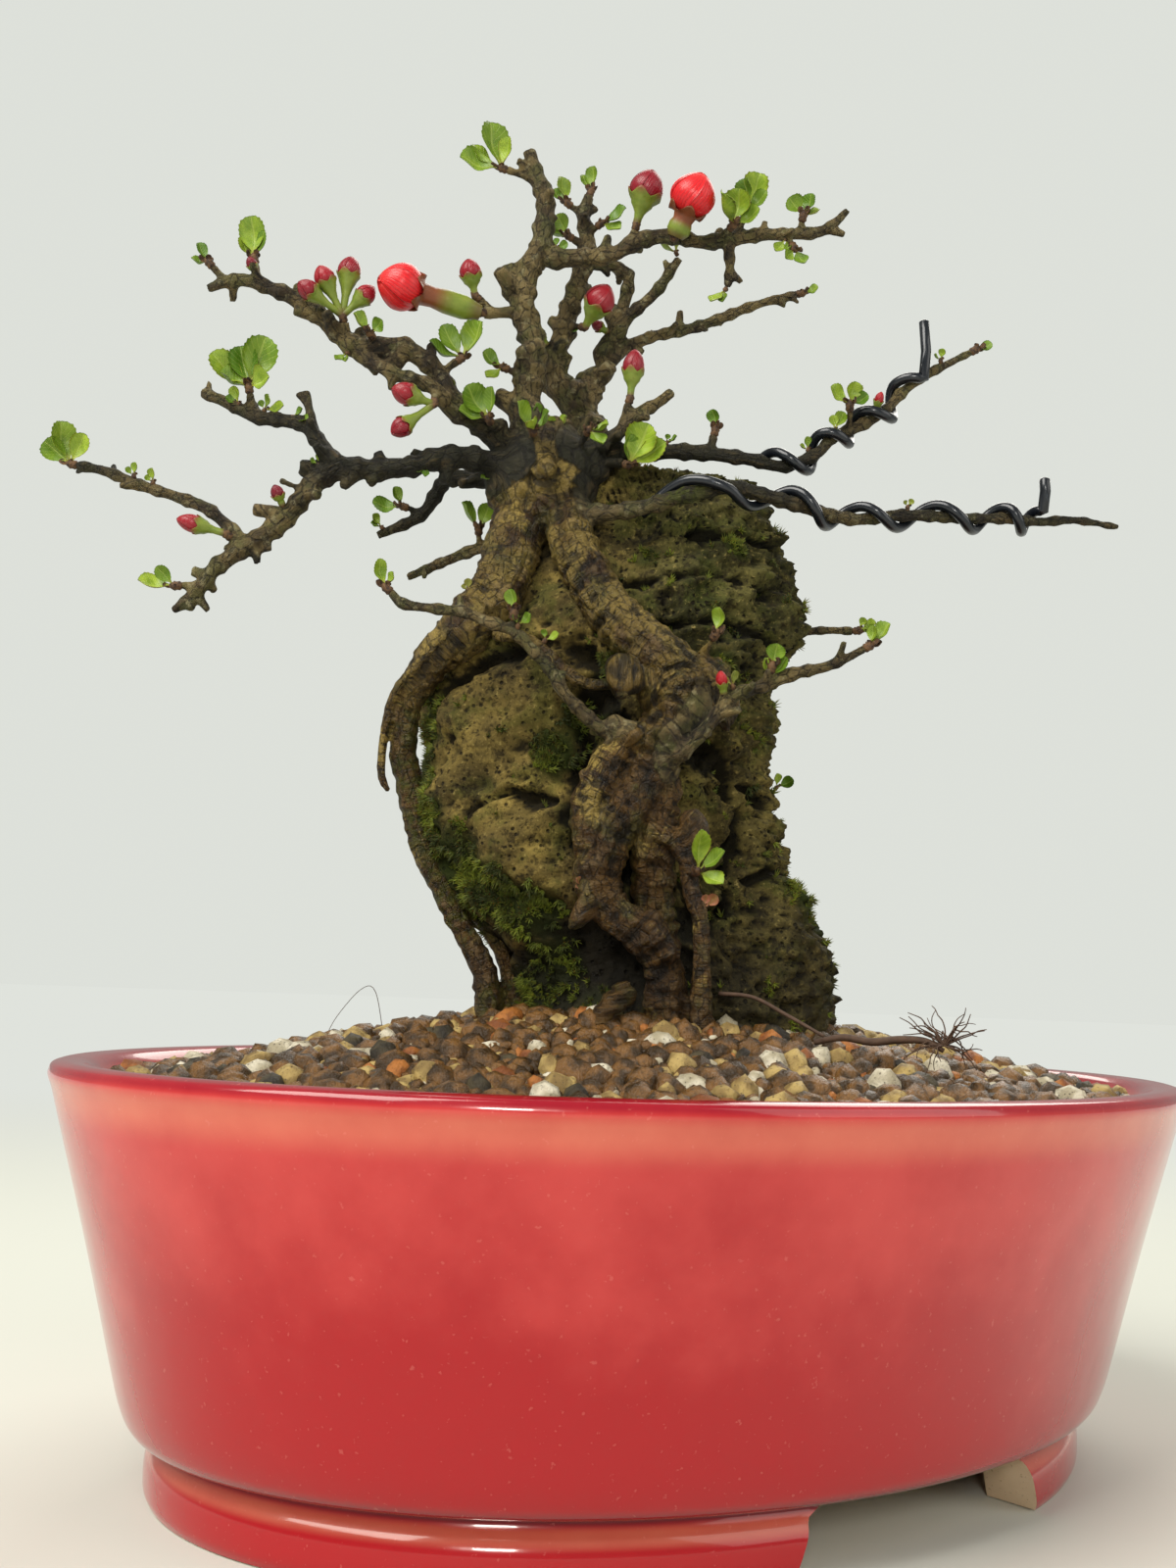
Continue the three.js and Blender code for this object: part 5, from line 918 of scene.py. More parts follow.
class Finish:
    """One material, built node by node on its main shader."""

    def __init__(self, name, **fixed):
        self.material = bpy.data.materials.new(name)
        self.material.use_nodes = True
        self.tree = self.material.node_tree
        self.shader = self.tree.nodes["Principled BSDF"]
        for key, value in fixed.items():
            self.shader.inputs[key.replace("_", " ")].default_value = value
        self.where = self.node("ShaderNodeTexCoord").outputs["Object"]

    def node(self, kind, settings=None, inputs=None):
        made = self.tree.nodes.new(kind)
        for key, value in (settings or {}).items():
            setattr(made, key, value)
        for key, value in (inputs or {}).items():
            self.feed(made.inputs[key], value)
        return made

    def feed(self, socket, value):
        source = value.socket if isinstance(value, Amount) else value
        if isinstance(source, bpy.types.NodeSocket):
            self.tree.links.new(source, socket)
        else:
            socket.default_value = source

    def scaled(self, vector, stretch):
        made = self.node("ShaderNodeVectorMath", {"operation": "MULTIPLY"}, {0: vector, 1: stretch})
        return made.outputs[0]

    def noise(self, size, detail=3.0, rough=0.5, where=None):
        """Soft noise about 0.5, with features about size mm across."""
        made = self.node("ShaderNodeTexNoise", None, {
            "Vector": where or self.where, "Scale": 1 / (size * MM), "Detail": detail, "Roughness": rough})
        return Amount(self, made.outputs[0])

    def cells(self, size, feature="F1", where=None):
        """Distance to the middle or the edge of cells about size mm across."""
        made = self.node("ShaderNodeTexVoronoi", {"feature": feature}, {
            "Vector": where or self.where, "Scale": 1 / (size * MM)})
        return Amount(self, made.outputs["Distance"])

    def on_blade(self):
        """How far across and along a leaf or petal a place is, from 0 to 1."""
        uv = self.node("ShaderNodeUVMap", {"uv_map": "blade"}).outputs[0]
        split = self.node("ShaderNodeSeparateXYZ", None, {0: uv})
        return Amount(self, split.outputs[0]), Amount(self, split.outputs[1])

    def value(self, name):
        """A value that the mesh carries at its points."""
        made = self.node("ShaderNodeAttribute", {"attribute_name": name})
        return Amount(self, made.outputs["Fac"])

    def height(self):
        """Height above the ground in mm."""
        made = self.node("ShaderNodeSeparateXYZ", None, {0: self.where})
        return Amount(self, made.outputs["Z"]) * (1 / MM)

    def mix(self, share, first, second):
        made = self.node("ShaderNodeMix", {"data_type": "RGBA", "clamp_factor": True}, {
            0: share, 6: first, 7: second})
        return made.outputs[2]

    def coats(self, body, coats):
        """Lays colours over a body one after the other, each with the share that shows."""
        for share, code in coats:
            body = self.mix(share, body, colour(code))
        return body

    def bump(self, amount, depth, strength=1.0, after=None):
        """Bump depth in mm."""
        inputs = {"Height": amount, "Distance": depth * MM, "Strength": strength}
        if after is not None:
            inputs["Normal"] = after
        return self.node("ShaderNodeBump", None, inputs).outputs[0]

    def done(self, base=None, rough=None, normal=None, **others):
        for key, value in {"Base Color": base, "Roughness": rough, "Normal": normal, **others}.items():
            if value is not None:
                self.feed(self.shader.inputs[key.replace("_", " ")], value)
        return self.material


def glaze_finish():
    """Crimson glaze, milky and coral up the wall, breaking to peach where it runs thin over edges."""
    finish = Finish("red_glaze", Coat_Weight=0.5, Coat_Roughness=0.04, Specular_IOR_Level=0.3)
    height = finish.height()
    cloud = finish.noise(26, 5, 0.6)
    patch = finish.noise(9, 4, 0.55)
    speck = finish.noise(0.9, 2, 0.6)
    milk = height.between(14, 54) * 0.55 + (cloud - 0.5) * 1.1 + (patch - 0.5) * 0.35
    body = finish.mix(milk.between(0.05, 0.75), colour("a40c16"), colour("c23a38"))
    shoulder = height.between(53, 57.5) * height.between(60.6, 58.4) * (0.45 + cloud * 0.9)
    thin = shoulder.most(height.between(5.2, 6.4) * height.between(8.3, 7.2) * 0.8)
    thin = thin.most(height.between(9.8, 8.9) * height.between(8.4, 8.9) * 0.2)
    body = finish.mix(thin.least(1) * (0.4 + patch * 0.5), body, colour("d2745a"))
    lip = height.between(59.8, 61) * (1.25 - cloud * 0.8)
    body = finish.mix(lip, body, colour("8c0a1f"))
    groove = height.between(7.6, 8.6) * height.between(11.5, 9.6)
    body = finish.mix(groove * 0.8, body, colour("5c0614"))
    freckle = speck.between(0.66, 0.74) * 0.18
    body = finish.mix(freckle, body, colour("e08a7e"))
    waves = finish.bump(finish.noise(14, 2, 0.5), 0.25)
    return finish.done(body, 0.13 + patch * 0.08, finish.bump(speck, 0.012, 0.5, waves))


def clay_finish():
    """Bare stoneware on the cut ends and undersides of the feet."""
    finish = Finish("bare_clay")
    grit = finish.noise(0.7, 4, 0.6)
    body = finish.mix(finish.noise(6, 3, 0.5), colour("e3cdb0"), colour("cdae8a"))
    body = finish.mix(grit.between(0.62, 0.72), body, colour("9c7a58"))
    return finish.done(body, 0.85, finish.bump(grit, 0.12))


def bark_finish():
    """Grey-brown bark with green tints on the crown, wet dark roots with ring wrinkles and tan flakes, and
    painted shade round the collar and in the creases.
    """
    finish = Finish("bark", Specular_IOR_Level=0.3)
    root = finish.value("root")
    ridge = finish.value("ridge")
    flake = finish.value("flake")
    grain = finish.node("ShaderNodeAttribute", {"attribute_name": "grain"}).outputs["Vector"]
    cloud = finish.noise(7, 4, 0.6)
    rings = finish.noise(1 / MM, 3, 0.6, where=finish.scaled(grain, (1.9, 0.24, 0.24)))
    strips = finish.noise(1 / MM, 4, 0.6, where=finish.scaled(grain, (0.22, 1.6, 1.6)))
    rough = finish.noise(0.6, 5, 0.75)
    plates = finish.cells(1 / MM, "DISTANCE_TO_EDGE", where=finish.scaled(grain, (0.5, 0.75, 0.75)))
    cracks = plates.between(0.13, 0.02) * rough.between(0.42, 0.56)
    crown = finish.mix(cloud.between(0.35, 0.65), colour("33291a"), colour("75653f"))
    crown = finish.coats(crown, [
        (finish.noise(4, 3, 0.6).between(0.46, 0.64) * 0.6, "50522a"),
        (finish.noise(1.6, 3, 0.6).between(0.56, 0.66) * 0.55, "8c8462"),
    ])
    # Painted shade round the collar, where the crown's bark meets the roots: mixed to a near-black green
    throat_shade = finish.height().between(153, 160) * finish.height().between(176, 166)
    crown = finish.mix((throat_shade * (0.65 + cloud * 0.6)).least(1), crown, colour("18180b"))
    wet = finish.mix(cloud.between(0.3, 0.7), colour("2f1e0b"), colour("5d431c"))
    wet = finish.mix(finish.noise(6, 3, 0.6).between(0.48, 0.66) * 0.7, wet, colour("4c4a22"))
    tan = finish.height().between(104, 142) * cloud.between(0.38, 0.56)
    wet = finish.mix(tan * 0.75, wet, colour("86733a"))
    peel = (flake + (strips - 0.5) * 1.4 + (rings - 0.5) * 1.3 + (rough - 0.5) * 1.2).between(0.42, 0.8)
    wet = finish.mix(peel * 0.8, wet, colour("9c8644"))
    body = finish.mix(root, crown, wet)
    body = finish.coats(body, [
        (strips.between(0.55, 0.75) * 0.35, "7a6740"),
        (rings.between(0.46, 0.34) * root * 0.6, "170f06"),
        (strips.between(0.38, 0.26) * 0.5, "140e07"),
        # Painted shade, near black, where the bark's relief sinks into fissures and creases; the raised
        # ridges are paler
        ((0.0 - ridge).between(0.2, 1.0) * 0.8, "0d0904"),
        (ridge.between(0.35, 1.1) * 0.3, "806a48"),
        (cracks * 0.7, "0c0805"),
        (rough.between(0.44, 0.3) * 0.6, "1a1209"),
    ])
    green = finish.value("moss") * finish.noise(1.6, 3, 0.6).between(0.4, 0.6)
    body = finish.mix(green, body, colour("4b5210"))
    gloss = 0.6 - root * 0.32 + rough * 0.25
    relief = finish.bump(rings * root * 1.5 + strips * (1.2 - root), 1.1, 0.85)
    relief = finish.bump(rough - cracks * 0.6, 0.55, 0.9, relief)
    return finish.done(body, gloss, relief)


def rock_finish():
    """Porous tan-grey stone, with painted shade that makes it greener and darker at the right, most high
    up, and near black in its hollows; wet and dark near the soil.
    """
    finish = Finish("rock", Specular_IOR_Level=0.18)
    height = finish.height()
    hollow_shade = finish.value("hollow_shade")
    moss = finish.value("moss")
    shade = finish.value("shade")
    cloud = finish.noise(11, 5, 0.6)
    grit = finish.noise(0.9, 5, 0.7)
    body = finish.mix(cloud.between(0.36, 0.64), colour("453b20"), colour("6d5d30"))
    body = finish.mix(finish.noise(5, 4, 0.6).between(0.52, 0.68) * 0.7, body, colour("8f7b40"))
    # Painted shade: the right side, most of all high up, is mixed to darker olive tones
    body = finish.mix(shade, body, finish.mix(cloud.between(0.4, 0.6), colour("23260f"), colour("4d4c28")))
    body = finish.coats(body, [
        (finish.noise(8, 3, 0.6).between(0.5, 0.64) * 0.45, "3d4516"),
        (grit.between(0.56, 0.7) * 0.5, "a89558"),
    ])
    pitted = finish.cells(1.15).between(0.34, 0.16) * finish.noise(3.4, 2, 0.5).between(0.44, 0.58)
    body = finish.coats(body, [
        (pitted * 0.85, "120e06"),
        (finish.noise(2.4, 5, 0.7).between(0.47, 0.36) * 0.75, "221b0d"),
        (grit.between(0.47, 0.36) * 0.7, "16110a"),
        # Painted shade: near black in the hollows, pits, cracks and recesses
        (hollow_shade.between(0.12, 0.7) * 0.93, "0b0904"),
        (moss.between(0.15, 0.7) * (0.45 + grit), "262e0b"),
    ])
    wet = height.between(96, 74) * (0.5 + cloud * 0.8)
    body = finish.mix(wet.least(1) * 0.65, body, colour("14110a"))
    relief = finish.bump(grit, 0.6, 0.95)
    relief = finish.bump(pitted * -1.0, 0.7, 0.9, relief)
    return finish.done(body, 0.92 - wet * 0.3, relief)


def grain_finish(name, first, second, speckle, gloss, fleck=None):
    """One kind of soil grain. Each grain has its own tone."""
    finish = Finish(name, Specular_IOR_Level=0.38)
    tone = finish.noise(2.4, 1, 0.4)
    grit = finish.noise(0.5, 4, 0.65)
    body = finish.mix(tone.between(0.35, 0.65), colour(first), colour(second))
    if fleck:
        body = finish.mix(finish.cells(0.75).between(0.24, 0.14) * 0.85, body, colour(fleck))
    body = finish.mix(grit.between(0.5, 0.7) * speckle, body, colour("1d1610"))
    return finish.done(body, gloss + grit * 0.35, finish.bump(grit, 0.45, 0.9))


def leaf_finish():
    """Fresh yellow-green blades: pale midrib and side veins, teeth tinged with red."""
    finish = Finish("leaf", Specular_IOR_Level=0.35)
    across, along = finish.on_blade()
    aside = (across - 0.5).size() * 2
    blush = finish.value("blush")
    tone = finish.value("tone")
    midrib = aside.between(0.12, 0.03)
    side_veins = (along * 46 - aside * 13).sine().between(0.72, 0.98) * aside.between(0.02, 0.2)
    veins = midrib.most(side_veins * 0.55)
    blade = finish.mix(tone, colour("4d7018"), colour("92a832"))
    blade = finish.coats(blade, [
        (finish.noise(1.9, 3, 0.5).between(0.4, 0.65) * 0.45, "3f6412"),
        (veins * 0.32, "b5c262"),
    ])
    base = along.between(0.3, 0.02)
    blade = finish.mix(base * 0.5, blade, colour("a79c45"))
    edge = aside.between(0.9, 1.0) * tone.between(0.55, 0.95)
    blade = finish.coats(blade, [
        (edge * 0.45, "7c4420"),
        (blush * (0.6 + aside * 0.3), "b4665a"),
    ])
    relief = finish.bump(veins * -1.0 + finish.noise(0.9, 2, 0.5) * 0.4, 0.09, 0.7)
    return finish.done(blade, 0.4, relief)


def petal_finish():
    """Red petals, brighter at their edges, with fine lengthwise veins."""
    finish = Finish("petal", Specular_IOR_Level=0.4)
    across, along = finish.on_blade()
    tone = finish.value("tone")
    body = finish.mix(tone, colour("6f1222"), colour("cf1c22"))
    streak = (across * 70 + finish.noise(1.1, 2, 0.5) * 4).sine().between(0.2, 0.9)
    body = finish.coats(body, [
        (streak * 0.25, "640c1c"),
        (along.between(0.72, 1.0) * tone * 0.35, "dd4038"),
        (along.between(0.25, 0.0) * 0.4, "a34a3c"),
    ])
    return finish.done(body, 0.33, finish.bump(streak, 0.05, 0.6))


def calyx_finish():
    """Green cup with red-brown lobes."""
    finish = Finish("calyx", Specular_IOR_Level=0.35)
    lobe = finish.value("lobe")
    body = finish.mix(finish.noise(1.8, 3, 0.5), colour("4c651a"), colour("87913a"))
    body = finish.coats(body, [
        (lobe.between(0.15, 0.85) * 0.85, "762a24"),
        (finish.value("stalk").between(0.35, 0.9) * 0.8, "5a4426"),
        (finish.noise(0.5, 2, 0.6).between(0.6, 0.75) * 0.3, "5c3a22"),
    ])
    return finish.done(body, 0.42, finish.bump(finish.noise(0.6, 2, 0.5), 0.08, 0.6))


def scale_finish():
    """Brown scales at the foot of a tuft."""
    finish = Finish("bud_scale")
    body = finish.mix(finish.noise(0.8, 3, 0.6).between(0.35, 0.65), colour("2a180d"), colour("614425"))
    return finish.done(body, 0.75, finish.bump(finish.noise(0.4, 3, 0.6), 0.2, 0.9))


def moss_finish():
    """Moss, dark at its foot and yellow-green at its tips."""
    finish = Finish("moss", Subsurface_Weight=0.05, Subsurface_Scale=0.0008)
    body = finish.mix(finish.noise(5, 3, 0.6).between(0.35, 0.65), colour("31390a"), colour("6f7a1a"))
    body = finish.mix(finish.noise(0.9, 2, 0.5).between(0.45, 0.7) * 0.6, body, colour("1b2307"))
    return finish.done(body, 0.75)


def wire_finish():
    """Glossy blue-black coated wire with faint scuffs."""
    finish = Finish("training_wire", Metallic=0.35, Coat_Weight=0.4, Coat_Roughness=0.12)
    scuff = finish.noise(0.6, 4, 0.6, finish.scaled(finish.where, (1, 1, 0.4)))
    body = finish.mix(scuff.between(0.6, 0.72) * 0.5, colour("10151d"), colour("3b434d"))
    return finish.done(body, 0.24 + scuff * 0.14, finish.bump(scuff, 0.02, 0.5))


def screen_finish():
    """Matte black plastic net."""
    finish = Finish("drain_screen")
    dust = finish.noise(2, 4, 0.6)
    body = finish.mix(dust.between(0.5, 0.7) * 0.5, colour("17181b"), colour("3a3029"))
    return finish.done(body, 0.6, finish.bump(dust, 0.05, 0.5))


def clip_finish():
    """Dull bent wire with a little rust."""
    finish = Finish("drain_clip", Metallic=0.9)
    rust = finish.noise(1.5, 4, 0.65)
    body = finish.mix(rust.between(0.55, 0.7), colour("8d8f93"), colour("6f4a30"))
    return finish.done(body, 0.4 + rust * 0.2, finish.bump(rust, 0.03, 0.5))


def rootlet_finish():
    """Dry dark rootlets."""
    finish = Finish("rootlet")
    body = finish.mix(finish.noise(1.2, 3, 0.6), colour("2a1c14"), colour("5d4330"))
    return finish.done(body, 0.8, finish.bump(finish.noise(0.5, 2, 0.5), 0.08, 0.6))


BARE_CLAY = clay_finish()
GLAZE = glaze_finish()
BARK = bark_finish()
STONE = rock_finish()
LEAF = leaf_finish()
PETAL = petal_finish()
CALYX = calyx_finish()
SCALE = scale_finish()
MOSS = moss_finish()
WIRE = wire_finish()
SCREEN = screen_finish()
CLIP = clip_finish()
ROOTLET = rootlet_finish()
EARTH = grain_finish("wet_earth", "2a1c0f", "453019", 0.4, 0.55)


# Wood

FOLD_CENTRES = [(place(-7, -27.5, 124.4), 3.6), (place(-20, -15.5, 162), 3), (place(3, -26, 121), 5.2)]


def knobbly(route, seed):
    """Swells a route's radius at its nodes, where leaves once grew, and says where those are."""
    draw = random.Random(seed)
    travelled = lengths_along(route)
    radius = route[:, 3].copy()
    nodes = []
    at = NODE_SPACING * draw.uniform(0.5, 1)
    while at < travelled[-1] - 1:
        radius *= 1 + NODE_SWELL * np.exp(-((travelled - at) / NODE_LENGTH) ** 2)
        nodes.append(int(np.searchsorted(travelled, at)))
        at += NODE_SPACING * draw.uniform(0.55, 1.35)
    return radius, nodes


def stub(route, node, radius, draw):
    """A blunt spur that stands out of a twig at a node."""
    along, side, up = frames_along(route[:, :3])
    angle = draw.uniform(0, 2 * math.pi)
    out = side[node] * math.cos(angle) + up[node] * math.sin(angle)
    out = unit(out + along[node] * draw.uniform(0.2, 0.7))
    reach = radius[node] + draw.uniform(0.7, STUB_LENGTH)
    bend = out + np.array([0, 0, 0.25])
    middle = route[node, :3] + out * reach * 0.6
    path = np.array([route[node, :3], middle, middle + unit(bend) * reach * 0.45])
    thick = radius[node]
    return tube(path, [thick * 0.8, thick * 0.55, thick * 0.46], 7)


def limb_routes():
    """Every limb as a smooth route with its radius, and whether it is a root."""
    routes = []
    for group, spacing in ((ROOTS, 0.9), (STEMS, 0.7), (BRANCHES, 0.6), (WIRED, 0.6)):
        for name, points in group.items():
            routes.append((name, smooth_route(points, spacing), group is ROOTS))
    return routes


def wood_parts(routes):
    """Closed tubes for every limb, stub, spur, cut twig and knot. They overlap, and are joined later."""
    parts = []
    for number, (name, route, is_root) in enumerate(routes):
        draw = random.Random(number)
        radius = route[:, 3].copy()
        nodes = []
        if not is_root:
            radius, nodes = knobbly(route, number)
        base = np.exp(-np.linspace(0, 1, len(radius)) * len(radius) / 5)
        radius *= 1 + 0.3 * base * (not is_root)
        parts.append(tube(route[:, :3], radius, 14 if is_root else 10))
        if name in WIRED:
            continue
        parts += [stub(route, node, radius, draw) for node in nodes if draw.random() < STUB_SHARE]
    for start, end, radius in SPURS.values():
        path = np.array([place(*start), place(*end)])
        path = np.vstack([path[0], path.mean(axis=0), path[1]])
        parts.append(tube(path, [radius * 1.25, radius * 0.9, radius * 1.05], 8))
    for points in CUT_TWIGS:
        route = smooth_route(points, 0.6)
        parts.append(tube(route[:, :3], route[:, 3], 10))
    for points in KNOTS:
        route = smooth_route(points, 0.8)
        route[[0, -1], 3] *= 0.6
        parts.append(tube(route[:, :3], route[:, 3], 12))
    return parts


def limb_tree(routes):
    """Finds the limb that a point of the bark belongs to."""
    rows = []
    for number, (name, route, is_root) in enumerate(routes):
        along, side, up = frames_along(route[:, :3])
        travelled = lengths_along(route) + LIMB_SHIFT * number
        golden = GOLDEN_LIMBS.get(name, 0)
        for i in range(len(route)):
            way = (along[i], side[i], up[i])
            rows.append((route[i, :3], route[i, 3], travelled[i], *way, float(is_root), golden))
    return point_tree([row[0] for row in rows]), rows


def fold_relief(point):
    """Creases and swollen rings of bark round the knots where roots have joined."""
    relief = 0
    for centre, reach in FOLD_CENTRES:
        gap = math.dist(point, centre)
        if gap < 3.2 * reach:
            crease = math.exp(-((gap - reach) / 0.5) ** 2)
            ring = 0.5 * math.sin(gap * 2.6 + 2 * noise.noise(Vector(point) * 0.3))
            relief += ring * math.exp(-gap / (2 * reach)) - 1.3 * crease
    return relief


def bark_values(points, tree, rows):
    """For each point of the bark: relief, root share, flakes, moss, girth and place on its limb."""
    count = len(points)
    relief, root, flake, moss, girth = (np.zeros(count) for _ in range(5))
    grain = np.zeros((count, 3))
    for i, point in enumerate(points):
        found = tree.find_n(point, 4)
        _, index, _ = min(found, key=lambda hit: hit[2] - rows[hit[1]][1])
        centre, radius, travelled, along, side, up, is_root, golden = rows[index]
        offset = point - centre
        length = travelled + offset.dot(along)
        aside, rise = offset.dot(side), offset.dot(up)
        round_off = max(math.hypot(aside, rise), 0.05)
        round_x, round_y = aside / round_off, rise / round_off
        grain[i] = (length, round_x * radius, round_y * radius)
        coarse = 1.2 + radius * 0.55
        fissure = noise.noise(Vector((length * 0.13, round_x * coarse, round_y * coarse)))
        wrinkle = noise.noise(Vector((length * 0.75, round_x * 0.9, round_y * 0.9)))
        lump = noise.fractal(Vector(point) * 0.24, 0.8, 2.1, 3) + 0.5 * noise.noise(Vector(point) * 0.8)
        relief[i] = 0.55 * fissure + (0.75 * wrinkle + fold_relief(point)) * is_root
        relief[i] += 0.2 * wrinkle + 0.6 * lump
        root[i] = is_root * clamp((CROWN_LEVEL - point[2]) / CROWN_FADE)
        flake[i] = noise.noise(Vector(point) * 0.2 + Vector((9, 3, 1))) + golden
        moss[i] = moss_share(*front_view(point)) * 0.8
        girth[i] = radius
    return relief, root, flake, moss, girth, grain


def build_wood():
    """Joins the limbs to one skin, presses the bark's relief into it and thins it to its triangles."""
    routes = limb_routes()
    points, faces = gathered(wood_parts(routes))
    raw = mesh_of("wood_raw", points, faces, 1)
    solid = modified(raw, ("REMESH", {"mode": "VOXEL", "voxel_size": WOOD_VOXEL}),
                     ("SMOOTH", {"factor": 0.5, "iterations": 2}))
    tree, rows = limb_tree(routes)
    places = points_of(solid)
    relief, _, _, _, girth, _ = bark_values(places, tree, rows)
    depth = np.clip(girth * 0.2, 0.14, 0.75)
    set_points(solid, places + points_of(solid, "normal") * (relief * depth)[:, None])
    count = sum(len(face.vertices) - 2 for face in solid.polygons)
    thinned = modified(solid, ("DECIMATE", {"ratio": min(1, WOOD_TRIANGLES / count)}))
    places = points_of(thinned)
    relief, root, flake, moss, _, grain = bark_values(places, tree, rows)
    for name, values in (("ridge", relief * 1.4), ("root", root), ("flake", flake), ("moss", moss)):
        add_values(thinned, name, values)
    layer = thinned.attributes.new("grain", "FLOAT_VECTOR", "POINT")
    layer.data.foreach_set("vector", grain.astype(np.float32).ravel())
    set_points(thinned, places * MM)
    thinned.name = "tree_bark"
    thinned.materials.clear()
    thinned.materials.append(BARK)
    thinned.shade_smooth()
    add_piece("tree_bark", thinned, "bark", "tree")


# Rock

def moss_share(across, away, up):
    """How thickly moss grows at a place: round the listed spots, from 0 to 1."""
    best = 0
    for spot_across, spot_away, spot_up, reach in MOSS_SPOTS:
        gap = math.dist((across, away, up), (spot_across, spot_away, spot_up))
        best = max(best, 1 - gap / reach)
    return max(best, 0) ** 0.6


def level_values(height):
    """Left, right, front and back of the rock at a height."""
    levels = np.array(ROCK_LEVELS, float)
    near = [height - 2, height, height + 2]
    return [float(np.mean(np.interp(near, levels[:, 0], levels[:, i]))) for i in range(1, 5)]


def rock_point(up, angle):
    """The stone's rough outline at a height, before its fine relief."""
    left, right, front, back = level_values(up)
    buried = clamp((up - ROCK_SOIL_LEVEL) / 12)
    cos, sin = math.cos(angle), math.sin(angle)
    square = (abs(cos) ** ROCK_SQUARENESS + abs(sin) ** ROCK_SQUARENESS) ** (-1 / ROCK_SQUARENESS)
    broad = math.sin(3 * angle + up * 0.09) + math.sin(5 * angle - up * 0.17 + 1.3)
    fine = math.sin(9 * angle + up * 0.41) + math.sin(13 * angle - up * 0.63 + 2)
    relief = 1 + buried * ROCK_RELIEF * (0.45 * broad + 0.35 * fine - 0.5)
    across = (left + right) / 2 + (right - left) / 2 * square * relief * cos
    away = (front + back) / 2 + (back - front) / 2 * square * relief * sin
    return across, away, up


def crack_depth(seen):
    """How deep the stone's cracks are at a point that is seen from the front, from 0 to 1."""
    deepest = 0
    if seen[1] > FRONT_SIDE:
        return 0
    wander = 1.6 * noise.noise(Vector(seen) * 0.25)
    for width, route in ROCK_CRACKS:
        for (x1, z1), (x2, z2) in zip(route, route[1:]):
            run, rise = x2 - x1, z2 - z1
            share = ((seen[0] - x1) * run + (seen[2] - z1) * rise) / (run * run + rise * rise)
            share = clamp(share)
            gap = math.hypot(seen[0] - x1 - share * run, seen[2] - z1 - share * rise) + wander
            deepest = max(deepest, math.exp(-(max(gap, 0) / width) ** 2))
    return deepest


def stone_relief(point):
    """How far the stone stands out at a point, in mm, and how much painted shade it gets in its hollows,
    pits, cracks and recesses, from 0 to 1.
    """
    place_at = Vector(point)
    seen = front_view(point)
    coarse = clamp((seen[0] + 10) / 20)
    bulge = noise.noise(place_at * 0.075)
    lump = noise.fractal(place_at * 0.2, 0.8, 2.1, 4)
    layered = noise.fractal(Vector((point[0] * 0.28, point[1] * 0.28, point[2] * 0.62)), 0.7, 2.2, 4)
    pit_at = Vector((point[0] * 0.36, point[1] * 0.36, point[2] * (0.5 + 0.25 * coarse)))
    pit_gap = noise.voronoi(pit_at)[0][0]
    open_here = noise.noise(place_at * 0.16 + Vector((4, 7, 2)))
    pit = max(0.0, 0.45 - pit_gap) / 0.45 * clamp(open_here * 2.2 + 0.45 + 0.35 * coarse)
    fine_gap = noise.voronoi(place_at * 0.85)[0][0]
    fine = max(0.0, 0.4 - fine_gap) / 0.4 * clamp(0.5 - open_here * 2)
    height = 1.5 * bulge + (0.8 + 0.7 * coarse) * lump + (0.5 + 0.9 * coarse) * layered
    height -= 1.6 * pit + 0.6 * fine
    for centre, reach, swelling in ROCK_SWELLINGS:
        gap = math.dist(seen, centre)
        if gap < 2.5 * reach:
            height += swelling * math.exp(-(gap / reach) ** 4)
    crack = crack_depth(seen)
    recess = 0
    if seen[1] < FRONT_SIDE:
        for across, up, reach in ROCK_RECESSES:
            recess = max(recess, math.exp(-(math.hypot(seen[0] - across, seen[2] - up) / reach) ** 4))
    # Painted shade in the stone's low places, pits, cracks and recesses, from 0 to 1
    hollow_shade = -0.42 * lump - 0.5 * layered + 0.95 * pit + 0.6 * fine + 1.1 * crack + 1.2 * recess
    return height - CRACK_DEPTH * crack - RECESS_DEPTH * recess, clamp(hollow_shade)


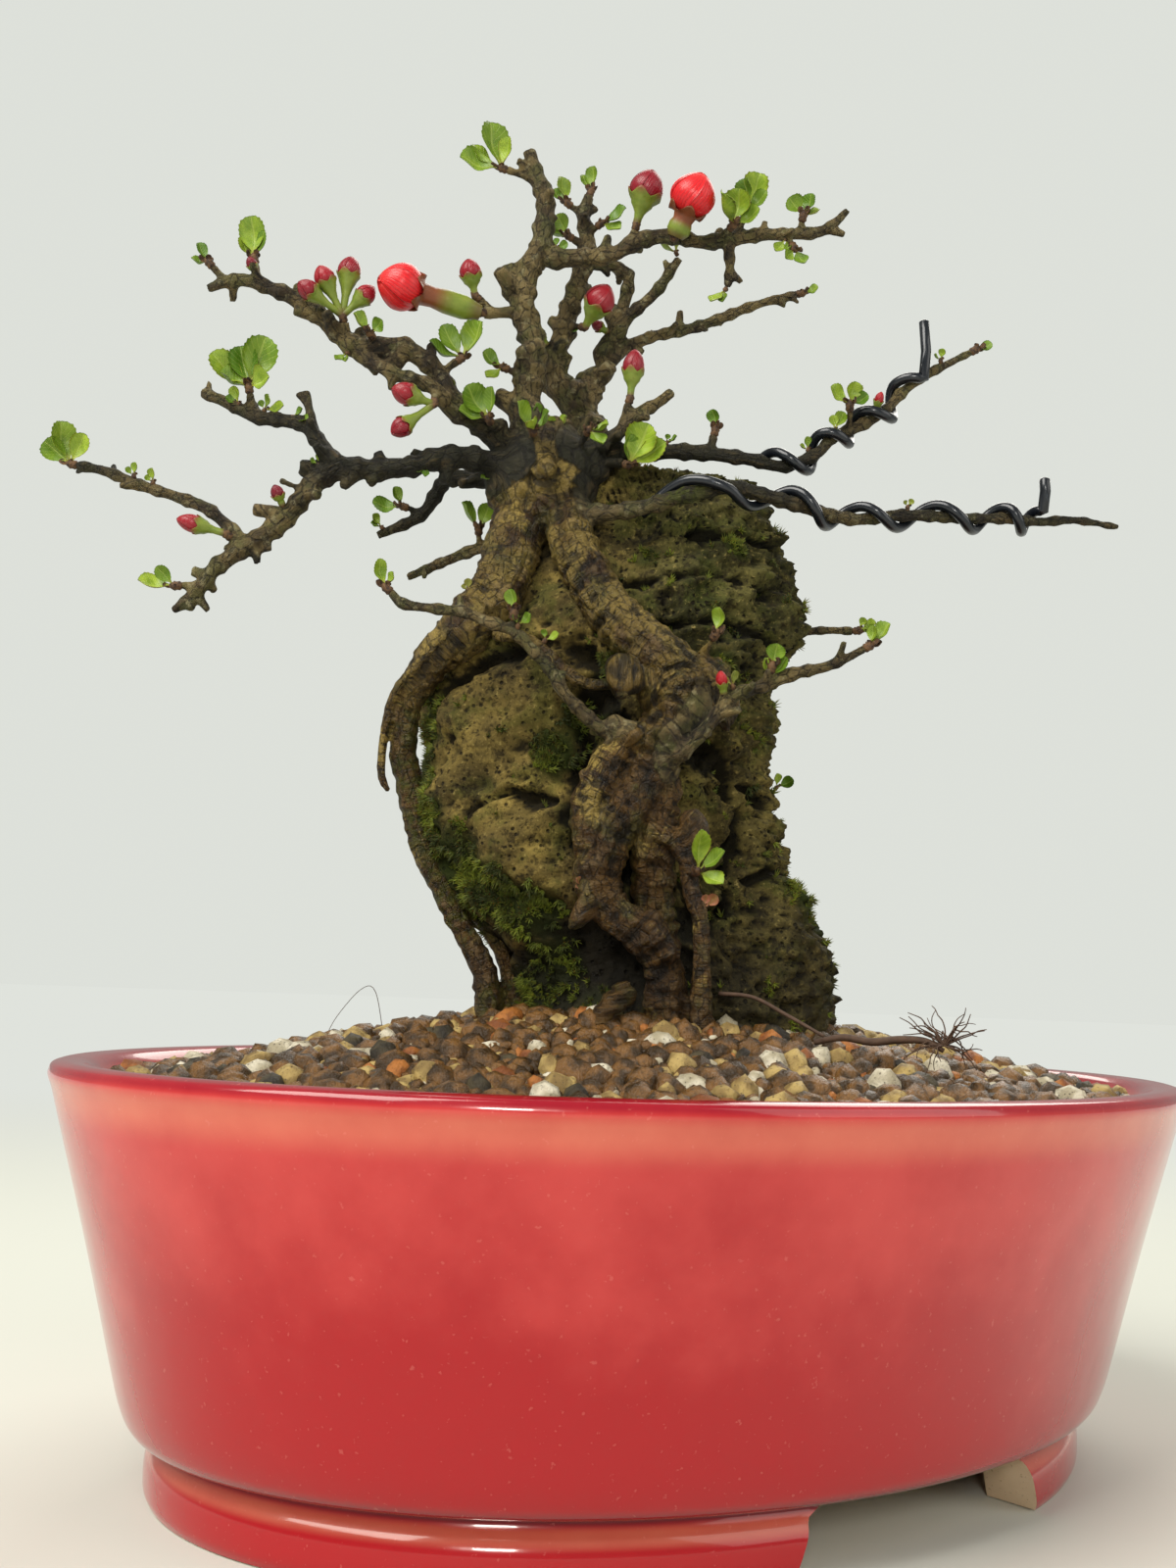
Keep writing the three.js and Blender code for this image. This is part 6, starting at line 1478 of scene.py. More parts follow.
def build_rock():
    """The stone as rings of points from its buried foot to its crest, closed at both ends."""
    back_roots = point_tree(np.vstack([smooth_route(ROOTS[name], 1.0)[:, :3] for name in BACK_ROOTS]))
    low, high = ROCK_LEVELS[0][0] + ROCK_FOOT_CUT, ROCK_LEVELS[-1][0]
    rows, columns = ROCK_ROWS, ROCK_COLUMNS
    crest = np.array(ROCK_CREST, float)
    points, hollow_shades = [], []
    for row in range(rows):
        share = row / (rows - 1)
        over = max(share - ROCK_SIDE_SHARE, 0) / (1 - ROCK_SIDE_SHARE)
        up = low + (high - low) * min(share / ROCK_SIDE_SHARE, 1)
        for column in range(columns):
            angle = column / columns * 2 * math.pi
            around = np.array(rock_point(up, angle))
            if over > 0:
                lift = math.sin(over * math.pi / 2)
                around = around + (crest - around) * (1 - math.cos(over * math.pi / 2))
                around[2] = high + (crest[2] - high) * lift
            base = place(*around)
            height, hollow_shade = stone_relief(base)
            root_gap = back_roots.find(base)[2]
            height = min(height, BACK_ROOT_SINK * (root_gap - BACK_ROOT_CLEAR))
            middle = place((crest[0] + around[0]) / 2, (crest[1] + around[1]) / 2, up - 4 * over)
            out = unit(base - middle)
            fade = min(share * 12, 1) * (1 - over ** 6)
            points.append(base + out * height * fade)
            hollow_shades.append(hollow_shade)
    points = np.array(points)
    points = np.vstack([points, [points[:columns].mean(axis=0)], [points[-columns:].mean(axis=0)]])
    mesh = mesh_of("rock_face", points, capped_faces(rows, columns))
    hollow_shades += [0, 0]
    seen = [front_view(point) for point in points]
    moss = [moss_share(*point) for point in seen]
    # Painted shade on the rock's right side, stronger high up
    shade = [clamp((across + 12) / 14) * (0.4 + 0.4 * clamp((up - 115) / 15)) for across, _, up in seen]
    add_values(mesh, "hollow_shade", hollow_shades)
    add_values(mesh, "moss", moss)
    add_values(mesh, "shade", shade)
    mesh.materials.append(STONE)
    return add_piece("rock_face", mesh, "rock", "rock")


# Scattered things: grains and moss

def scatter_tree(name, build_instance):
    """A node tree that scatters a thing over a surface. Its named inputs are filled in by scatter()."""
    tree = bpy.data.node_groups.new(name, "GeometryNodeTree")
    tree.interface.new_socket(name="Surface", in_out="INPUT", socket_type="NodeSocketGeometry")
    for label in ("Spacing", "Smallest", "Largest", "From share", "To share", "Roughness", "Sink"):
        tree.interface.new_socket(name=label, in_out="INPUT", socket_type="NodeSocketFloat")
    tree.interface.new_socket(name="Seed", in_out="INPUT", socket_type="NodeSocketInt")
    tree.interface.new_socket(name="Finish", in_out="INPUT", socket_type="NodeSocketMaterial")
    tree.interface.new_socket(name="Scattered", in_out="OUTPUT", socket_type="NodeSocketGeometry")

    def node(kind, settings=None, inputs=None):
        made = tree.nodes.new(kind)
        for key, value in (settings or {}).items():
            setattr(made, key, value)
        for key, value in (inputs or {}).items():
            if isinstance(value, bpy.types.NodeSocket):
                tree.links.new(value, made.inputs[key])
            else:
                made.inputs[key].default_value = value
        return made

    given = node("NodeGroupInput").outputs
    density = node("GeometryNodeInputNamedAttribute", {"data_type": "FLOAT"}, {"Name": "thickly"})
    spread = node("GeometryNodeDistributePointsOnFaces", {"distribute_method": "POISSON"}, {
        "Mesh": given["Surface"], "Distance Min": given["Spacing"], "Density Max": SCATTER_DENSITY,
        "Density Factor": density.outputs["Attribute"], "Seed": given["Seed"]})
    draw = node("FunctionNodeRandomValue", {"data_type": "FLOAT"}, {2: 0.0, 3: 1.0, "Seed": 5})
    low = node("FunctionNodeCompare", {"data_type": "FLOAT", "operation": "GREATER_EQUAL"}, {
        0: draw.outputs[1], 1: given["From share"]})
    high = node("FunctionNodeCompare", {"data_type": "FLOAT", "operation": "LESS_THAN"}, {
        0: draw.outputs[1], 1: given["To share"]})
    chosen = node("FunctionNodeBooleanMath", {"operation": "AND"}, {0: low.outputs[0], 1: high.outputs[0]})
    size = node("FunctionNodeRandomValue", {"data_type": "FLOAT"}, {
        2: given["Smallest"], 3: given["Largest"], "Seed": 9})
    thing, turn = build_instance(node, spread)
    shrink = node("ShaderNodeVectorMath", {"operation": "SCALE"}, {
        0: spread.outputs["Normal"], "Scale": given["Sink"]})
    sunk = node("GeometryNodeSetPosition", None, {
        "Geometry": spread.outputs["Points"], "Offset": shrink.outputs[0]})
    placed = node("GeometryNodeInstanceOnPoints", None, {
        "Points": sunk.outputs[0], "Selection": chosen.outputs[0], "Instance": thing, "Rotation": turn,
        "Scale": size.outputs[1]})
    real = node("GeometryNodeRealizeInstances", None, {0: placed.outputs[0]})
    fuzz = node("ShaderNodeTexNoise", {"noise_dimensions": "3D"}, {"Scale": FUZZ_SCALE, "Detail": 1.0})
    centred = node("ShaderNodeVectorMath", {"operation": "SUBTRACT"}, {
        0: fuzz.outputs["Color"], 1: (0.5, 0.5, 0.5)})
    push = node("ShaderNodeVectorMath", {"operation": "SCALE"}, {
        0: centred.outputs[0], "Scale": given["Roughness"]})
    rough = node("GeometryNodeSetPosition", None, {"Geometry": real.outputs[0], "Offset": push.outputs[0]})
    coated = node("GeometryNodeSetMaterial", None, {
        "Geometry": rough.outputs[0], "Material": given["Finish"]})
    node("NodeGroupOutput", None, {0: coated.outputs[0]})
    return tree


def pebble(node, _):
    """A block of 48 triangles drawn in to a ball, turned any way."""
    block = node("GeometryNodeMeshCube", None, {
        "Size": (1, 1, 1), "Vertices X": 3, "Vertices Y": 3, "Vertices Z": 3})
    where = node("GeometryNodeInputPosition").outputs[0]
    ball = node("ShaderNodeVectorMath", {"operation": "NORMALIZE"}, {0: where})
    flat = node("ShaderNodeVectorMath", {"operation": "MULTIPLY"}, {
        0: ball.outputs[0], 1: (0.58, 0.5, 0.4)})
    rounded = node("GeometryNodeSetPosition", None, {
        "Geometry": block.outputs[0], "Position": flat.outputs[0]})
    smooth = node("GeometryNodeSetShadeSmooth", None, {0: rounded.outputs[0]})
    turn = node("FunctionNodeRandomValue", {"data_type": "FLOAT_VECTOR"}, {
        0: (0, 0, 0), 1: (FULL_TURN, FULL_TURN, FULL_TURN), "Seed": 3})
    return smooth.outputs[0], turn.outputs[0]


def moss_tuft(node, spread):
    """A few thin spikes that lean out from one foot."""
    joined = node("GeometryNodeJoinGeometry")
    tree = joined.id_data
    for lean, way, tall in MOSS_SPIKES:
        spike = node("GeometryNodeMeshCone", {"fill_type": "NONE"}, {
            "Vertices": 3, "Radius Top": 0.0, "Radius Bottom": 0.16, "Depth": tall})
        leaned = node("GeometryNodeTransform", None, {
            "Geometry": spike.outputs[0], "Rotation": (lean, 0, way)})
        tree.links.new(leaned.outputs[0], joined.inputs[0])
    spin = node("FunctionNodeRandomValue", {"data_type": "FLOAT"}, {2: 0.0, 3: FULL_TURN, "Seed": 4})
    aligned = node("FunctionNodeAlignRotationToVector", {"axis": "Z"}, {"Vector": spread.outputs["Normal"]})
    about = node("FunctionNodeAxisAngleToRotation", None, {"Axis": (0, 0, 1), "Angle": spin.outputs[1]})
    turn = node("FunctionNodeRotateRotation", {"rotation_space": "LOCAL"}, {
        0: aligned.outputs[0], 1: about.outputs[0]})
    return joined.outputs[0], turn.outputs[0]


def scatter(name, tree, surface, finish, slot, settings, start=0.0, end=1.0):
    """Runs a scatter tree over a surface's mesh and keeps the result as a plain piece."""
    holder = object_of("holder", surface)
    modifier = holder.modifiers.new("scatter", "NODES")
    modifier.node_group = tree
    wanted = {**settings, "From share": start, "To share": end, "Finish": finish}
    for socket in tree.interface.items_tree:
        if socket.in_out == "INPUT" and socket.name in wanted:
            modifier[socket.identifier] = wanted[socket.name]
    evaluated = holder.evaluated_get(bpy.context.evaluated_depsgraph_get())
    mesh = bpy.data.meshes.new_from_object(evaluated)
    bpy.data.objects.remove(holder)
    mesh.name = name
    add_piece(name, mesh, slot)


# Soil

def soil_height(share):
    return SOIL_AT_WALL + (SOIL_AT_MIDDLE - SOIL_AT_WALL) * math.cos(share * math.pi / 2) ** 1.3


def soil_surface(rings, segments):
    """The heap's surface from its middle out to the pot's wall, as a grid."""
    points = []
    for ring in range(rings + 1):
        share = ring / rings
        for column in range(segments):
            angle = column / segments * 2 * math.pi
            x = (RIM_LENGTH / 2 - SOIL_INSET) * share * math.cos(angle)
            y = (RIM_WIDTH / 2 - SOIL_INSET) * share * math.sin(angle)
            z = soil_height(share) - SOIL_UNDER_GRAINS
            points.append((x, y, z + SOIL_WOBBLE * noise.noise(Vector((x, y, 3)) * 0.22)))
    return np.array(points), [face[::-1] for face in grid_faces(rings + 1, segments, True)]


def build_soil():
    """The heap's wet earth, and the loose grains and grit of every kind that lie on it."""
    sides = SOIL_SEGMENTS
    points, faces = soil_surface(SOIL_RINGS, sides)
    skirt = points[-sides:].copy()
    skirt[:, 2] = SOIL_BOTTOM
    skirt[:, :2] *= (RIM_LENGTH / 2 - WALL_FLARE - WALL - 2) / (RIM_LENGTH / 2 - SOIL_INSET)
    start = len(points)
    points = np.vstack([points, skirt, [[0, 0, SOIL_BOTTOM]]])
    for i in range(sides):
        j = (i + 1) % sides
        faces.append([start - sides + i, start + i, start + j, start - sides + j])
        faces.append([start + i, len(points) - 1, start + j])
    heap = mesh_of("soil_heap", points, faces)
    heap.materials.append(EARTH)
    add_piece("soil_heap", heap, "soil", "soil")
    top, top_faces = soil_surface(SPREAD_RINGS, SPREAD_SEGMENTS)
    surface = mesh_of("soil_surface", top, top_faces)
    share = np.hypot(top[:, 0] / (RIM_LENGTH / 2), top[:, 1] / (RIM_WIDTH / 2))
    add_values(surface, "thickly", np.where(share < BARE_MIDDLE, 0, 1))
    tree = scatter_tree("scatter_grains", pebble)
    start = 0.0
    for name, finish_name, share, look in GRAIN_KINDS:
        finish = grain_finish(finish_name, *look)
        for size, settings in (("grains", GRAIN_SPREAD), ("grit", GRIT_SPREAD)):
            scatter(f"{size}_{name}", tree, surface.copy(), finish, "soil", settings, start, start + share)
        start += share


def build_moss(rock):
    """Moss tufts over the rock's face, in patches."""
    surface = rock.data.copy()
    points = points_of(surface) / MM
    moss = []
    for point in points:
        patchy = noise.noise(Vector(point) * 0.35) * 1.3 + 0.25
        moss.append(clamp(moss_share(*front_view(point)) * 1.5 + patchy - 0.75))
    add_values(surface, "thickly", moss)
    tree = scatter_tree("scatter_moss", moss_tuft)
    scatter("moss_tufts", tree, surface, MOSS, "rock", MOSS_SPREAD)


# Leaves

def leaf_width(share):
    """The blade's half width along its length: a stalk, then a spoon with a round end."""
    if share < LEAF_STALK:
        return 0.13
    wide = (share - LEAF_STALK) / (LEAF_WIDEST - LEAF_STALK)
    if share < LEAF_WIDEST:
        return 0.13 + 0.87 * math.sin(min(wide, 1) * math.pi / 2) ** 1.25
    past = (share - LEAF_WIDEST) / (1 - LEAF_WIDEST)
    return math.sqrt(max(1 - past ** 2.4, 0))


def leaf_blade(root, tip, width, draw):
    """A thin toothed blade, cupped along its midrib and arched, as (points, faces, uvs)."""
    along = unit(tip - root)
    start = root + along * LEAF_START
    length = np.linalg.norm(tip - start)
    facing = unit(step_of([draw.uniform(-0.9, 0.9), -1, 0.6 + draw.uniform(-0.5, 0.8)]))
    normal = unit(facing - along * facing.dot(along))
    aside = np.cross(along, normal)
    cup = LEAF_CUP * draw.uniform(0.6, 1.5)
    arch = LEAF_ARCH * draw.uniform(0.5, 1.5)
    ripple = draw.uniform(0, 6)
    points, uvs = [], []
    for layer in (0, 1):
        for row in range(LEAF_ROWS + 1):
            share = 1 - (1 - row / LEAF_ROWS) ** 1.25
            tooth = LEAF_TOOTH * (row % 2) * (0.25 < share < 0.97)
            half = LEAF_BREADTH * width / 2 * (leaf_width(share) if row < LEAF_ROWS else 0.16)
            for column in range(LEAF_COLUMNS + 1):
                v = column / LEAF_COLUMNS * 2 - 1
                edge = abs(v) > 0.99
                spread = half * v * (1 + tooth * edge)
                back = -0.03 * length * edge * (row % 2 == 0) * (share > 0.25)
                lift = cup * abs(spread) - arch * length * math.sin(math.pi * share) ** 2
                lift += 0.05 * half * math.sin(share * 11 + ripple) * v * v
                point = start + along * (share * length + back) + aside * spread + normal * lift
                points.append(point - normal * (LEAF_THICKNESS * layer * (0.4 if edge else 1)))
                uvs.append((v / 2 + 0.5, share))
    return np.array(points), shell_faces(LEAF_ROWS + 1, LEAF_COLUMNS + 1, 1), uvs


def valued_mesh(name, parts, uvs, finishes, materials, values):
    """Several (points, faces) as one mesh, with the values that its finishes read."""
    mesh = mesh_of(name, *gathered(parts))
    layer = mesh.uv_layers.new(name="blade")
    corners = np.zeros(len(mesh.loops), np.int32)
    mesh.loops.foreach_get("vertex_index", corners)
    layer.data.foreach_set("uv", np.asarray(uvs, np.float32)[corners].ravel())
    for label, amounts in values.items():
        add_values(mesh, label, amounts)
    for material in materials:
        mesh.materials.append(material)
    mesh.polygons.foreach_set("material_index", finishes)
    return mesh


def carrier_end(name):
    """The last stretch of the spur or twig that carries a tuft."""
    if name in SPURS:
        return place(*SPURS[name][0]), place(*SPURS[name][1])
    points = {**STEMS, **BRANCHES, **WIRED}[name][-2:]
    return place(*points[0][:3]), place(*points[1][:3])


def tuft_heel(name):
    """Where a tuft's leaves meet, just past the end of its carrier, and the way that it points."""
    before, end = carrier_end(name)
    along = unit(end - before)
    return end + along * HEEL_REACH, along


def heel_lump(root, along, size=1.0):
    """The brown scaly foot of a tuft."""
    path = np.array([root + along * step * size for step in (-1.35, -0.9, -0.4, 0, 0.5, 0.9)])
    return tube(path, np.array([0.45, 0.78, 0.7, 0.82, 0.5, 0.2]) * size, 9)


def tuft_parts(root, along, leaves, draw, size=1.0):
    """One tuft's blades, the small scales at their foot, and the swollen heel."""
    parts, uvs, tones, finishes = [], [], [], []
    for step, width in leaves:
        points, faces, uv = leaf_blade(root, root + step_of(step), width, draw)
        parts.append((points, faces))
        uvs += uv
        tones += [draw.random()] * len(points)
        finishes += [0] * len(faces)
    for number in range(4 if size == 1 else 1):
        turn = number * math.pi / 2 + draw.random()
        out = step_of([math.cos(turn), math.sin(turn) * 0.8, 0.3])
        tip = root + (along * 0.9 + unit(out) * 1.1) * size
        points, faces, uv = leaf_blade(root - along * 0.5 * size, tip, 0.9 * size, draw)
        parts.append((points, faces))
        uvs += uv
        tones += [0.5] * len(points)
        finishes += [1] * len(faces)
    points, faces = heel_lump(root, along, size)
    parts.append((points, faces))
    uvs += [(0.5, 0.1)] * len(points)
    tones += [0.5] * len(points)
    finishes += [1] * len(faces)
    return parts, uvs, tones, finishes


def leaf_mesh(name, parts, uvs, tones, finishes, blushes):
    return valued_mesh(name, parts, uvs, finishes, (LEAF, SCALE), {"tone": tones, "blush": blushes})


def flat_view(point):
    """Where a point lies in the picture, as a place across and up in the plane of the pot's middle."""
    across, away, up = front_view(point)
    nearness = 1 - away / CAMERA_AWAY
    return CAMERA_ACROSS + (across - CAMERA_ACROSS) / nearness, CAMERA_UP + (up - CAMERA_UP) / nearness


def nearest_wood(across, up, out):
    """The wood's skin next to a place in the picture, on the side that faces out."""
    best, found = math.inf, None
    for _, route, _ in limb_routes():
        for point in route:
            seen_across, seen_up = flat_view(point[:3])
            gap = math.hypot(seen_across - across, seen_up - up) - point[3]
            if gap < best:
                best, found = gap, point[:3] + out * point[3] * 0.8
    return found


def build_leaves():
    """The tuft of every leaf node, and all the small tufts as one piece."""
    for number, (node, (carrier, leaves)) in enumerate(TUFTS.items()):
        root, along = tuft_heel(carrier)
        made = tuft_parts(root, along, leaves, random.Random(number))
        mesh = leaf_mesh(f"{node}_toothed", *made, [0] * len(made[1]))
        add_piece(f"{node}_toothed", mesh, "leaf", node)
    parts, uvs, tones, finishes, blushes = [], [], [], [], []
    for number, (across, up, lean, rise, length, blades, blush) in enumerate(SMALL_TUFTS):
        draw = random.Random(SMALL_TUFT_SEED + number)
        out = unit(step_of([lean, -0.5, rise]))
        root = nearest_wood(across, up, out) + out * SMALL_HEEL
        start = math.atan2(rise, lean)
        leaves = []
        for blade in range(blades):
            angle = start + (blade - (blades - 1) / 2) * 0.9 + draw.uniform(-0.2, 0.2)
            reach = length * (1 - 0.25 * blade)
            step = [reach * math.cos(angle), -reach * draw.uniform(0.1, 0.5), reach * math.sin(angle)]
            leaves.append([step, reach * 0.58])
        made = tuft_parts(root, out, leaves, draw, SMALL_HEEL)
        parts += made[0]
        uvs += made[1]
        tones += made[2]
        finishes += made[3]
        blushes += [blush] * len(made[1])
    add_piece("small_leaves", leaf_mesh("small_leaves", parts, uvs, tones, finishes, blushes), "leaf")


# Flower buds

def ball_girth(share):
    return math.sin(math.pi * min(share, 1) ** 0.9) ** 0.62 if 0 < share < 1 else 0


def bud_frame(root, centre):
    along = unit(centre - root)
    _, side, up = frames_along(np.array([root, centre]))
    return along, side[0], up[0]


def petal(foot, frame, length, radius, number):
    """One petal of a closed bud: a shell round part of the ball, one edge lapped over its neighbour."""
    along, side, up = frame
    points, uvs = [], []
    for skin in (0, 1):
        for row in range(PETAL_ROWS + 1):
            share = 0.03 + 0.965 * row / PETAL_ROWS
            closing = max(share - 0.72, 0) / 0.28
            for column in range(PETAL_COLUMNS + 1):
                v = column / PETAL_COLUMNS * 2 - 1
                angle = number * 2 * math.pi / PETALS + v * PETAL_REACH + share * 0.7
                lap = 1 + 0.055 * v + 0.02 * math.cos(v * 3)
                edge = 1 - 0.05 * closing * abs(v) ** 3
                reach = radius * ball_girth(share * edge) * lap - 0.16 * skin
                point = foot + along * share * length * edge
                point = point + (side * math.cos(angle) + up * math.sin(angle)) * max(reach, 0.04)
                points.append(point)
                uvs.append((v / 2 + 0.5, share))
    return np.array(points), shell_faces(PETAL_ROWS + 1, PETAL_COLUMNS + 1, -1), uvs


def petal_ball(root, centre, radius, length):
    """The petals of one closed bud, as (parts, uvs)."""
    frame = bud_frame(root, centre)
    foot = centre - frame[0] * length / 2
    parts, uvs = [], []
    for number in range(PETALS):
        points, faces, uv = petal(foot, frame, length, radius * 0.97, number)
        parts.append((points, faces))
        uvs += uv
    return parts, uvs


def calyx_cup(root, centre, radius, length):
    """A stalk that widens to a cup with five lobes, as (points, faces, lobe shares, stalk shares)."""
    along, side, up = bud_frame(root, centre)
    foot = centre - along * length / 2
    gap = np.linalg.norm(foot - root)
    plump = min(radius, CUP_PLUMPEST)
    large = radius > CUP_PLUMPEST + 0.6
    brim = LARGE_BRIM if large else SMALL_BRIM
    neck = LARGE_NECK if large else SMALL_NECK
    outline = [(-gap * (1 - share), max(0.6, plump * wide)) for share, wide in neck]
    outline += [(share * brim * length, max(radius * ball_girth(share * brim), plump * wide) + 0.24)
                for share, wide in ((0.08, 0.62), (0.28, 0.66), (0.55, 0.74))]
    outline += [(share * brim * length, radius * ball_girth(share * brim) + stand_off)
                for share, stand_off in ((0.84, 0.22), (1, 0.18), (1, 0.04), (0.55, 0.03))]
    points, lobes, stalks = [], [], []
    for row, (step, girth) in enumerate(outline):
        high = max(row - 5, 0) / 3 if row < 9 else (1 if row == 9 else 0.3)
        for angle in angles_round(CUP_SIDES):
            lobe = math.cos(PETALS * angle)
            shift = high * length * (0.1 * lobe - 0.04)
            bulge = 1 + 0.05 * lobe * min(row / 6, 1)
            point = root + along * (gap + step + shift)
            points.append(point + (side * math.cos(angle) + up * math.sin(angle)) * girth * bulge)
            flush = clamp((row - 1) / 2.5, 0, 0.85) * large
            lobes.append(clamp(high * (0.55 + 0.45 * lobe), flush))
            stalks.append(clamp(1 - (gap + step) / (0.45 * gap + 0.5)))
    faces = [face[::-1] for face in grid_faces(len(outline), CUP_SIDES, True)]
    return np.array(points), faces, lobes, stalks


class BudParts:
    """Petals and cups gathered for one piece."""

    def __init__(self):
        self.parts, self.uvs, self.lobes, self.stalks, self.finishes, self.tones = ([] for _ in range(6))

    def add_petals(self, parts, uvs, tone):
        count = len(uvs)
        self.parts += parts
        self.uvs += uvs
        self.lobes += [0] * count
        self.stalks += [0] * count
        self.finishes += [0] * sum(len(faces) for _, faces in parts)
        self.tones += [tone] * count

    def add_green(self, points, faces, lobes, stalks, finish):
        self.parts.append((points, faces))
        self.uvs += [(0.5, 0.5)] * len(points)
        self.lobes += lobes
        self.stalks += stalks
        self.finishes += [finish] * len(faces)
        self.tones += [0] * len(points)

    def add_cup(self, root, centre, radius, length):
        self.add_green(*calyx_cup(root, centre, radius, length), 1)

    def add_heel(self, root, along, size=1.0):
        points, faces = heel_lump(root, along, size)
        self.add_green(points, faces, [0] * len(points), [0] * len(points), 2)

    def mesh(self, name):
        values = {"lobe": self.lobes, "stalk": self.stalks, "tone": self.tones}
        return valued_mesh(name, self.parts, self.uvs, self.finishes, (PETAL, CALYX, SCALE), values)


def build_buds():
    """Petals and calyx of every bud node, and all the small buds as one piece."""
    draw = random.Random(BUD_SEED)
    for node, (spur, balls) in BUDS.items():
        root, along = tuft_heel(spur)
        grown = BudParts()
        slot = "calyx"
        for ball, step, radius, length in balls:
            centre = root + step_of(step)
            tone = 0.95 if radius > OPENING_BUD else draw.uniform(0.1, 0.4)
            parts, uvs = petal_ball(root, centre, radius, length)
            if ball:
                lapped = BudParts()
                lapped.add_petals(parts, uvs, tone)
                add_piece(f"{ball}_lapped", lapped.mesh(f"{ball}_lapped"), "petal", ball)
            else:
                slot = "petal"
                grown.add_petals(parts, uvs, tone)
            grown.add_cup(root, centre, radius, length)
        grown.add_heel(root, along)
        add_piece(f"{node}_grown", grown.mesh(f"{node}_grown"), slot, node)
    small = BudParts()
    for across, up, lean, rise, radius, length, redness in SMALL_BUDS:
        out = unit(step_of([lean, -0.5, rise]))
        root = nearest_wood(across, up, out) + out * 0.7
        centre = root + out * (length / 2 + 1)
        small.add_petals(*petal_ball(root, centre, radius, length), redness)
        small.add_cup(root, centre, radius, length)
        small.add_heel(root, out, SMALL_HEEL)
    add_piece("small_buds", small.mesh("small_buds"), "petal")


# Training wire

def wire_route(branch, turns, free):
    """A wire's way round its branch, and then the free steps to its end."""
    points = WIRED[branch]
    knots = np.array([place(*point[:3]) for point in points])
    bends = np.vstack([knots[1] - knots[0], knots[2:] - knots[:-2], knots[-1] - knots[-2]])
    _, sides, ups = frames_of(bends)
    route = []
    steps = round((turns[-1][1] - turns[0][1]) * WIRE_STEPS_A_TURN)
    for i in range(steps + 1):
        turn = turns[0][1] + i / WIRE_STEPS_A_TURN
        at = float(np.interp(turn, [t for _, t in turns], [a for a, _ in turns]))
        start = min(int(at), len(points) - 2)
        share = at - start
        centre = knots[start] * (1 - share) + knots[start + 1] * share
        side = unit(sides[start] * (1 - share) + sides[start + 1] * share)
        up = unit(ups[start] * (1 - share) + ups[start + 1] * share)
        radius = points[start][3] * (1 - share) + points[start + 1][3] * share
        reach = radius + WIRE_RADIUS + WIRE_STAND_OFF
        angle = turn * 2 * math.pi
        route.append(centre + (side * math.cos(angle) + up * math.sin(angle)) * reach)
    lead = route[-1]
    return np.array(route + [lead + step_of(step) for step in free])


def build_wires():
    """Each training wire as a round tube with a blunt end."""
    for node, winding in WINDINGS.items():
        route = wire_route(winding["branch"], winding["turns"], winding["free"])
        radii = np.full(len(route), WIRE_RADIUS)
        ends = unit(route[-1] - route[-2])
        route = np.vstack([route, route[-1] + ends * WIRE_RADIUS * 0.35])
        radii = np.append(radii, WIRE_RADIUS * 0.6)
        mesh = mesh_of(f"{node}_round", *tube(route, radii, WIRE_SIDES))
        mesh.materials.append(WIRE)
        add_piece(f"{node}_round", mesh, "wire", node)


# Pot

def oval(inset, angle, height):
    return ((RIM_LENGTH / 2 - inset) * math.cos(angle), (RIM_WIDTH / 2 - inset) * math.sin(angle), height)


def rounded_section(section, steps):
    """A section's corners drawn round, by a smooth curve that stays close to them."""
    knots = np.array(section, float)
    fine = []
    for i in range(len(knots) - 1):
        for step in range(steps):
            fine.append(knots[i] + (knots[i + 1] - knots[i]) * step / steps)
    fine.append(knots[-1])
    fine = np.array(fine)
    for _ in range(steps // 2):
        fine[1:-1] = (fine[:-2] + 2 * fine[1:-1] + fine[2:]) / 4
    return fine


def drained_face(ring, start, height, points, upward):
    """A level face inside a ring of points, open at the drain holes, whose rims it adds to the points."""
    loops = [[Vector(points[start + i]) for i in range(ring)]]
    rims = []
    reach = DRAIN_DIAMETER / 2
    for side in (-1, 1):
        rims.append(len(points))
        rim = [(side * DRAIN_OFFSET + reach * math.cos(a), reach * math.sin(a), height)
               for a in angles_round(DRAIN_SEGMENTS)]
        points += rim
        loops.append([Vector(point) for point in rim])
    numbers_of = [start + i for i in range(ring)]
    numbers_of += [rim + i for rim in rims for i in range(DRAIN_SEGMENTS)]
    faces = []
    for triangle in geometry.tessellate_polygon(loops):
        face = [numbers_of[i] for i in triangle]
        a, b, c = (Vector(points[i]) for i in face)
        if ((b - a).cross(c - a).z > 0) != upward:
            face.reverse()
        faces.append(face)
    return faces, rims


def bowl_mesh():
    """The pot's bowl from its underside over the rim to its floor, as (points, faces)."""
    section = rounded_section(BOWL_SECTION, 5)
    points = []
    for inset, height in section:
        wobble = 0.25 * math.sin(height * 0.11)
        points += [oval(inset + 0.12 * math.sin(3 * a + wobble), a, height)
                   for a in angles_round(POT_SEGMENTS)]
    faces = grid_faces(len(section), POT_SEGMENTS, True)
    last = (len(section) - 1) * POT_SEGMENTS
    under, low_rims = drained_face(POT_SEGMENTS, 0, section[0][1], points, False)
    inside, high_rims = drained_face(POT_SEGMENTS, last, section[-1][1], points, True)
    faces += under + inside
    for low, high in zip(low_rims, high_rims):
        for i in range(DRAIN_SEGMENTS):
            j = (i + 1) % DRAIN_SEGMENTS
            faces.append([low + j, low + i, high + i, high + j])
    return points, faces


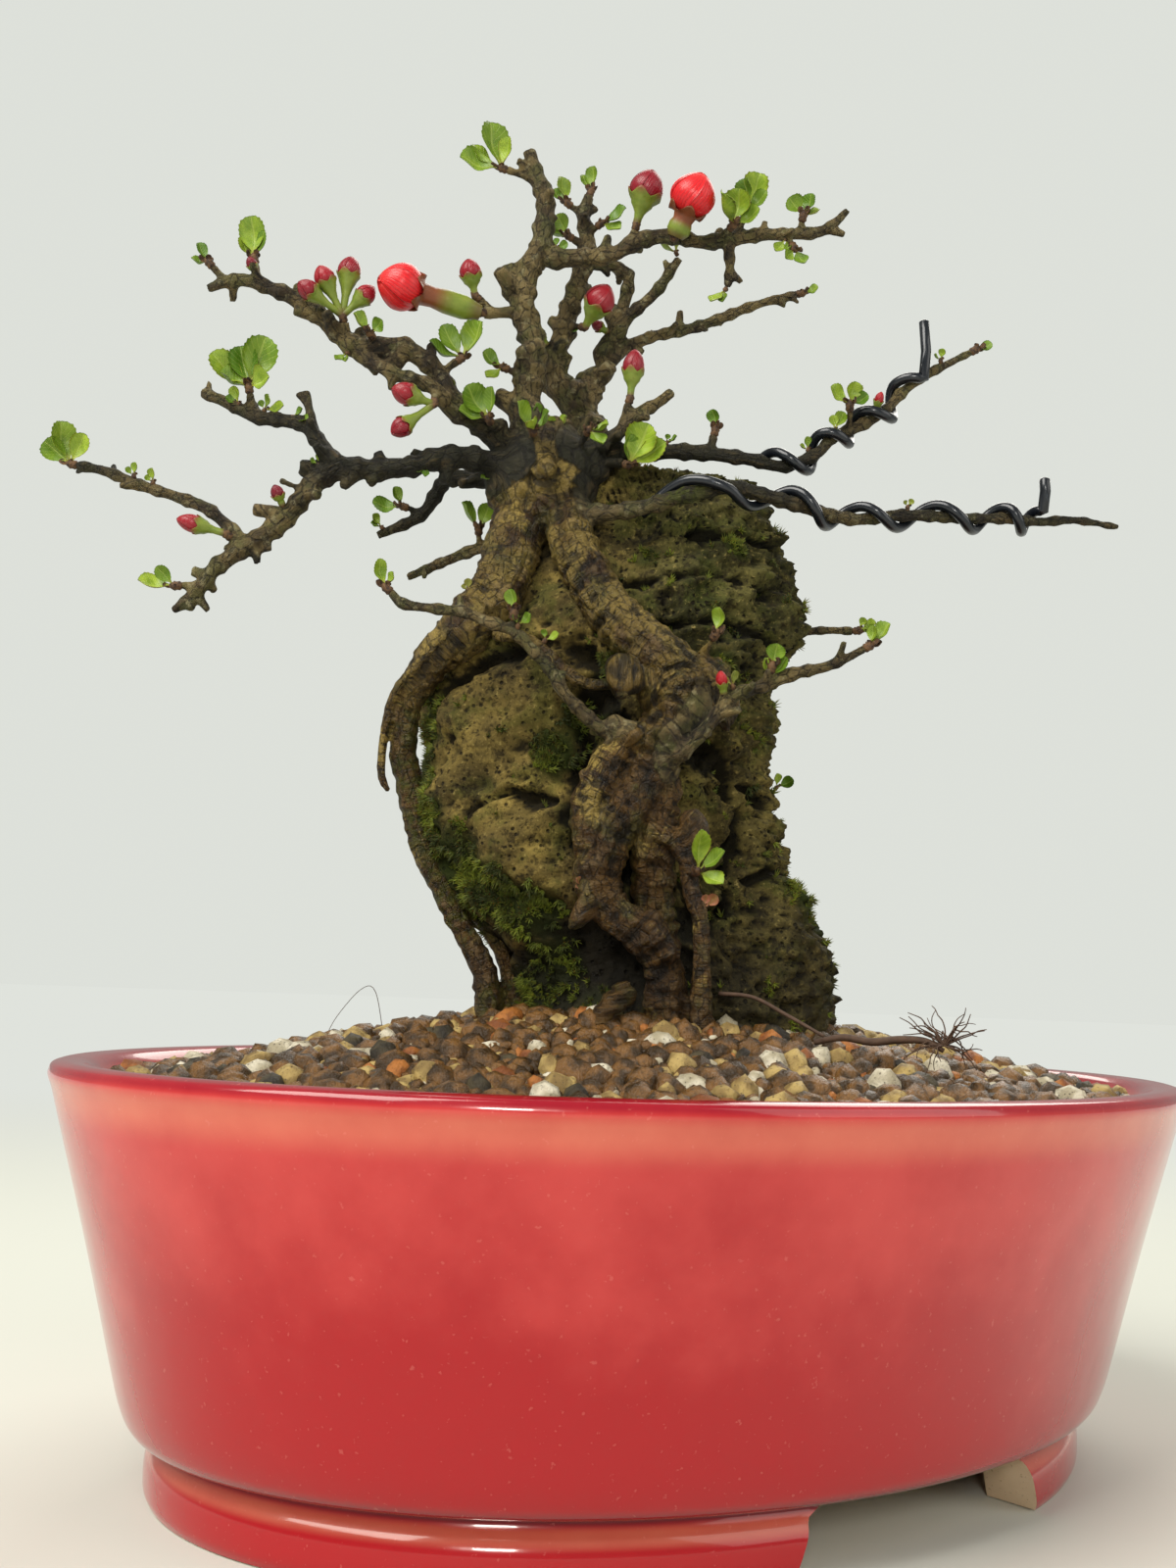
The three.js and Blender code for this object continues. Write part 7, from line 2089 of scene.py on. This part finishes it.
def gap_half_width(height):
    """Half the gap between the feet at a height: it narrows upwards."""
    share = clamp(height / FOOT_HEIGHT)
    return (FOOT_GAP_BOTTOM + (FOOT_GAP_TOP - FOOT_GAP_BOTTOM) * share) / 2 - 3 * max(share - 0.8, 0) / 0.2


def foot_mesh(side):
    """One foot: a stretch of the belt under the pot, with a cut end at each side of the gap."""
    section = rounded_section(FOOT_SECTION, 4)
    points = []
    for inset, height in section:
        limit = math.acos(gap_half_width(height) / (RIM_LENGTH / 2 - inset))
        for i in range(FOOT_SEGMENTS + 1):
            angle = (i / FOOT_SEGMENTS * 2 - 1) * limit
            x, y, z = oval(inset, angle, height)
            points.append((x * side, y, z))
    rows = len(section)
    columns = FOOT_SEGMENTS + 1
    last = (rows - 1) * columns
    faces = grid_faces(rows, columns, False)
    faces += [[last + i, last + i + 1, i + 1, i] for i in range(FOOT_SEGMENTS)]
    glazed = len(faces)
    for end in (0, columns - 1):
        ring = [row * columns + end for row in range(rows)]
        faces.append(ring if end == 0 else ring[::-1])
    if side < 0:
        faces = [face[::-1] for face in faces]
    return points, faces, glazed


def build_pot():
    """The bowl and its two feet as one piece, bare where the glaze was wiped off."""
    bowl, bowl_faces = bowl_mesh()
    parts = [(np.array(bowl), bowl_faces)]
    finishes = [0] * len(bowl_faces)
    for side in (-1, 1):
        points, faces, glazed = foot_mesh(side)
        parts.append((np.array(points), faces))
        finishes += [0] * glazed + [1] * (len(faces) - glazed)
    mesh = mesh_of("pot_glazed", *gathered(parts))
    mesh.materials.append(GLAZE)
    mesh.materials.append(BARE_CLAY)
    mesh.polygons.foreach_set("material_index", finishes)
    for face in mesh.polygons:
        x, y, z = face.center / MM
        under = z < 0.3 or (abs(z - FOOT_HEIGHT) < 0.6 and math.hypot(x / RIM_LENGTH, y / RIM_WIDTH) < 0.36)
        if under and face.normal.z < -0.8:
            face.material_index = 1
        if math.hypot(abs(x) - DRAIN_OFFSET, y) < DRAIN_DIAMETER / 2 + 0.1 and z < FLOOR_TOP:
            face.material_index = 1
    mesh.set_sharp_from_angle(angle=POT_EDGE_ANGLE)
    add_piece("pot_glazed", mesh, "glaze", "pot")


# Rootlets and hairs on the soil

def build_rootlets():
    """Loose dead rootlets on the soil, and a tangle of fine ones."""
    parts = []
    for number, points in enumerate(ROOTLETS):
        route = smooth_route(points, 0.5)
        parts.append(tube(route[:, :3], route[:, 3], 6, number))
    draw = random.Random(TANGLE_SEED)
    for _ in range(ROOTLET_TANGLE):
        at = np.array(TANGLE_MIDDLE, float)
        way = np.array([draw.uniform(-1, 1), draw.uniform(-0.6, 0.6), draw.uniform(0.1, 1.2)])
        path = []
        for step in range(7):
            path.append([*at, 0.16 - 0.016 * step])
            bend = [draw.uniform(-0.7, 0.7), draw.uniform(-0.5, 0.5), draw.uniform(-0.75, 0.45)]
            way = way + np.array(bend)
            at = at + way / np.linalg.norm(way) * draw.uniform(0.7, 1.5)
        route = smooth_route(path, 0.6)
        parts.append(tube(route[:, :3], np.maximum(route[:, 3], 0.05), 4))
    mesh = mesh_of("rootlets", *gathered(parts))
    mesh.materials.append(ROOTLET)
    add_piece("rootlets", mesh, "bark")


# Carried-over nodes, camera, light and floor

def finish_drainage():
    """Gives the screens and clips their finish, and leaves their meshes as they are."""
    for node, finish in (("drain_screen_left", SCREEN), ("drain_screen_right", SCREEN),
                         ("drain_clip_left", CLIP), ("drain_clip_right", CLIP)):
        mesh = frame["nodes"][node].data
        mesh.materials.clear()
        mesh.materials.append(finish)


def build_camera():
    """The camera that was fitted to the photo."""
    across = Vector((math.cos(FRONT_TURN), -math.sin(FRONT_TURN), 0))
    away = Vector((math.sin(FRONT_TURN), math.cos(FRONT_TURN), 0))
    rise = Vector((0, 0, 1))
    forward = away * math.cos(CAMERA_PITCH) + rise * math.sin(CAMERA_PITCH)
    upward = rise * math.cos(CAMERA_PITCH) - away * math.sin(CAMERA_PITCH)
    right = across * math.cos(CAMERA_ROLL) + upward * math.sin(CAMERA_ROLL)
    top = upward * math.cos(CAMERA_ROLL) - across * math.sin(CAMERA_ROLL)
    data = bpy.data.cameras.new("camera")
    data.sensor_width = SENSOR
    data.lens = FOCAL_PIXELS * SENSOR / PHOTO_HEIGHT
    data.clip_start = 0.01
    camera = object_of("camera", data)
    at = across * CAMERA_ACROSS + away * CAMERA_AWAY + rise * CAMERA_UP
    camera.matrix_world = Matrix.Translation(at * MM) @ Matrix((right, top, -forward)).transposed().to_4x4()
    bpy.context.scene.camera = camera


def add_light(name, at, target, size, power):
    """A warm oblong light that faces its target."""
    data = bpy.data.lights.new(name, "AREA")
    data.shape = "RECTANGLE"
    data.size, data.size_y = size
    data.energy = power
    data.color = WARM
    light = object_of(name, data)
    way = Vector(target) - Vector(at)
    light.matrix_world = Matrix.Translation(at) @ way.to_track_quat("-Z", "Y").to_matrix().to_4x4()


def from_front(across, away, up):
    """A place seen from the tree's front, in metres, for lights."""
    x = across * math.cos(FRONT_TURN) + away * math.sin(FRONT_TURN)
    y = away * math.cos(FRONT_TURN) - across * math.sin(FRONT_TURN)
    return (x, y, up)


def build_studio():
    """The plain backdrop, a paper floor that fades into it, and the lights."""
    bpy.context.scene.view_settings.view_transform = "Standard"
    world = bpy.data.worlds.new("studio")
    bpy.context.scene.world = world
    world.use_nodes = True
    background = world.node_tree.nodes["Background"]
    background.inputs[0].default_value = BACKDROP
    backdrop = world.node_tree.nodes.new("ShaderNodeLightPath")
    brightness = world.node_tree.nodes.new("ShaderNodeMapRange")
    brightness.inputs["To Min"].default_value = SURROUND_LIGHT
    brightness.inputs["To Max"].default_value = BACKDROP_LIGHT
    world.node_tree.links.new(backdrop.outputs["Is Camera Ray"], brightness.inputs["Value"])
    world.node_tree.links.new(brightness.outputs["Result"], background.inputs[1])
    points = [(FLOOR_REACH * math.cos(a), FLOOR_REACH * math.sin(a), FLOOR_LEVEL)
              for a in angles_round(FLOOR_SIDES)]
    points.append((0, 0, FLOOR_LEVEL))
    faces = [[FLOOR_SIDES, i, (i + 1) % FLOOR_SIDES] for i in range(FLOOR_SIDES)]
    floor = object_of("floor", mesh_of("floor", np.array(points), faces, 1))
    paper = Finish("paper_floor", Emission_Strength=BACKDROP_LIGHT, Specular_IOR_Level=0.1)
    split = paper.node("ShaderNodeSeparateXYZ", None, {0: paper.where})
    x, y = Amount(paper, split.outputs[0]), Amount(paper, split.outputs[1])
    far = ((x * x + y * y) ** 0.5).between(*FLOOR_FADE)
    black = (0, 0, 0, 1)
    floor.data.materials.append(paper.done(paper.mix(far, colour("cbcdc5"), black), 0.8,
                                           Emission_Color=paper.mix(far, black, BACKDROP)))
    for name, at, target, size, power in LIGHTS:
        add_light(name, from_front(*at), target, size, power)


build_camera()
build_studio()
finish_drainage()
build_pot()
build_soil()
stone = build_rock()
build_moss(stone)
build_wood()
build_leaves()
build_buds()
build_wires()
build_rootlets()
